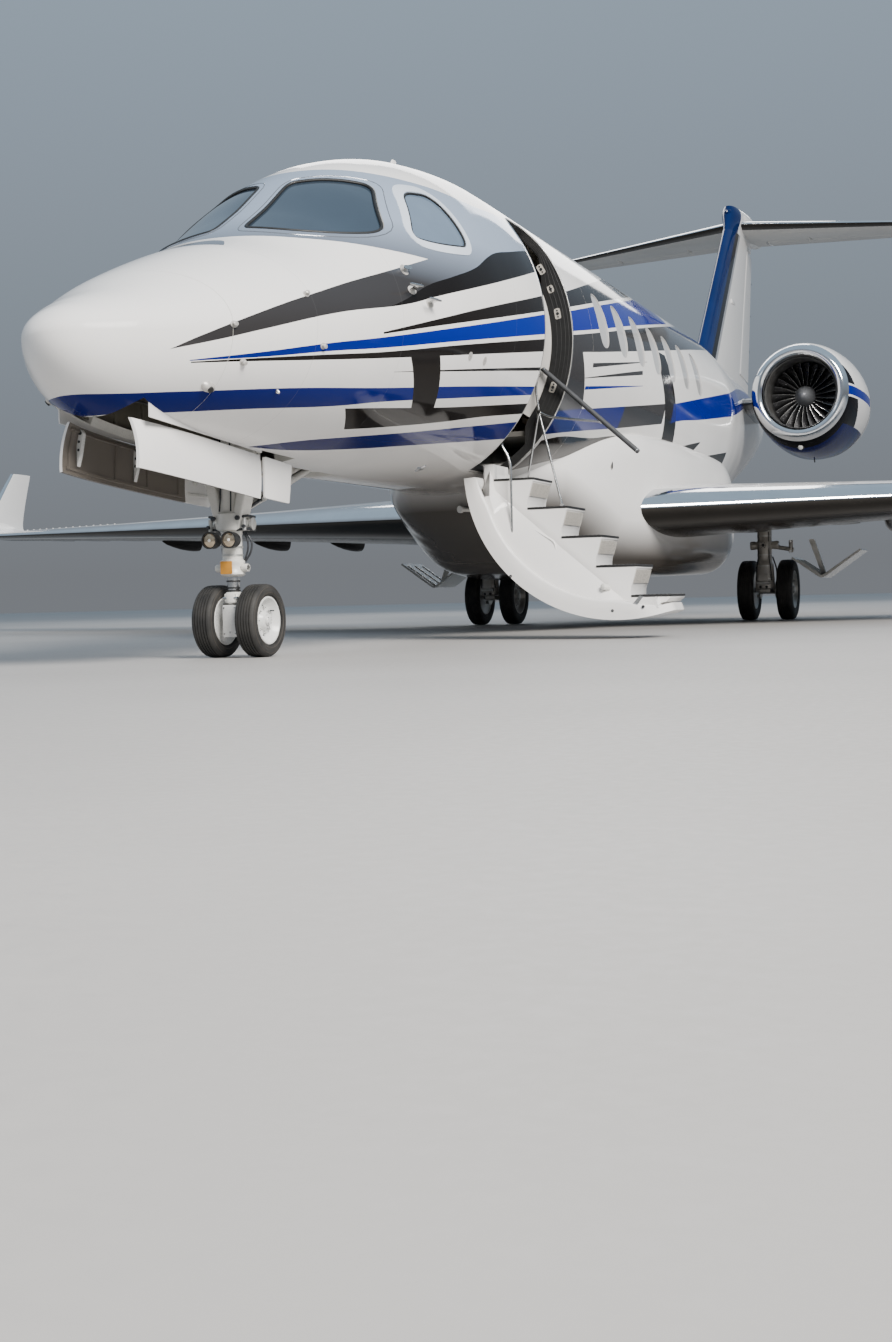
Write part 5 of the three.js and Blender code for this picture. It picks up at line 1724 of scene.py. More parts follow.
def airfoil_faces(build, rings, materials):
    """Lofts sections; faces near the leading edge, above and below get materials of their own."""
    start = len(build.faces)
    build.loft(rings, materials[1])
    n = len(rings[0])
    spans = len(rings) - 1
    for i in range(spans):
        for j in range(n):
            upper = j < NOSE_STEPS + TAIL_STEPS
            step = j if upper else n - 1 - j
            if step < POLISHED_STEPS:
                build.materials[start + i * n + j] = materials[0] if upper else materials[3]
            else:
                winglet = abs(rings[i][0].x) > 9.88
                build.materials[start + i * n + j] = materials[1] if upper or winglet else materials[2]


def cut_front(x, surface):
    """How far aft the wing runs ahead of a movable surface."""
    a, b, share = surface
    ends = []
    for at in (a - 0.0225, b + 0.045):
        row = wing_row(at)
        d, _, r = hinge_at(row[3], row[4], share)
        ends.append(row[1] + d - r - 0.016)
    t = (x - (a - 0.0225)) / (b - a + 0.0675)
    return ends[0] + (ends[1] - ends[0]) * t


def wing_rings():
    """The wing's sections from the root to the winglet's tip."""
    stops = []
    for x in np.linspace(1.02, 2.8265, 8):
        stops.append((x, None))
    for name, (a, b, share) in SURFACES.items():
        low, high = a - 0.0225, b + 0.045
        for x in np.linspace(low, high, 9):
            stops.append((x, name))
        after = {"inboard_flap": 4.7765, "outboard_flap": 6.5765, "aileron": 9.45}[name]
        for x in np.linspace(high + 0.001, after, 2 if name != "aileron" else 4):
            stops.append((x, None))
    rings = []
    for x, name in stops:
        row = wing_row(x)
        share = 0.72
        if name:
            share = (cut_front(x, SURFACES[name]) - row[1]) / row[3]
        else:
            nearest = min(SURFACES.values(), key=lambda v: min(abs(x - v[0]), abs(x - v[1])))
            at = min(max(x, nearest[0] - 0.0225), nearest[1] + 0.045)
            share = (cut_front(at, nearest) - wing_row(at)[1]) / wing_row(at)[3]
        section = section_points(row[3], row[4], 0.05, bool(name), share=share)
        rings.append([P(row[0], row[1] + d, row[2] + h) for d, h in section])
    # Winglet: a smooth run through its rows
    rows = WING[4:]
    t = np.concatenate([[0], np.cumsum(np.hypot(np.diff(rows[:, 0]), np.diff(rows[:, 2])))])
    curves = [smooth_curve(t, rows[:, k]) for k in range(6)]
    for at in np.linspace(0, t[-1], 26)[1:]:
        x, le, z, chord, thick, cant = [float(c(at)) for c in curves]
        lean = math.radians(cant)
        section = section_points(chord, thick, 0.05, False, share=0.72)
        rings.append([P(x - h * math.sin(lean), le + d, z + h * math.cos(lean)) for d, h in section])
    return rings


def surface_outline(chord, thick, share, camber):
    """A movable surface's section, with a round nose on its hinge line."""
    d, h, r = hinge_at(chord, thick, share, camber)
    out = []
    count = 9
    f = np.linspace(share, 1, count)
    shape = half_thick(f, thick)
    bulge = shape - (shape[0] + (shape[-1] - shape[0]) * (f - share) / (1 - share))
    for i in range(count - 1, 0, -1):
        t = (f[i] - share) / (1 - share)
        out.append((f[i] * chord, h + r + (h * 0.2 + 0.003 - h - r) * t + bulge[i]))
    for i in range(15):
        a = math.pi / 2 + i * math.pi / 14
        out.append((d + r * math.cos(a), h + r * math.sin(a)))
    for i in range(1, count):
        t = (f[i] - share) / (1 - share)
        out.append((f[i] * chord, h - r + (h * 0.2 - 0.003 - h + r) * t - bulge[i]))
    return out


def movable(name, rows, place, share, camber, materials, body, node, steps=10):
    """A movable surface between two rows of (position, leading edge, chord, thickness).
    place(position, s, height) gives points."""
    ends = []
    for at, le, chord, thick in rows:
        ends.append([np.array(place(at, le + d, h)) for d, h in surface_outline(chord, thick, share, camber)])
    build = Build()
    rings = []
    for i in range(steps + 1):
        t = i / steps
        rings.append([Vector(a + (b - a) * t) for a, b in zip(*ends)])
    start = len(build.faces)
    build.loft(rings, 0)
    n = len(rings[0])
    # The section's first 8 points are its upper skin, and the next 7 the upper half of its nose
    first_lower = 8 + 7
    for i in range(steps):
        for j in range(n):
            if j >= first_lower:
                build.materials[start + i * n + j] = 1
    return on_both_sides(name, build, materials, body, [node])


def wings():
    """Both wings with their movable surfaces, track fairings, lamps and wicks."""
    build = Build()
    airfoil_faces(build, wing_rings(), (0, 1, 2, 4))
    for x in (3.150, 4.300, 5.900):
        row = wing_row(x)
        surface = next(v for v in SURFACES.values() if v[0] < x < v[1])
        _, _, r = hinge_at(row[3], row[4], surface[2])
        rear = row[1] + surface[2] * row[3] - r - 0.016
        z = row[2] - 0.2 * row[4]
        at = np.array([-0.9, -0.87, -0.78, -0.62, -0.45, -0.28, -0.14, -0.04, -0.001])
        size = np.array([0.008, 0.020, 0.042, 0.064, 0.082, 0.092, 0.096, 0.094, 0.092])
        rings = []
        for a, q in zip(at, size):
            rings.append(
                [
                    P(
                        x + q * 0.72 * math.cos(t),
                        rear + a,
                        z - 0.060 + 1.35 * q * math.copysign(abs(math.sin(t)) ** 0.85, math.sin(t)),
                    )
                    for t in circle(24)
                ]
            )
        build.loft(rings, 2)
    # Vortex generators, fuel caps and the lower skin's access plates
    for x in np.arange(7.0, 9.1, 0.16):
        row = wing_row(x)
        f = 0.30
        top = row[2] + 0.05 * row[4] * math.sin(math.pi * f) + float(half_thick(f, row[4]))
        s = row[1] + f * row[3]
        build.box((x - 0.0012, Y(s), top - 0.004), (x + 0.0012, Y(s) + 0.035, top + 0.014), 1, 0.0005)
    for x in (5.2, 7.7):
        row = wing_row(x)
        f = 0.45
        top = row[2] + 0.05 * row[4] * math.sin(math.pi * f) + float(half_thick(f, row[4]))
        build.revolve(
            [(-0.004, 0.0001), (-0.004, 0.052), (0.0015, 0.052), (0.003, 0.047), (0.003, 0.0001)],
            P(x, row[1] + f * row[3], top),
            (0.0, -0.03, 1),
            24,
            3,
        )
    for x in (1.85, 2.75, 3.55, 4.35, 5.15, 5.95, 6.75, 7.55, 8.35):
        row = wing_row(x)
        f = 0.40
        low = row[2] + 0.05 * row[4] * math.sin(math.pi * f) - float(half_thick(f, row[4]))
        shape = [(x + 0.15 * math.cos(t), row[1] + f * row[3] + 0.19 * math.sin(t)) for t in circle(28)]
        build.prism(shape, lambda a, b, t: P(a, b, t + (a - x) * 0.031), low - 0.0025, low + 0.006, 2, 0.001)
    on_both_sides(
        "wing", build, [polished, white_paint, wing_underside_painted_shade, steel, polished_painted_dark_reflection], "root", ["wing_SIDE"],
    )
    for name, (a, b, share) in SURFACES.items():
        rows = []
        for x in (a, b):
            r = wing_row(x)
            rows.append((x, r[1], r[3], r[4]))
        heights = {a: wing_row(a)[2], b: wing_row(b)[2]}

        def place(x, s, h):
            return (x, Y(s), heights[x] + h)

        movable(
            name, rows, place, share, 0.05, [white_paint, wing_underside_painted_shade], f"{name}_SIDE", f"{name}_SIDE",
        )
    # Lamps in the tips and static wicks
    lamps = Build()
    row = wing_row(9.46)
    lamps.ball(P(9.46, row[1] + 0.012, row[2] + 0.004), 0.034, 0, (1.9, 0.62, 0.5), 12, 20)
    on_both_sides("tip_lamp", lamps, [lamp_glass])
    wicks = Build()
    for x in (6.9, 7.6, 8.3, 8.95):
        share = (x - 6.6) / (9.18 - 6.6)
        a, b = wing_row(6.6), wing_row(9.18)
        tail = (a[1] + a[3]) * (1 - share) + (b[1] + b[3]) * share
        z = a[2] * (1 - share) + b[2] * share
        wicks.tube([P(x, tail - 0.012, z + 0.002), P(x, tail + 0.10, z - 0.004)], 0.003, 8, 0)
    on_both_sides("aileron_wicks", wicks, [black_rubber], "aileron_SIDE")


# Painted reflection: the polished leading edge is drawn near black underneath, where it reflects the dark
# ground
polished_painted_dark_reflection = finish(
    "polished leading edge with painted dark reflection",
    rgb(0.030, 0.027, 0.024),
    0.12,
    metal=0.75,
    grain=3,
    shift=0.08,
    bump=0.01,
)
# Painted shade: the white underside of the wing is drawn near black, for its shade and the reflection of the
# dark ground
wing_underside_painted_shade = finish(
    "wing underside",
    rgb(0.034, 0.030, 0.027),
    0.22,
    metal=0.0,
    grain=1.2,
    shift=0.12,
    bump=0.006,
    grain_bump=25,
    specular=0.04,
)
# Painted shade: a darker copy of the white paint for the undersides of the tailplane and elevators
white_with_painted_under_shade = finish(
    "stabiliser underside",
    rgb(0.50, 0.49, 0.47),
    0.16,
    grain=1.2,
    shift=0.06,
    bump=0.006,
    grain_bump=25,
    specular=0.12,
)
wings()

# Belly fairing: station, underside, half width and top (mm)
BELLY = np.array(
    [
        (5500, 1214, 420, 1400), (6100, 960, 760, 1560), (7000, 730, 1040, 1760), (8000, 570, 1180, 1860),
        (9500, 520, 1215, 1880),
        (11200, 540, 1215, 1860), (12300, 700, 1100, 1760), (13300, 960, 800, 1600), (14100, 1200, 420, 1560),
    ],
    float,
) / 1000


def belly():
    """The belly fairing with its small openings, aerials and beacon."""
    curves = [smooth_curve(BELLY[:, 0], BELLY[:, k]) for k in range(1, 4)]
    rings = []
    for s in np.linspace(5.5, 14.1, 110):
        low, half, top = [float(c(s)) for c in curves]
        ahead = min(max((8.6 - s) / 1.6, 0.0), 1.0)
        corner = min(0.3 + 0.25 * ahead, half * 0.62, (top - low) * (0.45 + 0.19 * ahead))
        shoulder = min(0.25, (top - low) * (0.5 - 0.18 * ahead))
        ring = []
        for t in np.linspace(0, 1, 8):
            ring.append(
                (
                    half * (0.90 + 0.10 * math.sin(t * math.pi / 2)),
                    top - shoulder * (1 - math.cos(t * math.pi / 2)),
                )
            )
        for z in np.linspace(top - shoulder, low + corner, 8)[1:-1]:
            ring.append((half, z))
        for a in np.linspace(0, math.pi / 2, 10):
            ring.append((half - corner + corner * math.cos(a), low + corner - corner * math.sin(a)))
        for x in np.linspace(half - corner, 0, 8)[1:]:
            ring.append((x, low - 0.012 * (1 - (x / (half - corner)) ** 2)))
        whole = ring + [(-x, z) for x, z in ring[-2::-1]]
        rings.append([P(x, s, z) for x, z in whole])
    build = Build()
    build.loft(rings, 0)
    carry(build.make("belly_shell", [belly_white_and_painted_shade]), stands_for="belly_fairing")
    inlets = Build()
    for side in (1, -1):
        for s in (8.4, 9.8, 12.4):
            half = float(smooth_curve(BELLY[:, 0], BELLY[:, 2])(s))
            shape = rounded(
                [(s - 0.11, 1.14), (s + 0.11, 1.14), (s + 0.11, 1.21), (s - 0.11, 1.21)], 0.025, 5
            )
            inlets.prism(
                shape, side_view, side * (half - 0.004) if side > 0 else side * half - 0.002,
                side * half + 0.002 if side > 0 else side * (half - 0.004), 0, 0.001,
            )
    carry(inlets.make("belly_openings", [black_rubber], 30))
    blade = Build()
    shape = [(8.62, 0.56), (8.84, 0.56), (8.90, 0.36), (8.80, 0.355)]
    blade.prism(shape, side_view, -0.009, 0.009, 0, 0.004)
    shape = [(12.05, 0.70), (12.25, 0.72), (12.31, 0.56), (12.21, 0.555)]
    blade.prism(shape, side_view, -0.009, 0.009, 0, 0.004)
    carry(blade.make("belly_antennas", [white_paint]))
    beacon = Build()
    beacon.ball(P(0, 10.4, 0.512), 0.055, 0, (1, 1.3, 0.8), 12, 20)
    carry(beacon.make("belly_beacon", [lamp_glass]))


def belly_paint_with_shade():
    """White paint with painted shade underneath, for the shade and the dark ground's reflection; it reaches
    higher at the front.
    """
    s = Shading("belly paint with painted shade")
    _, y, z = s.axes()
    soft = s.noise(1.4)
    white = s.mix(s.spread(soft, 0, 1), grade(WHITE, 0.96), WHITE)
    # Painted shade: near black low on the fairing, up to a height that rises at the front
    front = s.spread(s.sum("ADD", y, LENGTH / 2), 0.42, 0.0, 6.3, 7.3)
    height = s.sum("SUBTRACT", z, front)
    s.set(Base_Color=s.mix(s.spread(height, 0, 1, 0.66, 1.02), rgb(0.085, 0.075, 0.066), white))
    s.set(Roughness=s.spread(s.noise(24), 0.08, 0.13), Specular_IOR_Level=0.05)
    return s.material


belly_white_and_painted_shade = belly_paint_with_shade()
belly()


# Rear fuselage, pylons, fin and tailplane
def aft_paint(s, station, z, span):
    """The masks of the rear fuselage's stripes."""
    blue = stripe_masks(
        s,
        station,
        z,
        span,
        [
            (
                [(11.9, 2.69), (13.5, 2.93), (15.5, 3.12), (18.6, 3.26)],
                [(11.9, 2.41), (13.5, 2.67), (15.5, 2.95), (18.6, 3.24)],
            )
        ],
    )
    grey = stripe_masks(
        s,
        station,
        z,
        span,
        [([(11.9, 3.50), (12.6, 3.585), (13.6, 3.62)], [(11.9, 3.21), (12.6, 3.32), (14.2, 3.50)])],
    )
    return {"mirror": grey, "dark": both(s, 0.0, 0.0), "blue": blue}


def tail_body():
    """The rear fuselage, its exhaust pipe and the engine pylons."""
    paint = livery("aft livery", (11.8, 19.0), aft_paint)
    rows = np.linspace(BARREL_END + 0.001, TAIL_END, 90)
    made = skin("aft_fuselage_shell", rows, 96, [], inner=0.03, material=[paint, dark_metal])
    carry(made, stands_for="aft_fuselage")
    pipe = Build()
    pipe.revolve(
        [
            (-0.42, 0.060), (0.0, 0.078), (0.010, 0.084), (0.012, 0.090), (0.002, 0.094), (-0.06, 0.088),
            (-0.42, 0.082),
        ],
        P(0, 19.895, 3.01),
        (0, 1, 0),
        40,
        0,
        closed=True,
    )
    pipe.revolve(
        [(-0.40, 0.0001), (-0.40, 0.070), (-0.38, 0.070), (-0.36, 0.0001)], P(0, 19.895, 3.01), (0, 1, 0), 40,
        0,
    )
    carry(pipe.make("tail_exhaust", [dark_metal]))
    pylons = Build()
    outline = rounded(
        [(13.5, 2.740), (13.9, 2.660), (15.5, 2.670), (16.05, 2.760), (15.5, 2.850), (13.9, 2.860)],
        [0.10, 0.16, 0.4, 0.02, 0.4, 0.16],
        7,
    )
    n = len(outline)
    rings = [[P(x, s, z) for s, z in outline] for x in (0.70, 0.90, 1.05, 1.20, 1.295)]
    start = len(pylons.faces)
    pylons.loft(rings, 1)
    for i in range(len(rings) - 1):
        for j in range(n):
            a, b = outline[j], outline[(j + 1) % n]
            if (a[1] + b[1]) / 2 > 2.80:
                pylons.materials[start + i * n + j] = 0
    for x in (0.98, 1.24):
        pylons.tube([P(x, s, z) for s, z in outline], 0.004, 6, 1, closed=True)
    on_both_sides("pylon", pylons, [white_paint, pylon_grey])


pylon_grey = finish(
    "pylon grey",
    rgb(0.085, 0.085, 0.088),
    0.16,
    metal=0.2,
    grain=1.6,
    shift=0.08,
    bump=0.005,
    grain_bump=25,
    specular=0.15,
)
tail_body()

# Height or half span, leading edge, chord and thickness of the fin's and tailplane's sections
FIN_TOP = 5.93
FIN = np.array([(3.1, 14.6, 4.55, 0.30), (3.7, 15.5, 3.8, 0.33), (FIN_TOP, 17.65, 2.15, 0.215)])
RUDDER = (3.760, 5.850, 0.69)
TAIL = np.array(
    [
        (0, 18.150, 1.840, 0.190), (0.3, 18.306, 1.760, 0.180), (3.3, 19.825, 0.915, 0.084),
        (3.4, 19.930, 0.770, 0.050),
    ]
)
ELEVATOR = (0.330, 3.230, 0.66)


def tailplane_height(x):
    """The height of the tailplane's chord line at a half span."""
    return 6.105 + x * 0.0122


def table_row(table, at):
    """A table's leading edge, chord and thickness at a height or half span."""
    return [float(np.interp(at, table[:, 0], table[:, k])) for k in range(1, 4)]


def cut_share(table, at, surface, margin):
    """The share of the chord where a section ends ahead of a movable surface."""
    a, b = surface[0] - margin[0], surface[1] + margin[1]
    ends = []
    for v in (a, b):
        le, chord, thick = table_row(table, v)
        d, _, r = hinge_at(chord, thick, surface[2], 0)
        ends.append(le + d - r - 0.016)
    front = ends[0] + (ends[1] - ends[0]) * (at - a) / (b - a)
    le, chord, _ = table_row(table, at)
    return (front - le) / chord


def stops_for(low, surface, margin, high, steps):
    """(place, cut) pairs along a fin or tailplane, cut where the movable surface lies."""
    a, b = surface[0] - margin[0], surface[1] + margin[1]
    stops = [(v, False) for v in np.linspace(low, a - 0.001, 3)]
    stops += [(v, True) for v in np.linspace(a, b, steps)]
    if b + 0.001 < high:
        stops += [(v, False) for v in np.linspace(b + 0.001, high, 3)]
    return stops


def fin_finish():
    """Blue along the fin's leading edge with a black line behind, then white."""
    s = Shading("fin paint")
    _, y, z = s.axes()
    station = s.sum("ADD", y, LENGTH / 2)
    edge_at = s.sum("ADD", 15.5, s.sum("MULTIPLY", s.sum("SUBTRACT", z, 3.7), 2.15 / 2.23))
    aft = s.sum("SUBTRACT", station, edge_at)
    soft = s.noise(1.5)
    white = s.mix(s.spread(soft, 0, 1), grade(WHITE, 0.96), WHITE)
    line = s.mix(s.sum("LESS_THAN", aft, 0.62), white, rgb(0.30, 0.31, 0.33))
    black = s.mix(s.sum("LESS_THAN", aft, 0.52), line, rgb(0.012, 0.012, 0.014))
    colour = s.mix(
        s.sum("LESS_THAN", aft, 0.34),
        black,
        s.mix(s.spread(soft, 0, 1), grade(FIN_BLUE, 0.9), grade(FIN_BLUE, 1.15)),
    )
    s.set(Base_Color=colour, Roughness=s.spread(s.noise(24), 0.07, 0.12), Specular_IOR_Level=0.12)
    return s.material


FIN_BLUE = rgb(0.006, 0.020, 0.095)


def fin_and_tail():
    """The fin, rudder, tailplane, elevators and the fairing where these meet."""
    paint = fin_finish()
    build = Build()
    rings = []
    for z, cut in stops_for(3.15, RUDDER, (0.045, 0.2), FIN_TOP, 14):
        z = min(z, FIN_TOP)
        le, chord, thick = table_row(FIN, z)
        section = section_points(chord, thick, 0.0, cut, share=cut_share(FIN, z, RUDDER, (0.045, 0.2)))
        rings.append([P(h, le + d, z) for d, h in section])
        if z >= FIN_TOP:
            break
    build.loft(rings, 0)
    # Air scoop on the port side
    rings = []
    for u, k in ((0.0, 0.9), (0.05, 1.0), (0.14, 0.96), (0.26, 0.7), (0.42, 0.15)):
        around = circle(16)
        rings.append(
            [P(0.125 + 0.036 * k * math.cos(t), 17.28 + u, 4.75 + 0.042 * k * math.sin(t)) for t in around]
        )
    build.loft(rings, 1)
    carry(build.make("fin_shell", [paint, white_paint]), stands_for="vertical_fin")
    ends = []
    for z in RUDDER[:2]:
        le, chord, thick = table_row(FIN, z)
        ends.append([np.array(P(h, le + d, z)) for d, h in surface_outline(chord, thick, RUDDER[2], 0)])
    rudder = Build()
    rudder.loft([[Vector(a + (b - a) * t) for a, b in zip(*ends)] for t in np.linspace(0, 1, 13)], 0)
    for z in (4.3, 4.9, 5.45):
        le, chord, _ = table_row(FIN, z)
        rudder.tube([P(0, le + chord - 0.012, z), P(0, le + chord + 0.10, z - 0.01)], 0.003, 8, 1)
    carry(rudder.make("rudder_shell", [white_paint, black_rubber]), "rudder", "rudder")

    # Tailplane
    build = Build()
    rings = []
    margin = (0.0225, 0.0225)
    for x, cut in stops_for(0.0, ELEVATOR, margin, 3.4, 16):
        le, chord, thick = table_row(TAIL, x)
        at = min(max(x, ELEVATOR[0] - margin[0]), ELEVATOR[1] + margin[1])
        section = section_points(chord, thick, 0.0, cut, share=cut_share(TAIL, at, ELEVATOR, margin))
        z = tailplane_height(x)
        rings.append([P(x, le + d, z + h) for d, h in section])
    airfoil_faces(build, rings, (0, 1, 2, 3))
    for x in (1.0, 2.3):
        le, chord, thick = table_row(TAIL, x)
        low = tailplane_height(x) - float(half_thick(0.62, thick))
        rings = []
        for u, q in ((-0.30, 0.004), (-0.26, 0.016), (-0.16, 0.028), (-0.04, 0.034), (0.02, 0.034)):
            rings.append(
                [
                    P(x + q * 0.8 * math.cos(t), le + 0.62 * chord + u, low + q * math.sin(t))
                    for t in circle(14)
                ]
            )
        build.loft(rings, 2)
    finishes = [polished, white_paint, white_with_painted_under_shade, polished_painted_dark_reflection]
    sides = [build.make("tailplane_port", finishes), flipped(build).make("tailplane_starboard", finishes)]
    bullet = Build()
    profile = [
        (17.78, 0.010), (17.80, 0.035), (17.84, 0.053), (17.90, 0.070), (18.0, 0.095), (18.2, 0.140),
        (18.5, 0.172), (18.8, 0.190), (19.2, 0.194), (19.6, 0.190), (19.9, 0.163), (20.2, 0.120),
        (20.45, 0.062), (20.6, 0.020),
    ]
    start = len(bullet.faces)
    blue_rows, sides_round = 4, 40
    bullet.revolve([(s - 18.0, r) for s, r in profile], P(0, 18.0, 6.225), (0, 1, 0), sides_round, 1)
    for i in range(blue_rows * sides_round):
        bullet.materials[start + i] = 0
    # The fairing under the bullet that meets the top of the fin
    rings = []
    for z, grow in (
        (5.932, 1.0), (5.98, 1.03), (6.04, 1.12), (6.10, 1.26), (6.16, 1.40), (6.22, 1.44), (6.28, 1.36),
        (6.33, 1.05),
    ):
        le, chord, thick = table_row(FIN, FIN_TOP)
        section = section_points(chord, thick * grow, 0.0, False, share=0.72)
        shorter = 0.96 - 0.9 * max(0, z - 6.1)
        rings.append([P(h, le + 0.02 + d * shorter + (z - FIN_TOP) * 0.5, z) for d, h in section])
    start = len(bullet.faces)
    bullet.loft(rings, 1)
    n = len(rings[0])
    for i in range(len(rings) - 1):
        for j in range(n):
            step = min(j, n - 1 - j)
            if step < 11:
                bullet.materials[start + i * n + j] = 0
    body = join(sides + [bullet.make("bullet", [fin_blue_paint, white_paint])], "stabiliser_shell")
    carry(body, stands_for="stabiliser")
    rows = []
    for x in ELEVATOR[:2]:
        le, chord, thick = table_row(TAIL, x)
        rows.append((x, le, chord, thick))

    def place(x, s, h):
        return (x, Y(s), tailplane_height(x) + h)

    movable(
        "elevator", rows, place, ELEVATOR[2], 0.0, [white_paint, white_with_painted_under_shade], "elevator_SIDE",
        "elevator_SIDE",
    )


fin_blue_paint = finish(
    "fin blue", FIN_BLUE, 0.1, grain=1.5, shift=0.12, bump=0.004, grain_bump=25, specular=0.12
)
fin_and_tail()


# Engines
ENGINE = {"x": 1.781, "z": 2.796, "fan": 13.620, "blades": 24, "vanes": 36}
LIP_END = 13.20


def cowl_finish():
    """White aft, with a black leaning band behind the lip, navy below it and a blue stripe outboard."""
    s = Shading("cowl paint")
    x, y, z = s.axes()
    station = s.sum("ADD", y, LENGTH / 2)
    up = s.sum("SUBTRACT", z, ENGINE["z"])
    out = s.sum("SUBTRACT", s.sum("ABSOLUTE", x), ENGINE["x"])
    soft = s.noise(1.6)
    colour = s.mix(s.spread(soft, 0, 1), grade(WHITE, 0.95), WHITE)
    stripe = both(s, between(s, up, -0.06, 0.05), s.sum("GREATER_THAN", out, 0.2))
    colour = s.mix(both(s, stripe, s.sum("LESS_THAN", station, 14.9)), colour, BLUE)
    front = s.sum("LESS_THAN", station, s.sum("SUBTRACT", 13.54, s.sum("MULTIPLY", up, 1.10)))
    colour = s.mix(front, colour, rgb(0.008, 0.008, 0.010))
    colour = s.mix(both(s, front, stripe), colour, BLUE)
    white_line = both(s, between(s, up, 0.05, 0.075), s.sum("GREATER_THAN", out, 0.2))
    white_line = either(
        s, white_line, both(s, between(s, up, -0.085, -0.06), s.sum("GREATER_THAN", out, 0.2))
    )
    colour = s.mix(both(s, front, white_line), colour, WHITE)
    navy = both(s, s.sum("LESS_THAN", up, -0.40), between(s, station, 13.36, 15.0))
    colour = s.mix(navy, colour, rgb(0.008, 0.013, 0.085))
    s.set(Base_Color=colour, Roughness=s.spread(s.noise(24), 0.05, 0.09), Specular_IOR_Level=0.015)
    return s.material


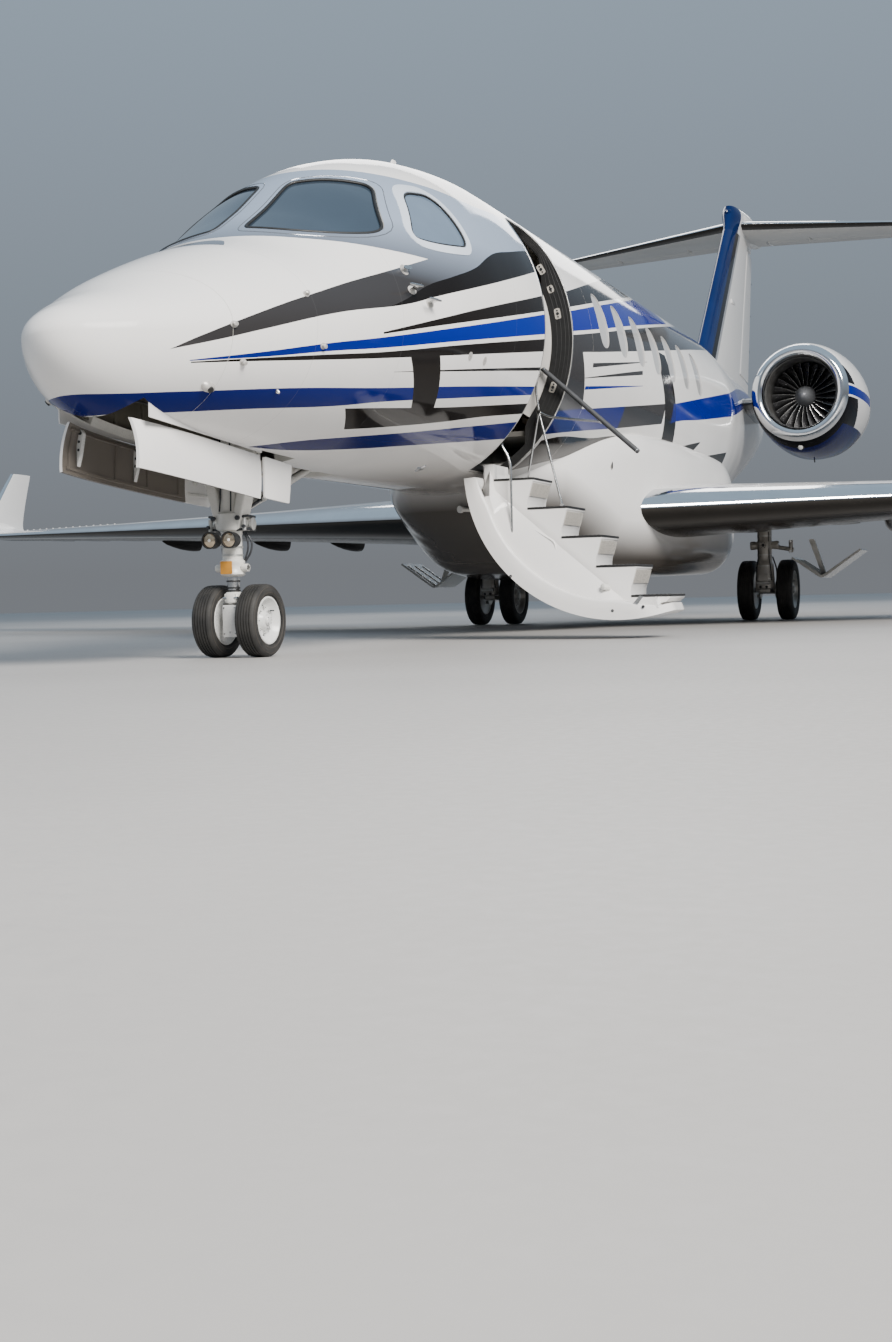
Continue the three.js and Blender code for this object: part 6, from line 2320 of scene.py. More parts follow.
def engines():
    """Both engines: cowls, cores and fans."""
    cowl_paint = cowl_finish()
    centre = lambda s: P(ENGINE["x"], s, ENGINE["z"])
    outer = [
        (13.110, 0.515), (13.122, 0.552), (13.175, 0.588), (13.300, 0.622), (13.600, 0.656), (14.200, 0.682),
        (14.900, 0.660), (15.500, 0.600), (16.000, 0.520),
    ]
    inner = [
        (16.000, 0.490), (15.300, 0.440), (13.700, 0.440), (13.300, 0.432), (13.180, 0.445), (13.125, 0.474)
    ]
    pts = np.array(outer + inner)
    sharp = (len(outer) - 1, len(outer))
    steps = 5

    def along(loop):
        """A smooth closed run of the cowl's section, with a corner at each end of its rear edge."""
        out = []
        n = len(loop)
        for i in range(n):
            a, b, c, d = (loop[(i + k) % n] for k in (-1, 0, 1, 2))
            for k in range(steps):
                t = k / steps
                if i in sharp or (i + 1) % n in sharp and i != sharp[0] - 1:
                    out.append(b + (c - b) * t)
                    continue
                t1 = (c - a) / 2 if i not in sharp else (c - b)
                t2 = (d - b) / 2 if (i + 1) not in sharp else (c - b)
                size = np.linalg.norm(c - b)
                t1 = t1 / max(1e-9, np.linalg.norm(t1)) * size
                t2 = t2 / max(1e-9, np.linalg.norm(t2)) * size
                out.append(
                    (2 * t**3 - 3 * t**2 + 1) * b
                    + (t**3 - 2 * t**2 + t) * t1
                    + (3 * t**2 - 2 * t**3) * c
                    + (t**3 - t**2) * t2
                )
        return out

    def chin(v):
        """The cowl's outer skin is deeper below than above, where the engine's gearbox sits."""
        out = v - centre(v.y + LENGTH / 2)
        reach = math.hypot(out.x, out.z)
        down = max(0.0, (-out.z / max(reach, 1e-6) - 0.35) / 0.65)
        along_cowl = max(0.0, min(1.0, (v.y + LENGTH / 2 - 13.16) / 0.30)) * max(
            0.0, min(1.0, (15.9 - v.y - LENGTH / 2) / 1.6)
        )
        if reach < 0.50:
            return v
        return v - Vector((0, 0, 0.075 * down ** 1.5 * along_cowl))

    profile = along(pts)
    cowl = Build()
    sides = 96
    cowl.revolve(
        [(float(s) - 13.0, float(r)) for s, r in profile], centre(13.0), (0, 1, 0), sides, 1, closed=True
    )
    n = len(profile)
    for i in range(n):
        s, r = (profile[i] + profile[(i + 1) % n]) / 2
        material = 1
        if s < LIP_END:
            material = 0
        elif i >= len(outer) * steps:
            material = 2
        for j in range(sides):
            cowl.materials[i * sides + j] = material
    # Rings of the duct's liner, and seams round the cowl
    for s, r in ((13.245, 0.4345), (13.36, 0.4365), (13.46, 0.4382), (13.55, 0.4392)):
        cowl.revolve(
            [(-0.004, r + 0.003), (-0.004, r - 0.003), (0.004, r - 0.003), (0.004, r + 0.003)],
            centre(s),
            (0, 1, 0),
            sides,
            2,
            closed=True,
        )
    for s, r in ((13.246, 0.609), (13.86, 0.6690), (15.05, 0.6500)):
        cowl.revolve(
            [(-0.0015, r - 0.004), (-0.0015, r + 0.0012), (0.0015, r + 0.0012), (0.0015, r - 0.004)],
            centre(s),
            (0, 1, 0),
            sides,
            3,
            closed=True,
        )
    # Lamp, latches and drain under the cowl
    lamp = centre(13.32) + Vector((-0.02, 0, -0.622))
    cowl.revolve(
        [(0.0, 0.0001), (0.0, 0.030), (0.020, 0.030), (0.028, 0.022), (0.030, 0.0001)],
        lamp + Vector((0, 0, -0.004)),
        (0, -0.75, -0.66),
        20,
        4,
    )
    cowl.revolve(
        [(0.0, 0.0001), (0.0, 0.055), (0.006, 0.055), (0.010, 0.046), (0.011, 0.0001)],
        lamp + Vector((0, 0.006, 0.014)),
        (0, -0.75, -0.66),
        24,
        3,
    )
    cowl.tube(
        [centre(14.2) + Vector((0.02, 0, -0.67)), centre(14.24) + Vector((0.02, 0, -0.72))], 0.008, 10, 3
    )
    cowl.vertices = [tuple(chin(Vector(v))) for v in cowl.vertices]
    on_both_sides(
        "nacelle_shell", cowl, [polished, cowl_paint, duct_liner, black_rubber, lamp_glass], "root",
        ["nacelle_SIDE"], 50,
    )

    core = Build()
    core.revolve(
        [
            (0.9, 0.430), (1.4, 0.431), (1.9, 0.431), (2.299, 0.430), (2.30, 0.34), (2.6, 0.315),
            (2.95, 0.298), (3.2, 0.285), (3.2, 0.270), (3.0, 0.262), (2.7, 0.24), (2.5, 0.10),
        ],
        centre(13.0),
        (0, 1, 0),
        64,
        0,
    )
    core.revolve(
        [
            (0.0, 0.0001), (0.0, 0.20), (0.08, 0.190), (0.22, 0.135), (0.38, 0.06), (0.44, 0.012),
            (0.445, 0.0001),
        ],
        centre(15.62),
        (0, 1, 0),
        40,
        1,
    )
    core.revolve(
        [(0.0, 0.140), (0.0, 0.205), (0.30, 0.215), (0.30, 0.15)],
        centre(13.80),
        (0, 1, 0),
        48,
        0,
        closed=True,
    )
    for t in circle(ENGINE["vanes"]):
        u = Vector((math.cos(t), 0, math.sin(t)))
        side = Vector((-math.sin(t), 0, math.cos(t)))
        rings = []
        for r in (0.16, 0.30, 0.436):
            mid = centre(13.86) + u * r
            rings.append(
                [
                    mid + side * a + Vector((0, b, 0))
                    for a, b in ((-0.010, 0.0), (-0.004, -0.004), (0.014, 0.075), (0.010, 0.078))
                ]
            )
        core.loft(rings, 0)
    on_both_sides(
        "engine_core_shell", core, [dark_metal, alloy], "root", ["engine_core_SIDE"], 40
    )

    fan = Build()
    dome = [
        (-0.190, 0.006), (-0.184, 0.022), (-0.165, 0.046), (-0.135, 0.070), (-0.095, 0.093), (-0.05, 0.112),
        (-0.012, 0.124), (0.0, 0.1265), (0.04, 0.130), (0.150, 0.130),
    ]
    fan.revolve(dome, centre(ENGINE["fan"]), (0, 1, 0), 64, 1)
    for k in range(12):
        t = 2 * math.pi * k / 12
        u = Vector((math.cos(t), 0, math.sin(t)))
        fan.revolve(
            [(-0.004, 0.0001), (-0.004, 0.006), (0.004, 0.006), (0.005, 0.0001)],
            centre(ENGINE["fan"] - 0.030) + u * 0.1185, u * 0.94 - Vector((0, 0.34, 0)), 8, 3,
        )
    for k in range(ENGINE["blades"]):
        t = 2 * math.pi * k / ENGINE["blades"]
        start = len(fan.faces)
        rings = []
        rows = 11
        for i in range(rows):
            share = i / (rows - 1)
            r = 0.120 + (0.4235 - 0.120) * share
            stagger = math.radians(24 + 36 * share)
            chord = 0.112 + 0.020 * math.sin(math.pi * min(1, share * 0.9))
            thick = 0.011 * (1 - share) + 0.0035
            lean = -0.05 * share + 0.16 * share**2 - 0.10 * share**3
            sweep = 0.010 * math.sin(math.pi * share) + 0.012 * share**3
            angle = t + lean
            u = Vector((math.cos(angle), 0, math.sin(angle)))
            side = Vector((-math.sin(angle), 0, math.cos(angle)))
            aft = Vector((0, 1, 0))
            run = aft * math.cos(stagger) + side * math.sin(stagger)
            off = aft * -math.sin(stagger) + side * math.cos(stagger)
            middle = centre(ENGINE["fan"] + 0.055 + sweep) + u * r
            ring = []
            for f in (0.0, 0.03, 0.12, 0.35, 0.65, 0.92, 1.0):
                camber = 0.08 * chord * math.sin(math.pi * f)
                ring.append(
                    middle
                    + run * chord * (f - 0.5)
                    + off * (camber + thick * math.sin(math.pi * min(1, max(0.02, f ** 0.6))) / 2)
                )
            for f in (0.92, 0.65, 0.35, 0.12, 0.03):
                camber = 0.08 * chord * math.sin(math.pi * f)
                ring.append(
                    middle
                    + run * chord * (f - 0.5)
                    + off * (camber - thick * math.sin(math.pi * min(1, max(0.02, f ** 0.6))) / 2)
                )
            rings.append(ring)
        fan.loft(rings, 0)
        n = len(rings[0])
        for i in range(rows - 1):
            for j in (0, n - 1):
                fan.materials[start + i * n + j] = 2
    on_both_sides(
        "fan_rotor", fan, [blade_metal, spinner_grey, steel, steel], "fan_SIDE", ["fan_SIDE"],
        40,
    )


duct_liner = finish(
    "duct liner", rgb(0.10, 0.098, 0.095), 0.35, metal=0.3, grain=6, shift=0.1, bump=0.15, grain_bump=260
)
blade_metal = finish(
    "fan blade metal", rgb(0.105, 0.105, 0.11), 0.30, metal=0.9, grain=8, shift=0.12, bump=0.02
)
spinner_grey = finish(
    "spinner grey", rgb(0.15, 0.155, 0.165), 0.32, metal=0.2, grain=8, shift=0.08, bump=0.02
)
engines()


# Wheels: tyres with grooves and a raised shoulder, dished hubs with their bolts
def tyre_profile(wide, r, rim, grooves):
    """A tyre's section as (distance across, radius) pairs."""
    h = wide / 2
    wall = r - rim
    half = [
        (0.62, rim - 0.004),
        (0.74, rim - 0.006),
        (0.80, rim + 0.004),
        (0.80, rim + 0.012),
        (0.905, rim + 0.16 * wall),
        (0.97, rim + 0.34 * wall),
        (0.985, rim + 0.48 * wall),
        (0.965, rim + 0.64 * wall),
        (0.925, rim + 0.78 * wall),
        (0.86, r - 0.125 * wall),
        (0.76, r - 0.045 * wall),
        (0.62, r - 0.012 * wall),
    ]
    crown = []
    for g in sorted(grooves, reverse=True):
        w, deep = 0.0035, 0.0065
        drop = 0.012 * (r - rim) * (g / (0.62 * h)) ** 2
        if g > 0:
            crown += [
                (g + w, r - drop), (g + w * 0.7, r - drop - deep), (g - w * 0.7, r - drop - deep),
                (g - w, r - drop),
            ]
    outer = [(d * h, q) for d, q in half] + crown
    centre = [(0.0035, r), (0.0025, r - 0.0065)] if 0 in grooves else [(0.0001, r)]
    right = outer + centre
    return [(-d, q) for d, q in right] + [(d, q) for d, q in reversed(right)]


def wheel_tyre(build, x, s, r, wide, rim, grooves, sides=96):
    """A tyre with its mould lines."""
    profile = tyre_profile(wide, r, rim, grooves)
    build.revolve(profile, P(x, s, r), (1, 0, 0), sides, 0, closed=True, start=math.pi / sides)
    # Mould lines round the side walls
    for side in (1, -1):
        for share in (0.30, 0.72):
            q = rim + share * (r - rim)
            d = side * wide / 2 * (0.955 if share < 0.5 else 0.935)
            build.revolve(
                [
                    (d - 0.002 * side, q - 0.0025), (d + 0.0025 * side, q - 0.001),
                    (d + 0.0025 * side, q + 0.001), (d - 0.002 * side, q + 0.0025),
                ],
                P(x, s, r),
                (1, 0, 0),
                72,
                1,
                closed=True,
            )


def wheel_hub(build, x, s, z, rim, wide, side, bolts, holes):
    """side is the way the dished face looks."""
    h = wide / 2
    at = lambda d: d * side
    face = [
        (0.80 * h, rim + 0.001), (0.84 * h, rim - 0.001), (0.84 * h, rim - 0.010), (0.76 * h, rim - 0.013),
        (0.62 * h, rim - 0.024), (0.40 * h, rim - 0.034),
        (0.26 * h, rim - 0.048), (0.22 * h, rim * 0.62), (0.26 * h, rim * 0.44), (0.50 * h, rim * 0.36),
        (0.62 * h, rim * 0.31), (0.66 * h, rim * 0.25), (0.66 * h, 0.034),
        (-0.72 * h, 0.034), (-0.72 * h, rim - 0.02), (-0.80 * h, rim - 0.010), (-0.84 * h, rim - 0.008),
        (-0.84 * h, rim - 0.001), (-0.80 * h, rim + 0.001),
    ]
    build.revolve([(at(d), q) for d, q in face], P(x, s, z), (1, 0, 0), 64, 0, closed=True)
    out = Vector((side, 0, 0))
    centre = P(x, s, z)
    cap = 0.66 * h
    build.revolve(
        [
            (cap - 0.004, 0.0001), (cap - 0.004, rim * 0.22), (cap + 0.008, rim * 0.215),
            (cap + 0.016, rim * 0.17), (cap + 0.018, 0.0001),
        ],
        centre,
        out,
        32,
        0,
    )
    for k in range(bolts):
        t = 2 * math.pi * k / bolts
        place = centre + Vector((0, math.cos(t), math.sin(t))) * rim * 0.53
        build.revolve(
            [
                (0.225 * h, 0.0001), (0.225 * h, 0.0085), (0.225 * h + 0.012, 0.0085),
                (0.225 * h + 0.013, 0.0001),
            ],
            place,
            out,
            6,
            1,
            start=t,
        )
        build.revolve(
            [
                (0.225 * h + 0.012, 0.0001), (0.225 * h + 0.012, 0.0045), (0.225 * h + 0.020, 0.0045),
                (0.225 * h + 0.021, 0.0001),
            ],
            place,
            out,
            10,
            1,
        )
    for k in range(holes):
        t = 2 * math.pi * (k + 0.5) / holes
        place = centre + Vector((0, math.cos(t), math.sin(t))) * rim * 0.69
        build.revolve(
            [(0.17 * h, 0.0001), (0.17 * h, 0.0135), (0.235 * h, 0.0135), (0.237 * h, 0.0001)],
            place,
            out,
            18,
            2,
        )
    for k in range(4):
        t = 2 * math.pi * (k + 0.5) / 4
        place = centre + Vector((0, math.cos(t), math.sin(t))) * rim * 0.165
        build.revolve(
            [(cap + 0.006, 0.0001), (cap + 0.006, 0.0042), (cap + 0.0175, 0.0042), (cap + 0.018, 0.0001)],
            place,
            out,
            8,
            1,
        )
    t = 0.6
    place = centre + Vector((0, math.cos(t), math.sin(t))) * (rim - 0.045)
    build.revolve(
        [(0.28 * h, 0.0001), (0.28 * h, 0.005), (0.28 * h + 0.03, 0.004), (0.28 * h + 0.031, 0.0001)],
        place,
        out,
        10,
        2,
    )


def wheels():
    """Tyres, hubs and brake discs of the nose and main wheels."""
    r, wide, rim, half, s = 0.2285, 0.145, 0.150, 0.152, 1.935
    for name, side in SIDES:
        tyre = Build()
        wheel_tyre(tyre, side * half, s, r, wide, rim, (0, 0.019, 0.038), 96)
        carry(
            tyre.make(f"nose_tyre_{name}", [rubber, worn_rubber], 40), "nose_wheels", f"nose_tyre_{name}",
        )
    hubs = Build()
    for _, side in SIDES:
        wheel_hub(hubs, side * half, s, r, rim, wide, side, 8, 6)
    hubs.tube([P(-0.19, s, r), P(0.19, s, r)], 0.0265, 24, 1)
    carry(
        hubs.make("nose_wheel_hubs", [hub_paint, steel, dark_metal], 40), "nose_wheels", "nose_wheel_hubs",
    )
    r, wide, rim, half, s, x = 0.343, 0.182, 0.215, 0.221, 11.440, 1.665
    for name, side in SIDES:
        for which, place in (("outer", x + half), ("inner", x - half)):
            tyre = Build()
            wheel_tyre(tyre, side * place, s, r, wide, rim, (0.022, 0.0, 0.045), 120)
            carry(
                tyre.make(f"main_tyre_{which}_{name}", [rubber, worn_rubber], 40), f"main_wheels_{name}",
                f"main_tyre_{which}_{name}",
            )
        hubs = Build()
        for out, place in ((1, x + half), (-1, x - half)):
            wheel_hub(hubs, side * place, s, r, rim, wide, out * side, 12, 12)
        # Brake discs inboard of each rim
        for place, out in ((x + half, -1), (x - half, 1)):
            for k in range(4):
                d = side * (place + out * (0.020 + 0.012 * k))
                hubs.revolve(
                    [(-0.004, 0.10), (-0.004, 0.182), (0.004, 0.182), (0.004, 0.10)],
                    P(d, s, r),
                    (1, 0, 0),
                    48,
                    2,
                    closed=True,
                )
        hubs.tube([P(side * (x - half - 0.06), s, r), P(side * (x + half + 0.06), s, r)], 0.0265, 24, 1)
        carry(
            hubs.make(f"main_wheel_hubs_{name}", [main_hub_paint, steel, dark_metal], 40),
            f"main_wheels_{name}",
            f"main_wheel_hubs_{name}",
        )


worn_rubber = finish(
    "worn rubber", rgb(0.060, 0.050, 0.042), 0.7, grain=18, shift=0.2, bump=0.12, grain_bump=260
)
hub_paint = finish("white hub enamel", rgb(0.70, 0.70, 0.68), 0.28, grain=9, shift=0.05, bump=0.03, coat=0.2)
main_hub_paint = finish(
    "grey hub enamel", rgb(0.33, 0.32, 0.30), 0.35, metal=0.4, grain=12, shift=0.12, bump=0.05
)
wheels()


def flange(build, centre, along, radius, length, material, bolts=8, bolt=0.006, bolt_material=2, sides=32):
    """A short collar with a row of bolts on its face."""
    axis = Vector(along).normalized()
    build.revolve(
        [
            (0, 0.0001), (0, radius * 0.96), (0.004, radius), (length - 0.004, radius),
            (length, radius * 0.96), (length, 0.0001),
        ],
        centre,
        axis,
        sides,
        material,
    )
    guide = Vector((0, 0, 1)) if abs(axis.z) < 0.9 else Vector((1, 0, 0))
    u = axis.cross(guide).normalized()
    v = axis.cross(u)
    for k in range(bolts):
        t = 2 * math.pi * k / bolts
        place = Vector(centre) + (u * math.cos(t) + v * math.sin(t)) * radius * 0.78 + axis * (length - 0.001)
        build.revolve([(0, 0.0001), (0, bolt), (0.005, bolt), (0.006, 0.0001)], place, axis, 6, bolt_material)


def nose_leg():
    """The nose gear's leg with its brace, lamps and short doors."""
    s = 1.875
    leg = Build()
    at = lambda x, z, ds=0.0: P(x, s + ds, z)
    # Casting: a tapering V from the trunnion to the strut's collar
    for side in (1, -1):
        arm = []
        for z, x, w, deep in (
            (1.360, 0.178, 0.030, 0.050), (1.26, 0.160, 0.034, 0.055), (1.12, 0.128, 0.036, 0.058),
            (1.0, 0.098, 0.036, 0.060), (0.88, 0.068, 0.034, 0.062), (0.80, 0.052, 0.030, 0.060),
        ):
            shape = rounded([(-w, -deep), (w, -deep), (w, deep), (-w, deep)], 0.018, 4)
            arm.append([at(side * x + a, z, b) for a, b in shape])
        leg.loft(arm, 0)
    leg.tube([at(-0.205, 1.300), at(0.205, 1.300)], 0.034, 28, 0)
    for side in (1, -1):
        flange(leg, at(side * 0.150, 1.300), (side, 0, 0), 0.052, 0.045, 0, 8, 0.005)
    # Strut: upper cylinder, collars, gland, lower collar
    leg.revolve(
        [
            (z - 1.0, r)
            for z, r in (
                (0.506, 0.060), (0.520, 0.078), (0.533, 0.0785), (0.545, 0.070), (0.580, 0.070),
                (0.592, 0.0785), (0.604, 0.078), (0.615, 0.063), (0.700, 0.062), (0.760, 0.063),
                (0.788, 0.072), (0.795, 0.090), (0.812, 0.0925), (0.880, 0.0925), (0.897, 0.090),
                (0.905, 0.078), (0.930, 0.070), (1.05, 0.0625), (1.30, 0.062), (1.52, 0.062), (1.555, 0.055),
            )
        ],
        at(0, 1.0),
        (0, 0, 1),
        48,
        0,
    )
    for z in (0.640, 0.690, 0.950, 1.080):
        leg.revolve(
            [(-0.006, 0.060), (-0.006, 0.0665), (0.006, 0.0665), (0.006, 0.060)],
            at(0, z),
            (0, 0, 1),
            48,
            2,
            closed=True,
        )
    # Web between the arms
    leg.prism(
        [(-0.115, 1.05), (0.115, 1.05), (0.07, 0.90), (-0.07, 0.90)], lambda a, b, t: P(a, s + t, b), 0.004,
        0.034, 0, 0.004,
    )
    leg.revolve(
        [(0, 0.0001), (0, 0.030), (0.010, 0.030), (0.016, 0.022), (0.016, 0.0001)],
        at(0, 1.13, -0.060),
        (0, -1, 0),
        24,
        0,
    )
    # Pin of the torque links and their upper link, which rides the strut's aft face
    leg.tube([at(-0.112, 0.560, -0.005), at(0.112, 0.560, -0.005)], 0.020, 20, 2)
    for side in (1, -1):
        flange(leg, at(side * 0.072, 0.560, -0.005), (side, 0, 0), 0.0245, 0.040, 0, 5, 0.0035)
    # Drag brace to the bay's slot, with its cross bar and actuator
    leg.tube([at(0, 0.900, 0.04), P(0, 2.35, 1.040), P(0, 3.000, 1.260)], 0.029, 24, 0, [0.024, 0.029, 0.026])
    leg.tube([P(-0.108, 3.0, 1.26), P(0.108, 3.0, 1.26)], 0.029, 24, 0)
    leg.tube([P(-0.045, 2.36, 1.043), P(0.045, 2.36, 1.043)], 0.024, 20, 2)
    for side in (1, -1):
        leg.tube([at(side * 0.040, 0.892, 0.03), P(side * 0.030, 2.33, 1.034)], 0.010, 12, 0)
    leg.tube([P(0.045, 2.18, 1.00), P(0.045, 2.62, 1.17)], 0.017, 16, 2)
    leg.tube([P(0.045, 2.05, 0.950), P(0.045, 2.20, 1.008)], 0.010, 12, 3)
    # Steering actuators each side of the collar
    for side in (1, -1):
        c = at(side * 0.090, 0.832, 0.012)
        leg.revolve(
            [
                (0, 0.0001), (0, 0.036), (0.004, 0.041), (0.026, 0.042), (0.030, 0.036), (0.034, 0.036),
                (0.038, 0.042), (0.056, 0.041), (0.060, 0.034), (0.060, 0.0001),
            ],
            c,
            (side, 0.12, 0),
            28,
            2,
        )
        for z in (0.875, 0.795):
            leg.tube(
                [
                    at(side * 0.062, z, -0.050), at(side * 0.135, z + 0.006, -0.035),
                    at(side * 0.140, z, 0.045),
                ],
                0.0085,
                10,
                3,
            )
        leg.tube([at(side * 0.120, 0.865, -0.055), at(side * 0.120, 0.790, -0.055)], 0.012, 12, 2)
        leg.revolve(
            [(0, 0.0001), (0, 0.015), (0.016, 0.015), (0.018, 0.0001)], at(side * 0.085, 0.868, -0.072),
            (0, -1, 0), 14, 3,
        )
        leg.revolve(
            [(0, 0.0001), (0, 0.011), (0.016, 0.011), (0.018, 0.0001)], at(side * 0.125, 0.815, -0.066),
            (0, -1, 0), 12, 3,
        )
    # Hoses and harness down the leg's sides
    for side, x0, bulge in ((1, 0.066, 0.030), (-1, 0.066, 0.024), (1, 0.078, 0.045)):
        path = [
            at(side * x0, 0.790, 0.02), at(side * (x0 + bulge), 0.730, 0.035),
            at(side * (x0 + bulge * 0.9), 0.660, 0.03), at(side * (x0 + 0.002), 0.600, 0.02),
        ]
        leg.tube(arc_path(path, 0.04), 0.0065, 10, 3)
    for side in (1, -1):
        leg.tube(
            [at(side * 0.034, 1.45, -0.055), at(side * 0.036, 1.0, -0.066), at(side * 0.040, 0.91, -0.080)],
            0.005,
            8,
            3,
        )
    leg.prism(
        rounded([(-0.095, 0.700), (0.095, 0.700), (0.095, 0.760), (-0.095, 0.760)], 0.014, 4),
        lambda a, b, t: P(a, s + t, b),
        -0.092,
        -0.062,
        0,
        0.003,
    )
    carry(
        leg.make("nose_leg", [gear_paint, white_paint, alloy, dark_metal], 40),
        stands_for="nose_gear_leg",
    )
    # Lamps: two sealed beams with dark rims and amber-tinted reflectors
    lamps = Build()
    for side in (1, -1):
        c = at(side * 0.068, 0.730, -0.090)
        lamps.revolve(
            [
                (0.0, 0.030), (0.0, 0.044), (0.020, 0.0505), (0.070, 0.0525), (0.0815, 0.0525),
                (0.0815, 0.0455), (0.066, 0.0445), (0.03, 0.030),
            ],
            c,
            (0, -1, 0),
            40,
            0,
            closed=True,
        )
        lamps.revolve(
            [
                (0.020, 0.0001), (0.016, 0.020), (0.030, 0.032), (0.056, 0.043), (0.070, 0.0448),
                (0.072, 0.0448), (0.076, 0.030), (0.078, 0.0001),
            ],
            c,
            (0, -1, 0),
            40,
            1,
        )
        for k in range(3):
            t = math.pi / 2 + 2 * math.pi * k / 3
            lamps.revolve(
                [(0.070, 0.0001), (0.070, 0.0045), (0.084, 0.0045), (0.085, 0.0001)],
                c + Vector((math.cos(t), 0, math.sin(t))) * 0.049, (0, -1, 0), 8, 0,
            )
        lamps.revolve(
            [(0.0765, 0.0001), (0.0765, 0.010), (0.081, 0.008), (0.082, 0.0001)], c, (0, -1, 0), 16, 2
        )
        lamps.revolve(
            [(-0.010, 0.0001), (-0.010, 0.014), (0.012, 0.016), (0.014, 0.0001)], c, (0, -1, 0), 14, 0
        )
    carry(lamps.make("nose_leg_lamps", [black_rubber, reflector, lamp_glass], 40))
    # The short doors that the leg's links hold open
    for name, hand in SIDES:
        door = Build()
        x = 0.278
        shape = rounded([(1.782, 0.978), (2.095, 0.960), (2.145, 1.205), (1.782, 1.232)], 0.012, 4)
        door.prism(
            shape, side_view, hand * x if hand > 0 else hand * (x + 0.018),
            hand * (x + 0.018) if hand > 0 else hand * x, 0, 0.003,
        )
        low, high = sorted((hand * (x - 0.006), hand * (x - 0.0005)))
        for z in (1.03, 1.16):
            door.box((low, Y(1.82), z - 0.010), (high, Y(2.11), z + 0.010), 1, 0.002)
        door.tube([P(hand * 0.150, 1.875, 1.160), P(hand * 0.284, 1.915, 1.100)], 0.013, 12, 1)
        carry(door.make(f"nose_leg_door_{name}", [white_paint, gear_paint], 40))
    plate = Build()
    plate.prism(
        rounded([(-0.040, 0.522), (0.040, 0.522), (0.040, 0.602), (-0.040, 0.602)], 0.006, 4),
        lambda a, b, t: P(a, s + t, b),
        -0.088,
        -0.0795,
        0,
        0.001,
    )
    carry(plate.make("nose_leg_plate", [orange_plate], 40))


reflector = finish(
    "lamp reflector", rgb(0.62, 0.50, 0.36), 0.12, metal=0.85, grain=40, shift=0.25, bump=0.2, grain_bump=60
)
nose_leg()


def nose_fork():
    """The part of the nose gear that steers."""
    s = 1.875
    at = lambda x, z, ds=0.0: P(x, s + ds, z)
    fork = Build()
    fork.revolve(
        [
            (z - 0.3, r)
            for z, r in (
                (0.236, 0.040), (0.245, 0.046), (0.330, 0.046), (0.341, 0.052), (0.346, 0.057),
                (0.394, 0.057), (0.400, 0.052), (0.410, 0.046),
            )
        ],
        at(0, 0.3),
        (0, 0, 1),
        40,
        0,
    )
    fork.revolve([(z - 0.3, r) for z, r in ((0.408, 0.0385), (0.499, 0.0385))], at(0, 0.3), (0, 0, 1), 40, 1)
    for z, r in ((0.418, 0.044), (0.436, 0.042), (0.478, 0.0435)):
        fork.revolve(
            [(-0.005, 0.036), (-0.005, r), (0.005, r), (0.005, 0.036)],
            at(0, z),
            (0, 0, 1),
            40,
            2,
            closed=True,
        )
    outline = rounded(
        [(1.845, 0.186), (1.983, 0.186), (1.983, 0.262), (1.955, 0.275), (1.845, 0.275)], 0.018, 5
    )
    fork.prism(outline, side_view, -0.052, 0.052, 0, 0.006)
    # Torque links ahead of the strut
    for side in (1, -1):
        fork.prism(
            rounded([(1.828, 0.350), (1.846, 0.350), (1.846, 0.400), (1.828, 0.400)], 0.006, 3),
            side_view,
            side * 0.030 - 0.010,
            side * 0.030 + 0.010,
            0,
            0.002,
        )
    fork.tube([at(-0.050, 0.372, -0.042), at(0.050, 0.372, -0.042)], 0.010, 16, 1)
    # Towing plate with its dark band above
    fork.prism(
        rounded([(-0.050, 0.130), (0.050, 0.130), (0.050, 0.330), (-0.050, 0.330)], 0.012, 5),
        lambda a, b, t: P(a, s + t, b),
        -0.061,
        -0.026,
        3,
        0.004,
    )
    for side in (1, -1):
        for z in (0.150, 0.312):
            fork.revolve(
                [(-0.003, 0.0001), (-0.003, 0.006), (0.0035, 0.006), (0.0045, 0.0001)],
                at(side * 0.038, z, -0.0605), (0, -1, 0), 6, 1,
            )
    fork.box((-0.0505, Y(s) - 0.0500, 0.3325), (0.0505, Y(s) - 0.028, 0.3395), 2, 0.002)
    fork.revolve(
        [(0, 0.0001), (0, 0.016), (0.012, 0.016), (0.014, 0.0001)], at(0, 0.165, -0.046), (0, 0, -1), 16, 1
    )
    carry(
        fork.make("nose_fork_casting", [gear_paint, steel, black_rubber, hub_paint], 40),
        "nose_fork",
        "nose_gear_fork",
    )


nose_fork()


# Doors of the nose gear's bay
NOSE_DOOR = {
    "front": 0.460, "rear": 1.775, "hinge": 0.280, "front_z": 1.350, "rear_z": 1.250, "open": 84,
    "thick": 0.018,
}


def belly_height(s, x):
    """The hull's underside at a station and a distance from the middle."""
    _, bottom, half, wide = [float(v) for v in hull_sizes(s)]
    across = min(1.0, x / half)
    return wide - (wide - bottom) * math.sqrt(1 - across * across)


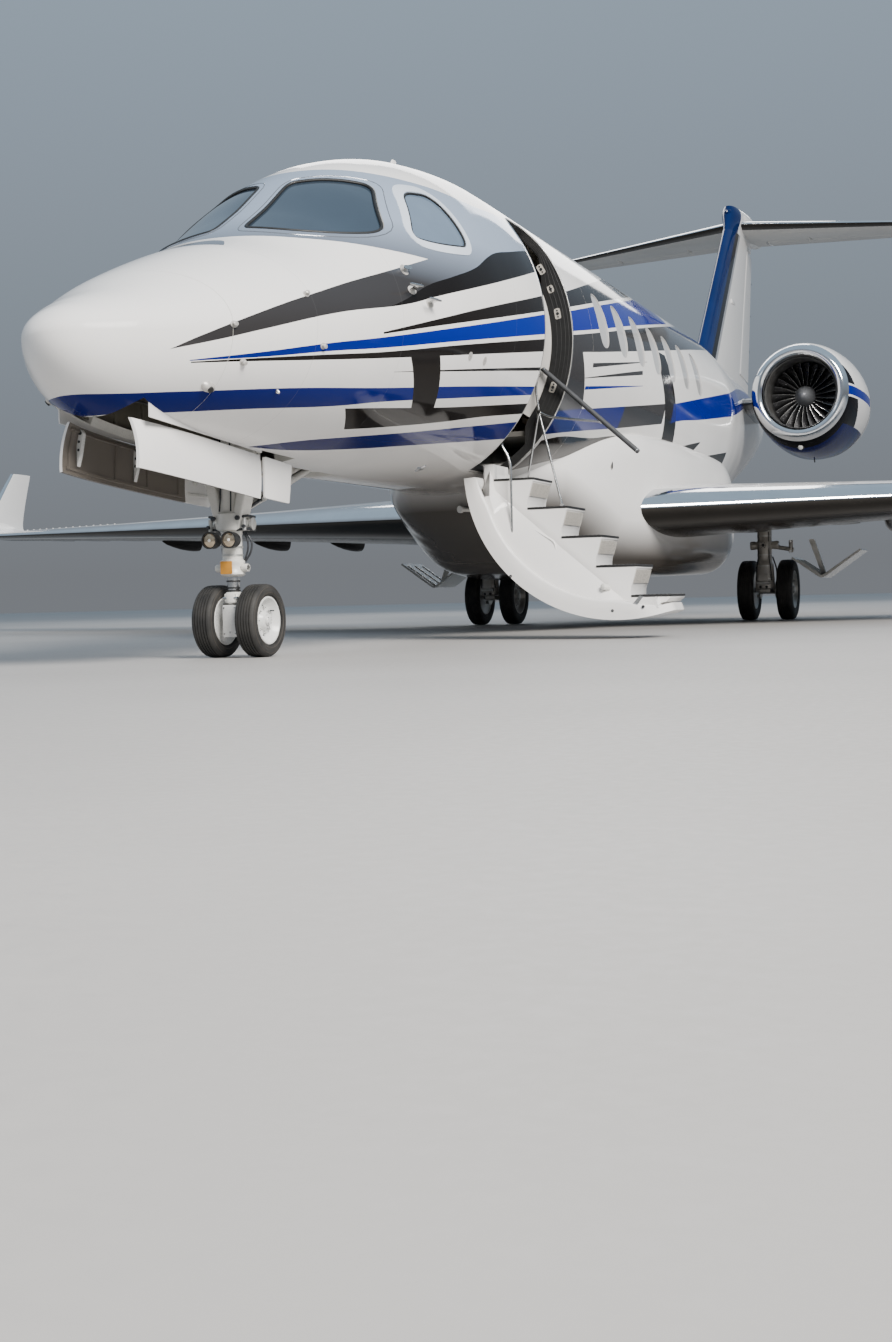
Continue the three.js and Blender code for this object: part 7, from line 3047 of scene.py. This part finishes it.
def nose_doors():
    """The nose bay's two doors, open at rest."""
    d = NOSE_DOOR
    a, b = P(d["hinge"], d["front"], d["front_z"]), P(d["hinge"], d["rear"], d["rear_z"])
    turn = Matrix.Translation(a) @ Matrix.Rotation(
        math.radians(d["open"]), 4, (a - b).normalized()
    ) @ Matrix.Translation(-a)
    door = Build()
    rings = []
    low, high = 0.004, d["hinge"] - 0.012
    across = np.linspace(low, high, 15)
    for s in np.linspace(d["front"], d["rear"], 41):
        outer = [P(x, s, belly_height(s, x)) for x in across]
        inner = [P(x, s, belly_height(s, x) + d["thick"]) for x in across[::-1]]
        rings.append(outer + inner)
    start = len(door.faces)
    door.loft(rings, 0)
    n = len(rings[0])
    for i in range(len(rings) - 1):
        for j in range(len(across) - 1, n):
            door.materials[start + i * n + j] = 1
    # Inner frame: a raised border, cross ribs and two hinge arms with lightening holes
    for s0 in (0.53, 1.02, 1.36, 1.70):
        rib = []
        for x in np.linspace(0.03, 0.25, 9):
            z = belly_height(s0, x) + d["thick"]
            rib.append(
                [
                    P(x, s0 - 0.012, z - 0.002), P(x, s0 + 0.012, z - 0.002), P(x, s0 + 0.009, z + 0.010),
                    P(x, s0 - 0.009, z + 0.010),
                ]
            )
        door.loft(rib, 1)
    for x in (0.035, 0.245):
        rail = []
        for s in np.linspace(0.50, 1.74, 22):
            z = belly_height(s, x) + d["thick"]
            rail.append(
                [
                    P(x - 0.010, s, z - 0.002), P(x + 0.010, s, z - 0.002), P(x + 0.007, s, z + 0.010),
                    P(x - 0.007, s, z + 0.010),
                ]
            )
        door.loft(rail, 1)
    for s0 in (0.62, 1.22):
        z = belly_height(s0, 0.15) + d["thick"]
        shape = rounded(
            [
                (0.050, z - 0.002), (0.236, z + 0.012), (0.262, z + 0.040), (0.235, z + 0.058),
                (0.120, z + 0.026),
            ],
            0.012,
            4,
        )
        door.prism(shape, front_view, s0 - 0.014, s0 + 0.014, 2, 0.002)
        for u, v in ((0.235, 0.036), (0.190, 0.026), (0.145, 0.018)):
            door.revolve(
                [(-0.0150, 0.0001), (-0.0150, 0.008), (0.0150, 0.008), (0.0150, 0.0001)],
                P(u, s0, z + v),
                (0, 1, 0),
                14,
                3,
            )
        door.tube([P(0.236, s0 - 0.02, z + 0.040), P(0.236, s0 + 0.02, z + 0.040)], 0.011, 14, 3)
    mirror = Matrix.Scale(-1, 4, (1, 0, 0))
    for name, one, move in (("port", door, turn), ("starboard", flipped(door), mirror @ turn @ mirror)):
        made = one.make(f"nose_gear_door_{name}", [white_paint, door_inside, hub_paint, dark_metal], 35, move)
        carry(made, f"nose_gear_door_{name}", f"nose_gear_door_{name}")


door_inside = finish(
    "door inner enamel", rgb(0.15, 0.132, 0.114), 0.32, grain=1.5, shift=0.08, uneven=0.1, bump=0.004
)
nose_doors()


def nose_bay():
    """Lining of the bay over the nose gear: walls, roof with frames, pipes."""
    bay = Build()
    d = NOSE_DOOR
    rows = [(s, float(hull_sizes(s)[1]) + 0.10) for s in (0.50, 0.80, 1.2, 1.7, 2.18)]
    for side in (1, -1):
        outline = [(s, z) for s, z in rows] + [(2.18, 1.600), (0.62, 1.600)]
        x0, x1 = sorted((side * 0.292, side * 0.300))
        bay.prism(outline, side_view, x0, x1, 0)
        for s in (0.75, 1.05, 1.35, 1.65, 1.95):
            low = float(np.interp(s, [r[0] for r in rows], [r[1] for r in rows]))
            a0, a1 = sorted((side * 0.278, side * 0.2925))
            bay.box((a0, Y(s) - 0.012, low), (a1, Y(s) + 0.012, 1.600), 0, 0.002)
    bay.box((-0.300, Y(0.62), 1.600), (0.300, Y(2.18), 1.608), 0)
    # Fixed strips above each door's hinge line, in the colour of the skin beside them
    for side in (1, -1):
        strip = []
        for s in np.linspace(0.50, 1.76, 22):
            hinge = float(np.interp(s, [d["front"], d["rear"]], [d["front_z"], d["rear_z"]]))
            top = belly_height(s, 0.291) + 0.014
            low = min(hinge + 0.002, top - 0.004)
            strip.append(
                [P(side * x, s, z) for x, z in ((0.283, low), (0.2895, low), (0.2905, top), (0.284, top))]
            )
        bay.loft(strip, 2)
    for s in (0.9, 1.2, 1.5):
        bay.box((-0.29, Y(s) - 0.012, 1.575), (0.29, Y(s) + 0.012, 1.601), 0, 0.002)
    for x, z in ((0.22, 1.545), (-0.20, 1.55), (0.16, 1.56)):
        bay.tube([P(x, 0.75, z), P(x * 1.05, 1.4, z - 0.02), P(x, 2.10, z)], 0.008, 10, 1)
    carry(bay.make("nose_bay_lining", [bay_green, dark_metal, white_paint], 35))


bay_green = finish("bay primer", rgb(0.16, 0.15, 0.12), 0.4, grain=5, shift=0.12, bump=0.05)
nose_bay()


# Main gear
def main_gear():
    """The main gear's legs and the doors that they carry."""
    s, x, r = 11.440, 1.665, 0.343
    f = s - 0.230
    at = lambda dx, z, ds=0.0: P(x + dx, f + ds, z)
    leg = Build()
    leg.revolve(
        [
            (z - 0.7, q)
            for z, q in (
                (0.350, 0.088), (0.362, 0.106), (0.380, 0.110), (0.430, 0.109), (0.520, 0.103),
                (0.600, 0.098), (0.640, 0.096), (0.655, 0.084), (0.700, 0.081), (0.790, 0.081),
                (0.806, 0.088), (0.820, 0.091), (0.880, 0.091), (0.894, 0.088), (0.905, 0.081), (1.0, 0.081),
                (1.079, 0.081),
            )
        ],
        at(0, 0.7),
        (0, 0, 1),
        48,
        0,
    )
    for z, q in ((0.47, 0.108), (0.618, 0.0985), (0.742, 0.0845), (0.955, 0.0845)):
        leg.revolve(
            [(-0.006, q - 0.010), (-0.006, q), (0.006, q), (0.006, q - 0.010)],
            at(0, z),
            (0, 0, 1),
            48,
            1,
            closed=True,
        )
    leg.tube([at(-0.158, 0.850), at(0.158, 0.850)], 0.044, 28, 0)
    for side in (1, -1):
        flange(leg, at(side * 0.105, 0.850), (side, 0, 0), 0.048, 0.052, 0, 8, 0.005)
        leg.revolve(
            [(0, 0.0001), (0, 0.026), (0.008, 0.026), (0.010, 0.0001)], at(side * 0.150, 0.850), (side, 0, 0),
            20, 3,
        )
    # Front: torque-link lug, pivot and lower casting
    leg.prism(
        rounded([(-0.060, 0.400), (0.060, 0.400), (0.052, 0.520), (-0.052, 0.520)], 0.02, 4),
        lambda a, b, t: P(x + a, f + t, b),
        -0.118,
        -0.070,
        0,
        0.006,
    )
    leg.revolve(
        [(-0.075, 0.0001), (-0.075, 0.022), (0.075, 0.022), (0.075, 0.0001)], at(0, 0.425, -0.104), (1, 0, 0),
        20, 1,
    )
    # Trailing link to the axle
    outline = rounded(
        [
            (f - 0.020, 0.306), (s + 0.030, 0.300), (s + 0.055, 0.330), (s + 0.055, 0.372),
            (s + 0.020, 0.398), (f + 0.05, 0.392), (f - 0.020, 0.398),
        ],
        0.022,
        5,
    )
    leg.prism(outline, side_view, x - 0.060, x + 0.060, 0, 0.010)
    leg.tube([P(x - 0.095, s, r), P(x + 0.095, s, r)], 0.047, 32, 0)
    for side in (1, -1):
        leg.revolve(
            [(0.086, 0.050), (0.086, 0.1), (0.096, 0.1), (0.096, 0.050)],
            P(x, s, r),
            (side, 0, 0),
            40,
            1,
            closed=True,
        )
    # Shock absorber between the leg's rear and the link
    a, b = at(0, 0.900, 0.060), P(x, s + 0.020, 0.400)
    along = (b - a).normalized()
    span = (b - a).length
    leg.revolve(
        [
            (0, 0.0001), (0, 0.028), (0.02, 0.038), (span * 0.58, 0.039), (span * 0.60, 0.034),
            (span * 0.60, 0.0001),
        ],
        a,
        along,
        32,
        0,
    )
    leg.revolve(
        [(span * 0.59, 0.0001), (span * 0.59, 0.022), (span * 0.95, 0.022), (span * 0.95, 0.0001)],
        a,
        along,
        28,
        3,
    )
    leg.revolve([(span * 0.92, 0.0001), (span * 0.92, 0.034), (span, 0.034), (span, 0.0001)], a, along, 28, 0)
    # Side brace to the door
    leg.tube([at(0.060, 0.840), at(0.330, 0.790, -0.030)], 0.024, 20, 0)
    leg.tube([at(0.300, 0.900, -0.030), at(0.300, 0.760, -0.030)], 0.024, 20, 0)
    for dx, z in ((0.30, 0.885), (0.30, 0.775)):
        leg.tube([at(dx, z, -0.060), at(dx, z, 0.0)], 0.014, 14, 3)
    # Brake units, lines and harness
    for side in (1, -1):
        for k in range(5):
            t = math.radians(60 + 60 * k)
            place = P(x + side * 0.098, s, r) + Vector((0, math.cos(t), math.sin(t))) * 0.078
            leg.revolve(
                [(0, 0.0001), (0, 0.019), (0.030, 0.019), (0.034, 0.0001)], place, (side, 0, 0), 16, 1
            )
        path = [
            at(side * 0.080, 0.72, 0.05), at(side * 0.120, 0.58, 0.09), at(side * 0.105, 0.46, 0.17),
            P(x + side * 0.088, s - 0.03, 0.42),
        ]
        leg.tube(arc_path(path, 0.06), 0.008, 10, 2)
        leg.tube(
            [
                at(side * 0.055, 1.0, -0.065), at(side * 0.060, 0.70, -0.064), at(side * 0.078, 0.60, -0.072),
                at(side * 0.086, 0.45, -0.078),
            ],
            0.0055,
            8,
            2,
        )
    flange(leg, at(0, 0.850, -0.078), (0, -1, 0), 0.040, 0.026, 0, 6, 0.005)
    leg.revolve(
        [(0, 0.0001), (0, 0.018), (0.010, 0.018), (0.012, 0.0001)], at(0, 0.850, -0.100), (0, -1, 0), 18, 2
    )
    for side in (1, -1):
        leg.revolve(
            [(0, 0.0001), (0, 0.016), (0.020, 0.014), (0.022, 0.0001)], at(side * 0.035, 0.375, -0.100),
            (0, -1, 0.3), 14, 2,
        )
    on_both_sides(
        "main_leg", leg, [main_leg_paint, alloy, black_rubber, steel], "root", ["main_gear_leg_SIDE"],
        40,
    )

    door = Build()
    front, rear = s - 0.420, s + 0.200
    outline = rounded(
        [
            (1.990, 0.690), (2.300, 0.470), (2.345, 0.465), (2.760, 0.760), (2.745, 0.778), (2.335, 0.492),
            (2.310, 0.496), (2.003, 0.706),
        ],
        [0.004, 0.05, 0.05, 0.004, 0.004, 0.05, 0.05, 0.004],
        4,
    )
    rings = []
    for t in np.linspace(0, 1, 14):
        rings.append([P(a, front + (rear - front) * t, b) for a, b in outline])
    door.loft(rings, 0)
    door.prism(
        rounded([(2.150, 0.905), (2.215, 0.905), (2.350, 0.490), (2.300, 0.480)], 0.02, 4),
        front_view,
        s - 0.180,
        s - 0.130,
        1,
        0.005,
    )
    for t in (0.12, 0.5, 0.88):
        station = front + (rear - front) * t
        rib = [
            (2.05, 0.668), (2.31, 0.490), (2.335, 0.488), (2.70, 0.742), (2.70, 0.756), (2.335, 0.504),
            (2.31, 0.508), (2.05, 0.684),
        ]
        door.prism(rib, front_view, station - 0.008, station + 0.008, 1, 0.001)
    on_both_sides(
        "main_door", door, [door_grey, gear_paint], "root", ["main_gear_door_SIDE"], 40
    )


main_leg_paint = finish(
    "main gear enamel", rgb(0.36, 0.34, 0.31), 0.34, metal=0.15, grain=9, shift=0.1, bump=0.05, coat=0.15
)
door_grey = finish("main door paint", rgb(0.50, 0.49, 0.46), 0.2, grain=3, shift=0.06, bump=0.01, coat=0.3)
main_gear()


# Inside the cabin: seats, floor and instrument panel
FLOOR_TOP = 1.690


def pillow(name, place, wide, long, thick, channels=0, pinch=0.012):
    """A crowned, closed cushion. place(a, b, c) takes a across, b along and c out of the cushion,
    all from its middle."""
    build = Build()
    rings = []
    rows = 30
    sides = 40
    for i in range(rows + 1):
        t = math.cos(math.pi * i / rows)
        end = max(0.0, 1 - abs(t) ** 5) ** 0.30
        groove = 1.0
        for k in range(channels):
            at = -0.62 + 1.24 * (k + 0.5) / channels
            groove -= 0.10 * math.exp(-((t - at) / 0.035) ** 2)
        ring = []
        for j in range(sides):
            a = 2 * math.pi * j / sides
            ca, sa = math.cos(a), math.sin(a)
            x = math.copysign(abs(ca) ** 0.42, ca)
            c = math.copysign(abs(sa) ** 0.62, sa)
            pull = 1 - pinch / wide * 2 * (1 - abs(t) ** 2) * abs(x) ** 3
            crown = 1 - 0.22 * abs(x) ** 2.4 - 0.12 * t * t
            ring.append(
                place(
                    x * wide / 2 * pull * (0.94 + 0.06 * end), t * long / 2,
                    c * thick / 2 * crown * end * (groove if c > 0 else 1),
                )
            )
        rings.append(ring)
    build.loft(rings, 0)
    # Piping sewn round the cushion's edge
    rim = []
    for k in range(56):
        a = 2 * math.pi * k / 56
        ca, sa = math.cos(a), math.sin(a)
        rim.append(
            place(
                math.copysign(abs(ca) ** 0.34, ca) * (wide / 2 - 0.006),
                math.copysign(abs(sa) ** 0.34, sa) * (long / 2 - 0.005), 0.004,
            )
        )
    build.tube(rim, 0.0042, 8, 1, closed=True)
    return build.make(name, [tan_leather, seat_piping], 50)


seat_piping = leather("dark leather piping", rgb(0.16, 0.12, 0.085))


def seat(name, x, station, wide):
    """One seat: base and shells, then its seat cushion, back cushion and head rest."""
    frame_part = Build()
    z = FLOOR_TOP + 0.004
    half = wide / 2
    frame_part.box(
        (x - half * 0.72, Y(station + 0.02), z), (x + half * 0.72, Y(station + 0.36), z + 0.195), 0, 0.02
    )
    pan = rounded(
        [
            (-0.070, 0.215), (0.440, 0.215), (0.560, 0.262), (0.752, 0.892), (0.722, 0.902), (0.520, 0.300),
            (0.430, 0.262), (-0.070, 0.262),
        ],
        0.022,
        5,
    )
    frame_part.prism(
        pan, lambda s, h, t: P(t, station + s, z + h), x - half + 0.004, x + half - 0.004, 0, 0.004
    )
    for side in (1, -1):
        a0, a1 = sorted((x + side * (half - 0.052), x + side * (half - 0.004)))
        arm = rounded([(0.02, 0.27), (0.42, 0.27), (0.47, 0.405), (0.40, 0.43), (0.0, 0.425)], 0.02, 5)
        frame_part.prism(arm, lambda s, h, t: P(t, station + s, z + h), a0, a1, 0, 0.008)
    inner = wide - 0.118
    cushion = pillow(
        f"{name}_cushion", lambda a, b, c: P(x + a, station + 0.184 + b, z + 0.347 + c), inner, 0.49, 0.150, 3
    )
    lean = math.atan2(0.170, 0.500)
    up = Vector((0, math.sin(lean), math.cos(lean)))
    out = Vector((0, -math.cos(lean), math.sin(lean)))
    middle = P(x, station + 0.588, z + 0.640)
    back = pillow(
        f"{name}_back", lambda a, b, c: middle + Vector((a, 0, 0)) + up * b + out * c, inner + 0.05, 0.440,
        0.092, 4,
    )
    head = middle + up * 0.232 + out * 0.012
    rest = pillow(
        f"{name}_head_rest", lambda a, b, c: head + Vector((a, 0, 0)) + up * b + out * c, inner * 0.62, 0.105,
        0.075,
    )
    for piece in (cushion, back, rest):
        carry(piece)
    return frame_part


seat_shell = finish("seat shell", rgb(0.30, 0.24, 0.18), 0.4, grain=5, shift=0.06, bump=0.02)


def add_to(build, other):
    """Adds one build's shapes to another."""
    start = len(build.vertices)
    build.vertices += other.vertices
    build.faces += [tuple(start + i for i in f) for f in other.faces]
    build.materials += other.materials


def seats():
    """Cabin seats, pilots' seats and the pedestal between these."""
    for name, hand in SIDES:
        frames = Build()
        for i, station in enumerate((6.90, 8.25, 9.60)):
            add_to(frames, seat(f"cabin_seat_{name}_{i + 1}", hand * 0.530, station, 0.540))
        frames.box(
            (hand * 0.530 - 0.055, Y(6.71), FLOOR_TOP + 0.002),
            (hand * 0.530 + 0.055, Y(10.89), FLOOR_TOP + 0.022), 1, 0.003,
        )
        carry(
            frames.make(f"cabin_seat_frames_{name}", [seat_shell, dark_metal], 40),
            stands_for=f"cabin_seats_{name}",
        )
    frames = Build()
    for name, hand in SIDES:
        add_to(frames, seat(f"pilot_seat_{name}", hand * 0.370, 3.08, 0.500))
    frames.box((-0.128, Y(2.955), FLOOR_TOP + 0.002), (0.128, Y(3.695), FLOOR_TOP + 0.300), 1, 0.012)
    for i in range(3):
        frames.box(
            (-0.105, Y(3.02 + i * 0.21), FLOOR_TOP + 0.299), (0.105, Y(3.20 + i * 0.21), FLOOR_TOP + 0.306),
            2, 0.002,
        )
        for x in (-0.06, 0.0, 0.06):
            frames.revolve(
                [(-0.002, 0.0001), (-0.002, 0.009), (0.016, 0.008), (0.018, 0.0001)],
                P(x, 3.11 + i * 0.21, FLOOR_TOP + 0.306), (0, 0, 1), 16, 1,
            )
    carry(
        frames.make("flight_deck_frames", [seat_shell, dark_plastic, screen_glass], 40),
        stands_for="flight_deck_seats",
    )


screen_glass = finish(
    "display glass", rgb(0.006, 0.010, 0.018), 0.09, grain=2, shift=0.10, bump=0.002, grain_bump=5
)
seats()


def half_width(s, z, inset):
    """How far out the hull's inner face is at a station and height."""
    return abs(float(hull_points(np.array([s]), np.array([float(side_angle(s, z, 1))]), inset)[0][0]))


def panel():
    """The instrument panel with its screens."""
    outline = rounded(
        [(2.412, 1.698), (2.752, 1.698), (2.712, 2.170), (2.634, 2.500), (2.480, 2.545), (2.430, 2.380)],
        0.03,
        5,
    )
    block = Build()
    rings = []
    for f in np.linspace(-1, 1, 15):
        ring = []
        for s, z in outline:
            wide = min(0.750, half_width(s, z, WALL + 0.03))
            ring.append(P(f * wide, s, z))
        rings.append(ring)
    block.loft(rings, 0)
    for x in (-0.36, 0.0, 0.36):
        low = P(x, 2.7165, 2.165)
        high = P(x, 2.642, 2.470)
        along = (high - low).normalized()
        out = Vector((0, along.z, -along.y))
        corners = [(-0.155, 0.035), (0.155, 0.035), (0.155, 0.255), (-0.155, 0.255)]
        for grow, lift, thick, material in ((0.012, 0.0, 0.010, 1), (0.0, 0.010, 0.0015, 2)):
            shape = rounded(
                [(a + math.copysign(grow, a), b + (grow if b > 0.1 else -grow)) for a, b in corners], 0.01, 4
            )
            block.prism(
                shape, lambda a, b, t: low + Vector((a, 0, 0)) + along * b + out * (lift + t), 0, thick,
                material,
            )
    carry(
        block.make("instrument_panel_face", [dark_plastic, dark_metal, screen_glass], 40),
        stands_for="instrument_panel",
    )


def cabin_deck():
    """The cabin floor: a carpeted deck that follows the hull, cut away over the stair."""
    deck = Build()
    rows = list(np.arange(2.43, 11.83, 0.12))
    low, high = 1.648, 1.688
    runs = [
        [s for s in rows if s < STAIR_CUT[0]] + [STAIR_CUT[0]], [STAIR_CUT[0] + 0.001, STAIR_CUT[1] - 0.001],
        [STAIR_CUT[1]] + [s for s in rows if s > STAIR_CUT[1]],
    ]
    rings = []
    for i, run in enumerate(runs):
        for s in run:
            top = min(0.828, half_width(s, high, WALL + 0.016))
            under = min(0.828, half_width(s, low, WALL + 0.016))
            port = 0.176 if i == 1 else None
            rings.append(
                [P(-under, s, low), P(port or under, s, low), P(port or top, s, high), P(-top, s, high)]
            )
    deck.loft(rings, 0)
    carry(deck.make("cabin_deck", [carpet], 30), stands_for="cabin_floor")


STAIR_CUT = (4.652, 5.448)
panel()
cabin_deck()


# Small fittings on the outer skin
def on_skin(s, z, hand):
    """A point of the outer skin at a station and height, with the way out of it."""
    a = np.array([float(side_angle(s, z, hand))])
    point = Vector(hull_points(np.array([s]), a)[0])
    out = Vector(hull_normals(np.array([s]), a)[0])
    return point, out.normalized()


def fitting(build, s, z, hand, section, material=0, squash=1.0):
    """A stud on the skin: (height, length along the hull) pairs, narrowed across by squash."""
    point, out = on_skin(s, z, hand)
    back = (Vector((0, 1, 0)) - out * out.y).normalized()
    side = out.cross(back)
    rings = []
    for height, size in section:
        rings.append(
            [
                point + out * height + (back * math.cos(t) + side * math.sin(t) * squash) * max(size, 0.0002)
                for t in circle(20)
            ]
        )
    build.loft(rings, material)


def probe(build, s, z, hand, height, length):
    """A pitot probe: a swept mast on a round base, with a tube facing forward."""
    fitting(build, s, z, hand, [(-0.002, 0.048), (0.002, 0.048), (0.004, 0.044)], 1, 0.6)
    point, out = on_skin(s, z, hand)
    back = (Vector((0, 1, 0)) - out * out.y).normalized()
    side = out.cross(back)
    rings = []
    for f, chord in ((0, 0.034), (0.5, 0.028), (1, 0.020)):
        centre = point + out * height * f - back * 0.03 * f
        rings.append(
            [centre + back * math.cos(t) * chord + side * math.sin(t) * chord * 0.22 for t in circle(16)]
        )
    build.loft(rings, 0)
    tip = point + out * height - back * 0.03
    build.tube(
        [tip + back * 0.045, tip, tip - back * length * 0.8, tip - back * length],
        0.008,
        14,
        0,
        radii=[0.006, 0.009, 0.008, 0.0035],
    )


PROBES = [(2.484, 2.294), (2.683, 2.241)]
STUDS = [(1.386, 2.102), (0.795, 1.854), (1.482, 1.815), (0.889, 1.662)]


def fittings():
    """Small fittings on the nose, the belly and the crown."""
    small = Build()
    for _, hand in SIDES:
        for s, z in PROBES:
            probe(small, s, z, hand, 0.075, 0.105)
        for s, z in STUDS:
            fitting(
                small,
                s,
                z,
                hand,
                [(-0.002, 0.024), (0.003, 0.024), (0.004, 0.017), (0.022, 0.016), (0.025, 0.012)],
                1,
                0.8,
            )
        # Angle vane, static plate, half-round cover and cross-shaped fitting
        fitting(small, 2.468, 2.421, hand, [(-0.002, 0.038), (0.004, 0.038), (0.006, 0.030)], 1)
        fitting(
            small,
            2.468,
            2.421,
            hand,
            [(0.004, 0.014), (0.030, 0.012), (0.032, 0.046), (0.036, 0.046), (0.038, 0.010)],
            0,
            0.35,
        )
        fitting(
            small,
            0.748,
            1.520,
            hand,
            [(-0.002, 0.052), (0.003, 0.050), (0.016, 0.040), (0.026, 0.024), (0.030, 0.006)],
            1,
            0.62,
        )
        fitting(small, 0.748, 1.520, hand, [(0.010, 0.020), (0.034, 0.017), (0.035, 0.010)], 2)
        fitting(small, 1.247, 1.543, hand, [(-0.002, 0.013), (0.010, 0.012), (0.020, 0.007)], 0)
        for squash, sizes in ((0.25, (0.052, 0.050, 0.046)), (4.0, (0.012, 0.011, 0.009))):
            fitting(small, 3.865, 1.294, hand, list(zip((-0.002, 0.010, 0.013), sizes)), 0, squash)
        for s in (3.30, 3.55):
            fitting(small, s, 1.98, hand, [(-0.001, 0.030), (0.0015, 0.030), (0.0018, 0.026)], 1)
            fitting(small, s, 1.98, hand, [(0.0015, 0.004), (0.0022, 0.003)], 2)
    # Small dark inlet on the port side of the belly fairing
    out, up = Vector((0.98, -0.19, 0)).normalized(), Vector((0.0, 0.45, 0.9)).normalized()
    side = out.cross(up)
    for rim, high, material in ((1.0, 0.004, 1), (0.84, 0.0055, 2)):
        rings = []
        for height, size in ((-0.012, 1.0), (high, 1.0), (high + 0.0005, 0.96)):
            centre = P(1.043, 7.015, 1.501) + out * height
            rings.append(
                [
                    centre + (
                        up * math.cos(t) * 0.040 + side * math.sin(t) * (0.019 - 0.008 * math.cos(t))
                    ) * rim * size
                    for t in circle(28)
                ]
            )
        small.loft(rings, material)
    # Nozzle at the front of the belly fairing
    small.revolve(
        [(0.0, 0.0001), (0.0, 0.020), (0.22, 0.020), (0.225, 0.031), (0.250, 0.031), (0.255, 0.0001)],
        P(0.20, 5.84, 1.085),
        (-0.45, -1.0, 0.0),
        20,
        1,
    )
    carry(small.make("skin_probes", [steel, fitting_grey, black_rubber], 40))
    # Aerials on the crown
    crown = Build()
    for s, tall, chord in ((4.55, 0.145, 0.16), (7.9, 0.165, 0.19), (10.6, 0.10, 0.14)):
        top = float(hull_sizes(s)[0])
        rings = []
        for f in (-0.08, 0.0, 0.35, 0.7, 0.93, 1.0):
            c = chord * (1 - 0.48 * max(f, 0)) * (1.0 if f < 0.95 else 0.8)
            lean = chord * 0.42 * max(f, 0)
            rings.append(
                [
                    P(
                        math.sin(t) * 0.010 * (1 - 0.4 * max(f, 0)), s + lean + math.cos(t) * c / 2,
                        top + tall * f,
                    )
                    for t in circle(28)
                ]
            )
        crown.loft(rings, 0)
    carry(crown.make("crown_aerials", [white_paint], 40))


fitting_grey = finish("pale fitting", rgb(0.50, 0.48, 0.45), 0.4, metal=0.3, grain=14, shift=0.10, bump=0.02)
fittings()


# Stage: a pale floor, an even sky and large soft lights
def stage_floor():
    """A large matt floor just under the tyres."""
    s = Shading("pale floor")
    soft = s.noise(0.35, 4)
    fine = s.noise(30, 2)
    s.set(
        Base_Color=s.mix(s.spread(soft, 0, 1), rgb(0.36, 0.345, 0.33), rgb(0.41, 0.395, 0.38)),
        Roughness=s.spread(fine, 0.5, 0.7),
    )
    n = 24
    span = 150.0
    below_tyres = -0.001
    rows = [
        [(span * (i / n - 0.5), span * (j / n - 0.5), below_tyres) for i in range(n + 1)]
        for j in range(n + 1)
    ]
    vertices = [p for row in rows for p in row]
    faces = [
        (j * (n + 1) + i, j * (n + 1) + i + 1, (j + 1) * (n + 1) + i + 1, (j + 1) * (n + 1) + i)
        for j in range(n)
        for i in range(n)
    ]
    floor = new_object("stage_floor", vertices, faces, s.material)


def soft_light(name, place, aim, size, power, colour=(1, 1, 1)):
    """A rectangular area light, turned to a point."""
    data = bpy.data.lights.new(name, "AREA")
    data.shape = "RECTANGLE"
    data.size, data.size_y = size
    data.energy = power
    data.color = colour
    lamp = bpy.data.objects.new(name, data)
    bpy.context.scene.collection.objects.link(lamp)
    lamp.location = place
    lamp.rotation_euler = (Vector(aim) - Vector(place)).to_track_quat("-Z", "Y").to_euler()


def studio():
    """An even sky and three soft lights."""
    world = bpy.data.worlds.new("studio")
    bpy.context.scene.world = world
    world.use_nodes = True
    tree = world.node_tree
    sky = tree.nodes["Background"]
    place = tree.nodes.new("ShaderNodeTexCoord")
    axes = tree.nodes.new("ShaderNodeSeparateXYZ")
    tree.links.new(place.outputs["Generated"], axes.inputs[0])
    ramp = tree.nodes.new("ShaderNodeValToRGB")
    tree.links.new(axes.outputs["Z"], ramp.inputs[0])
    low, high = ramp.color_ramp.elements
    low.position, low.color = 0.02, (0.30, 0.32, 0.35, 1)
    high.position, high.color = 0.55, (0.62, 0.80, 1.0, 1)
    tree.links.new(ramp.outputs[0], sky.inputs["Color"])
    sky.inputs["Strength"].default_value = 0.62
    soft_light("key", (17, -19, 16), (0, -3, 2), (12, 9), 14500, (1.0, 0.96, 0.91))
    soft_light("fill", (-16, -14, 9), (0, -4, 2), (12, 8), 700, (0.93, 0.96, 1.0))
    soft_light("rim", (-6, 18, 14), (0, 2, 3), (14, 8), 1500, (1.0, 0.98, 0.95))


stage_floor()
studio()

# Finer pieces stand for all the frame's solids, whose own finish is plain white
for node in frame["nodes"].values():
    node.data.materials.clear()
    node.data.materials.append(white_paint)
